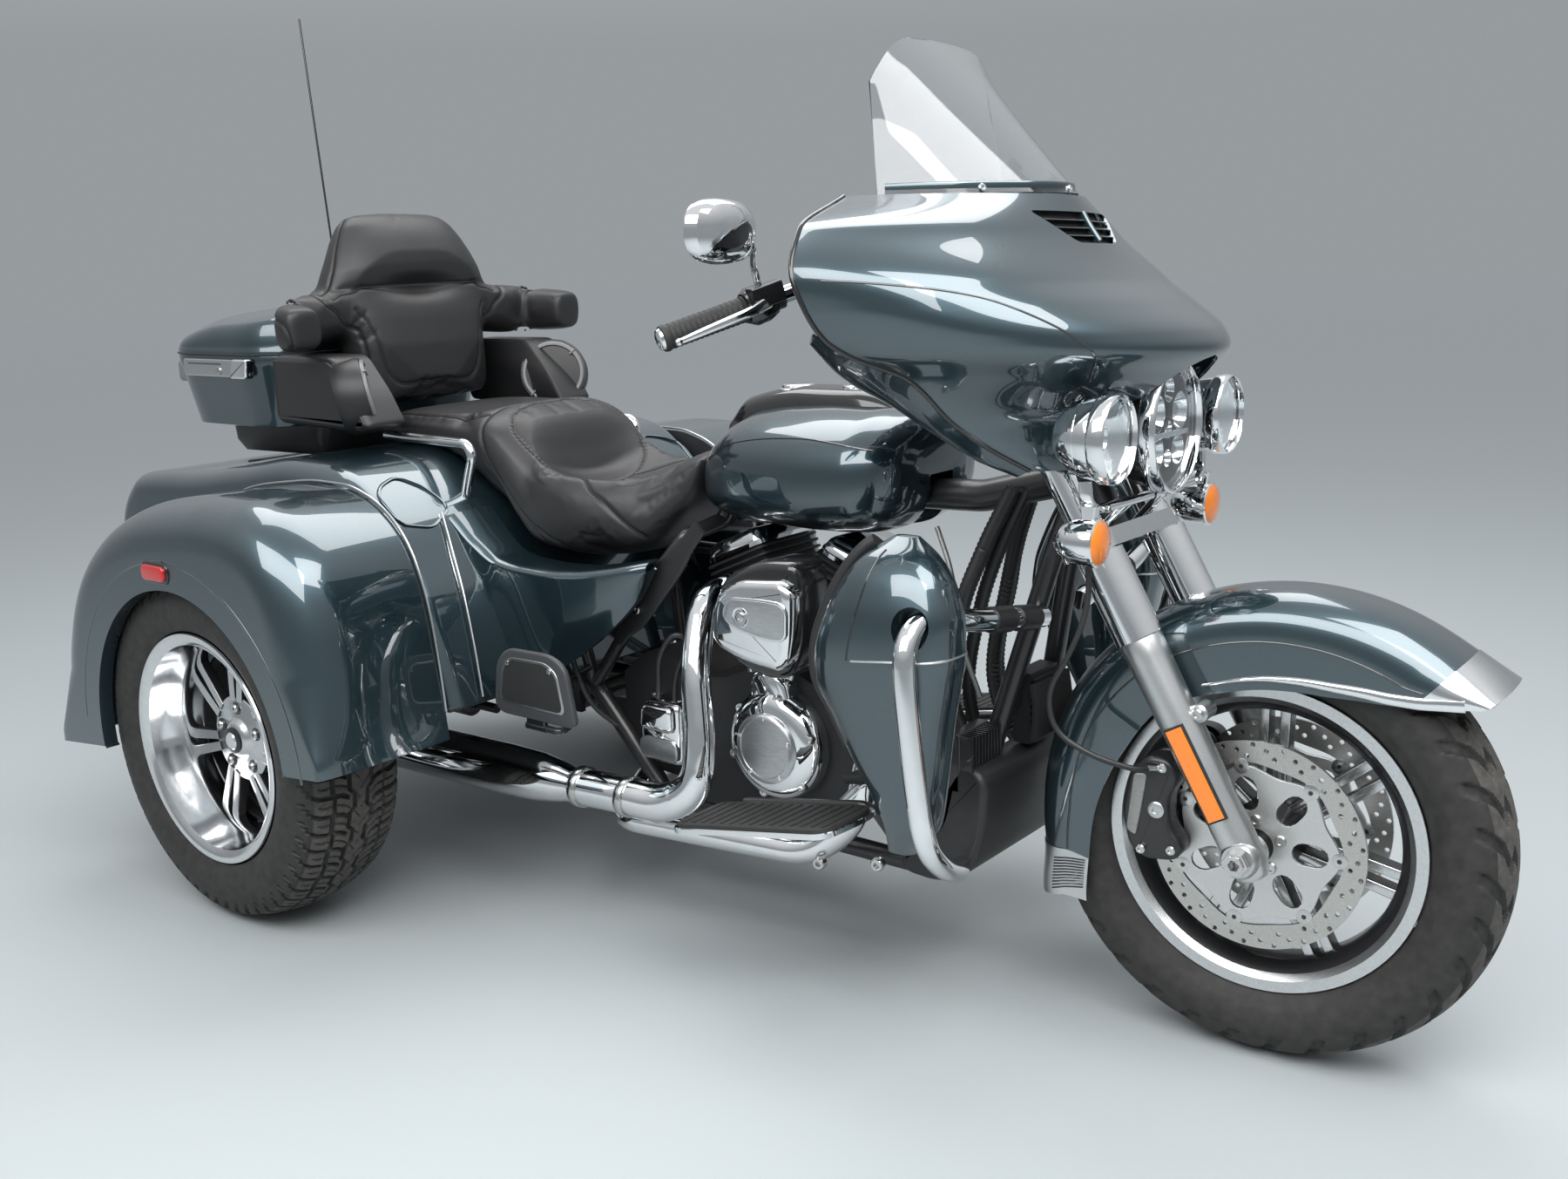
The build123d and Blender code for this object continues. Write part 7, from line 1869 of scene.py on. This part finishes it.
cam = [turned_piece("cam_body", [(118.4, 0), (118.4, 96), (128, 98), (146, 94), (158, 84), (164, 70),
                                 (164, 0)], from_axle((881, 0, 347)), chrome, 96, (0, -1, 0))]
cam.append(side_block("cam_top", [(836, 400), (926, 400), (910, 462), (884, 474), (856, 472), (836, 460)], 14,
                      118.4, 152, 10, chrome, -1))
cam.append(turned_piece("cam_disc", [(160, 0), (160, 60), (170, 60), (173, 57), (174, 50), (172.5, 49),
                                     (172.5, 0)], from_axle((881, 0, 347)), brushed, 72, (0, -1, 0)))
for index in range(6):
    x, z = polar(84, 60 * index + 18)
    cam.append(bolt("cam_bolt", from_axle((881 + x, -146, 347 + z)), (0, -1, 0), 0.0095, 0.012, steel, 24))
for index in range(5):
    x, z = polar(53, 72 * index + 18)
    cam.append(bolt("disc_screw", from_axle((881 + x, -172.5, 347 + z)), (0, -1, 0), 0.0042, 0.0022, chrome,
                    16))
cam.append(side_block("gear_cover", [(604, 280), (698, 280), (698, 392), (614, 392), (602, 360)], 16, 84.6,
                      178, 12, chrome, -1))
cam.append(side_block("gear_cover_top", [(612, 340), (690, 340), (690, 388), (618, 388)], 14, 170, 190, 9,
                      chrome, -1))
cam.append(side_block("gear_plate", [(606, 288), (694, 288), (694, 326), (606, 326)], 16, 174, 183, 3,
                      brushed, -1))
for x, z in ((600, 384), (704, 380), (702, 276), (602, 276)):
    cam.append(bolt("gear_bolt", from_axle((x, -120, z)), (0, -1, 0), 0.009, 0.012, steel, 24))
assembled("engine_cover_set", cam, "chassis", "engine_covers")

hull = [(x + radius * math.cos(a), z + radius * math.sin(a))
        for x, z, radius, start, end, count in ((664, 322, 72, 96, 270, 20), (880, 340, 92, -90, 96, 24))
        for a in np.linspace(math.radians(start), math.radians(end), count)]
levels = [(-height, amount) for height, amount in round_edge(0.1184, 0.214, 0.024, 7)]
primary = [moulded("primary", np.array(hull) * 0.001, levels, from_axle((0, 0, 0)), (1, 0, 0), (0, 0, 1),
                   chrome)]
primary.append(turned_piece("clutch_cap", [(210, 0), (210, 50), (213, 52), (216, 50), (216, 0)],
                            from_axle((680, 0, 324)), chrome, 56, (0, 1, 0)))
assembled("primary_cover_parts", primary, "chassis", "primary_cover")

# The exhausts: plated heat shields over each header, with a band clamp, and a long tapering silencer on each
# side; the left one crosses under the gearbox.
for side, header, radius in (
    (-1, [(750, -78, 590), (752, -160, 584), (781, -222, 492), (806, -244, 360), (800, -254, 286),
          (740, -264, 250), (660, -276, 254), (550, -285, 252)], 0.0262),
    (1, [(1035, -50, 592), (1098, -70, 562), (1088, -150, 400), (1066, -172, 262), (985, -184, 192),
         (600, -232, 188), (470, -20, 182), (452, 150, 192), (446, 285, 250)], 0.0228),
):
    route = bent(from_axle(header), 0.05, 14)
    walk = np.linspace(0, 1, len(route))
    radius = radius * (smooth_between(walk, (0, 0.45, 0.7, 1), (0.92, 1.0, 1.24, 1.24)) if side < 0 else 1.0)
    parts = [rod("header", chrome, route, radius, radius, (0.3, 1, 0.2) if side < 0 else (0.1, 0.2, 1), 2,
                 32)]
    start, end = from_axle((-500, side * 285, 228)), from_axle((560, side * 285, 252))
    run = (end - start) / np.linalg.norm(end - start)
    can = [(0, 26), (0, 33), (4, 36), (26, 39), (120, 44), (260, 46), (880, 46), (960, 43), (1020, 34),
           (1046, 28.5), (1060, 28), (1060, 20), (60, 20), (60, 26), (0, 26)]
    parts.append(turned_piece("can", can, start, chrome, 64, run))
    for at_x, wide in ((668, 34), (566, 35)):
        if side < 0:
            clamp_at = from_axle((at_x, -276 if at_x > 600 else -284, 253))
            ring = [(-8, wide - 4), (-8, wide), (-5, wide + 1.5), (5, wide + 1.5), (8, wide), (8, wide - 4),
                    (-8, wide - 4)]
            parts.append(turned_piece("clamp", ring, clamp_at, steel, 48, run))
    node_name = f"exhaust_{'right' if side < 0 else 'left'}"
    assembled(f"{node_name}_parts", parts, "chassis", node_name)

# The footboards: the rider's are alloy pans with a plated rim and a ribbed rubber mat; the passenger's fold
# up into D-shaped rubber-rimmed pads with a silver line round a black mat.
board_grey = material("board_grey", (0.045, 0.047, 0.050), roughness=0.42, variation=0.2, scale=900,
                      depth=0.3)
mat_rubber = material("mat_rubber", (0.014, 0.014, 0.014), roughness=0.62, variation=0.3, scale=1200,
                      depth=0.5)
pitch = math.radians(10.6)
board_x = np.array([math.cos(pitch), 0, math.sin(pitch)])
board_z = np.array([-math.sin(pitch), 0, math.cos(pitch)])
for side, word in ((-1, "right"), (1, "left")):
    at = from_axle((1045, side * 352, 316))
    outline = np.array([(-161, -64), (150, -68), (160, 20), (150, 66), (-161, 66)]) * (1, -side)
    outline = rounded(outline * 0.001, 0.030, 8)
    outline = outline if side < 0 else outline[::-1]
    board = [moulded("pan", outline, [(-0.005, 0.004), (-0.0035, 0), (0.0035, 0), (0.0048, 0.0015)], at,
                     tuple(board_x), (0, 1, 0), chrome)]
    board.append(moulded("mat", inset(outline, 0.007), [(0.004, 0), (0.0085, 0), (0.0100, 0.002)], at,
                         tuple(board_x), (0, 1, 0), mat_rubber))
    for index in range(15):
        offset = at + board_x * (-0.138 + index * 0.0195) + board_z * 0.0100
        board.append(beam("rib", mat_rubber, offset - (0, 0.050, 0), offset + (0, 0.050, 0), (0.0026, 0.004),
                          (0.0026, 0.004), tuple(board_x), 3))
    for reach in (-100, 100):
        hinge = at + board_x * reach * 0.001 + np.array([0, -side * 0.0745, 0])
        board.append(turned_piece("hinge", [(-12, 0), (-12, 4.7), (12, 4.7), (12, 0)], hinge, steel, 20,
                                  tuple(board_x)))
    assembled(f"footboard_{word}_parts", board, f"board_{word}", f"footboard_{word}")
    pad_loop = [(412, 392), (424, 470), (452, 498), (560, 500), (596, 482), (614, 386), (600, 378),
                (430, 378)]
    pad = [side_block("rim", pad_loop, 24, 328.2, 339.8, 4.5, board_grey, side, both=True)]
    inner = [(430, 400), (440, 462), (460, 484), (552, 486), (578, 470), (592, 398)]
    pad.append(side_block("silver", inner, 18, 338, 341.4, 1.2, satin, side))
    small = [(434, 404), (444, 460), (462, 480), (550, 482), (574, 467), (587, 402)]
    pad.append(side_block("mat", small, 16, 338, 342.2, 1.0, mat_rubber, side))
    for x, z in ((456, 472), (560, 472)):
        pad.append(bolt("mat_bolt", from_axle((x, side * 342, z)), (0, side, 0), 0.005, 0.002, steel, 18))
    pad.append(turned_piece("hinge", [(-24, 0), (-24, 6.8), (24, 6.8), (24, 0)],
                            from_axle((514, side * 334, 366)), gloss_black, 24, (1, 0, 0)))
    pad.append(beam("lug", gloss_black, from_axle((514, side * 334, 367)), from_axle((514, side * 334, 384)),
                    (0.046, 0.009), (0.046, 0.009), (0, 1, 0)))
    assembled(f"passenger_board_{word}_parts", pad, f"passenger_{word}", f"passenger_board_{word}")

# What stays as drawn in the frame of parts takes its finish here: black frame tubes and castings, plated
# bars and covers, a whip aerial, an oil cooler with black fins, and the smooth black dash moulding.
powder = material("powder_black", (0.014, 0.014, 0.015), roughness=0.34, spread=0.15, variation=0.2,
                  scale=1300, depth=0.25, Coat_Weight=0.3)
kept = {"frame": powder, "rear_axle": powder, "rear_shocks": powder, "final_drive": mat_rubber,
        "engine_case": engine_black, "grab_rails": chrome, "aerial": gloss_black, "oil_cooler": engine_black,
        "board_brackets": powder, "front_axle": steel, "fork_upper": chrome, "dash": black_plastic,
        "handlebar": chrome}
for node_name, finish in kept.items():
    for place_slot in cad[node_name].material_slots:
        place_slot.material = finish

# Cables and hoses: black sleeved cables from the bars to the head, a braided clutch line down the frame and
# the wiring that loops behind the passenger's board.
cables = []
for points, radius, finish in (
    ([(1240, -110, 1010), (1296, -96, 968), (1330, -70, 930), (1352, -40, 880)], 5.0, black_plastic),
    ([(1244, 110, 1010), (1300, 96, 968), (1334, 70, 930), (1356, 40, 880)], 5.0, black_plastic),
):
    cables.append(pipe("cable", from_axle(points), radius * 0.001, finish, 0.05, segments=12))
assembled("steering_cables", cables, "steering")
lines = []
for points, radius, finish in (
    ([(1236, -74, 470), (1214, -96, 560), (1190, -78, 660), (1150, -58, 724)], 4.0, mesh_metal),
    ([(700, -118, 470), (676, -150, 520), (640, -160, 470), (636, -158, 400), (612, -150, 330)], 5.0,
     black_plastic),
    ([(716, -110, 450), (690, -140, 486), (664, -148, 430), (660, -146, 350), (640, -140, 300)], 4.0,
     black_plastic),
    ([(470, -170, 470), (440, -190, 520), (462, -196, 440), (486, -180, 360), (520, -150, 320)], 5.0,
     black_plastic),
):
    lines.append(pipe("line", from_axle(points), radius * 0.001, finish, 0.05, segments=12))
# Ribbed looms behind the down tubes: their radius steps up and down every 4 mm
for y, reach, radius in ((-74, 0, 12.0), (-40, 14, 10.0), (46, 8, 12.0), (84, -6, 9.0)):
    way = along(np.array([(1262, y, 340), (1208, y, 400), (1180 + reach, y, 480), (1202 + reach, y, 600),
                          (1232 + reach, y * 0.7, 700), (1270 + reach, y * 0.4, 790)]), 120)
    ribs = (radius + 1.4 * (np.arange(120) % 2)) * 0.001
    lines.append(rod("loom", black_plastic, from_axle(way), ribs, ribs, (0, 1, 0), 2, 14))
strap = bent(from_axle([(758, -168, 706), (704, -172, 646), (640, -172, 582), (590, -170, 532),
                        (548, -166, 488)]), 0.05)
wide = smooth_between(np.linspace(0, 1, len(strap)), (0, 0.3, 0.7, 1), (0.014, 0.026, 0.030, 0.018))
lines.append(rod("strap", black_plastic, strap, 0.004, wide, (0, 1, 0), 4))
lines.append(bolt("strap_bolt", from_axle((612, -176, 552)), (0, -1, 0), 0.008, 0.005, steel, 24))
pedal = [(1010, -178, 262), (1060, -200, 300), (1118, -226, 352), (1150, -250, 372)]
lines.append(rod("pedal_arm", chrome, bent(from_axle(pedal), 0.03), 0.011, 0.006, (0, 1, 0), 3))
lines.append(beam("pedal_pad", mat_rubber, from_axle((1128, -262, 376)), from_axle((1190, -270, 390)),
                  (0.040, 0.014), (0.040, 0.014), (-0.2, 0, 0.98)))
for x, y, z in ((1015, -200, 191), (1139, -214, 223)):
    lines.append(bolt("bracket_bolt", from_axle((x, y, z)), (0.2, -1, 0), 0.011, 0.012, steel, 24))
assembled("frame_lines", lines, "chassis")

# The chin: a black moulding with rounded edges that closes the frame's nose under the oil cooler, whose black
# fins stand in a row down its front face. A finned regulator is bolted on over the chin's right end.
chin_outline = [(1150, 198), (1226, 194), (1282, 226), (1302, 292), (1308, 366), (1290, 390), (1254, 392),
                (1236, 366), (1226, 300), (1196, 262), (1150, 246)]
chin = side_block("chin", chin_outline, 36, -176, 176, 12, black_plastic, -1, both=True)
assembled("chin_moulding", [chin], "chassis", "chin_guard")
low, high = (np.array(corner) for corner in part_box("oil_cooler"))
fins = [side_block("regulator", [(1238, 348), (1262, 348), (1262, 440), (1238, 440)], 5, 90, 176, 3, powder,
                   -1)]
for y in np.linspace(-172, -94, 10):
    fins.append(beam("regulator_fin", powder, from_axle((1266, y, 350)), from_axle((1266, y, 438)),
                     (0.0034, 0.036), (0.0034, 0.036), (1, 0, 0)))
for y in np.linspace(low[1] + 0.008, high[1] - 0.008, 26):
    bow = np.sin(np.linspace(0, math.pi, 9))
    route = np.column_stack([high[0] + 0.001 + 0.006 * bow, np.full(9, y),
                             np.linspace(low[2] + 0.012, high[2] - 0.012, 9)])
    fins.append(rod("fin", engine_black, route, 0.0012, 0.005, (0, 1, 0), 3, 8))
assembled("cooler_fins", fins, "chassis")
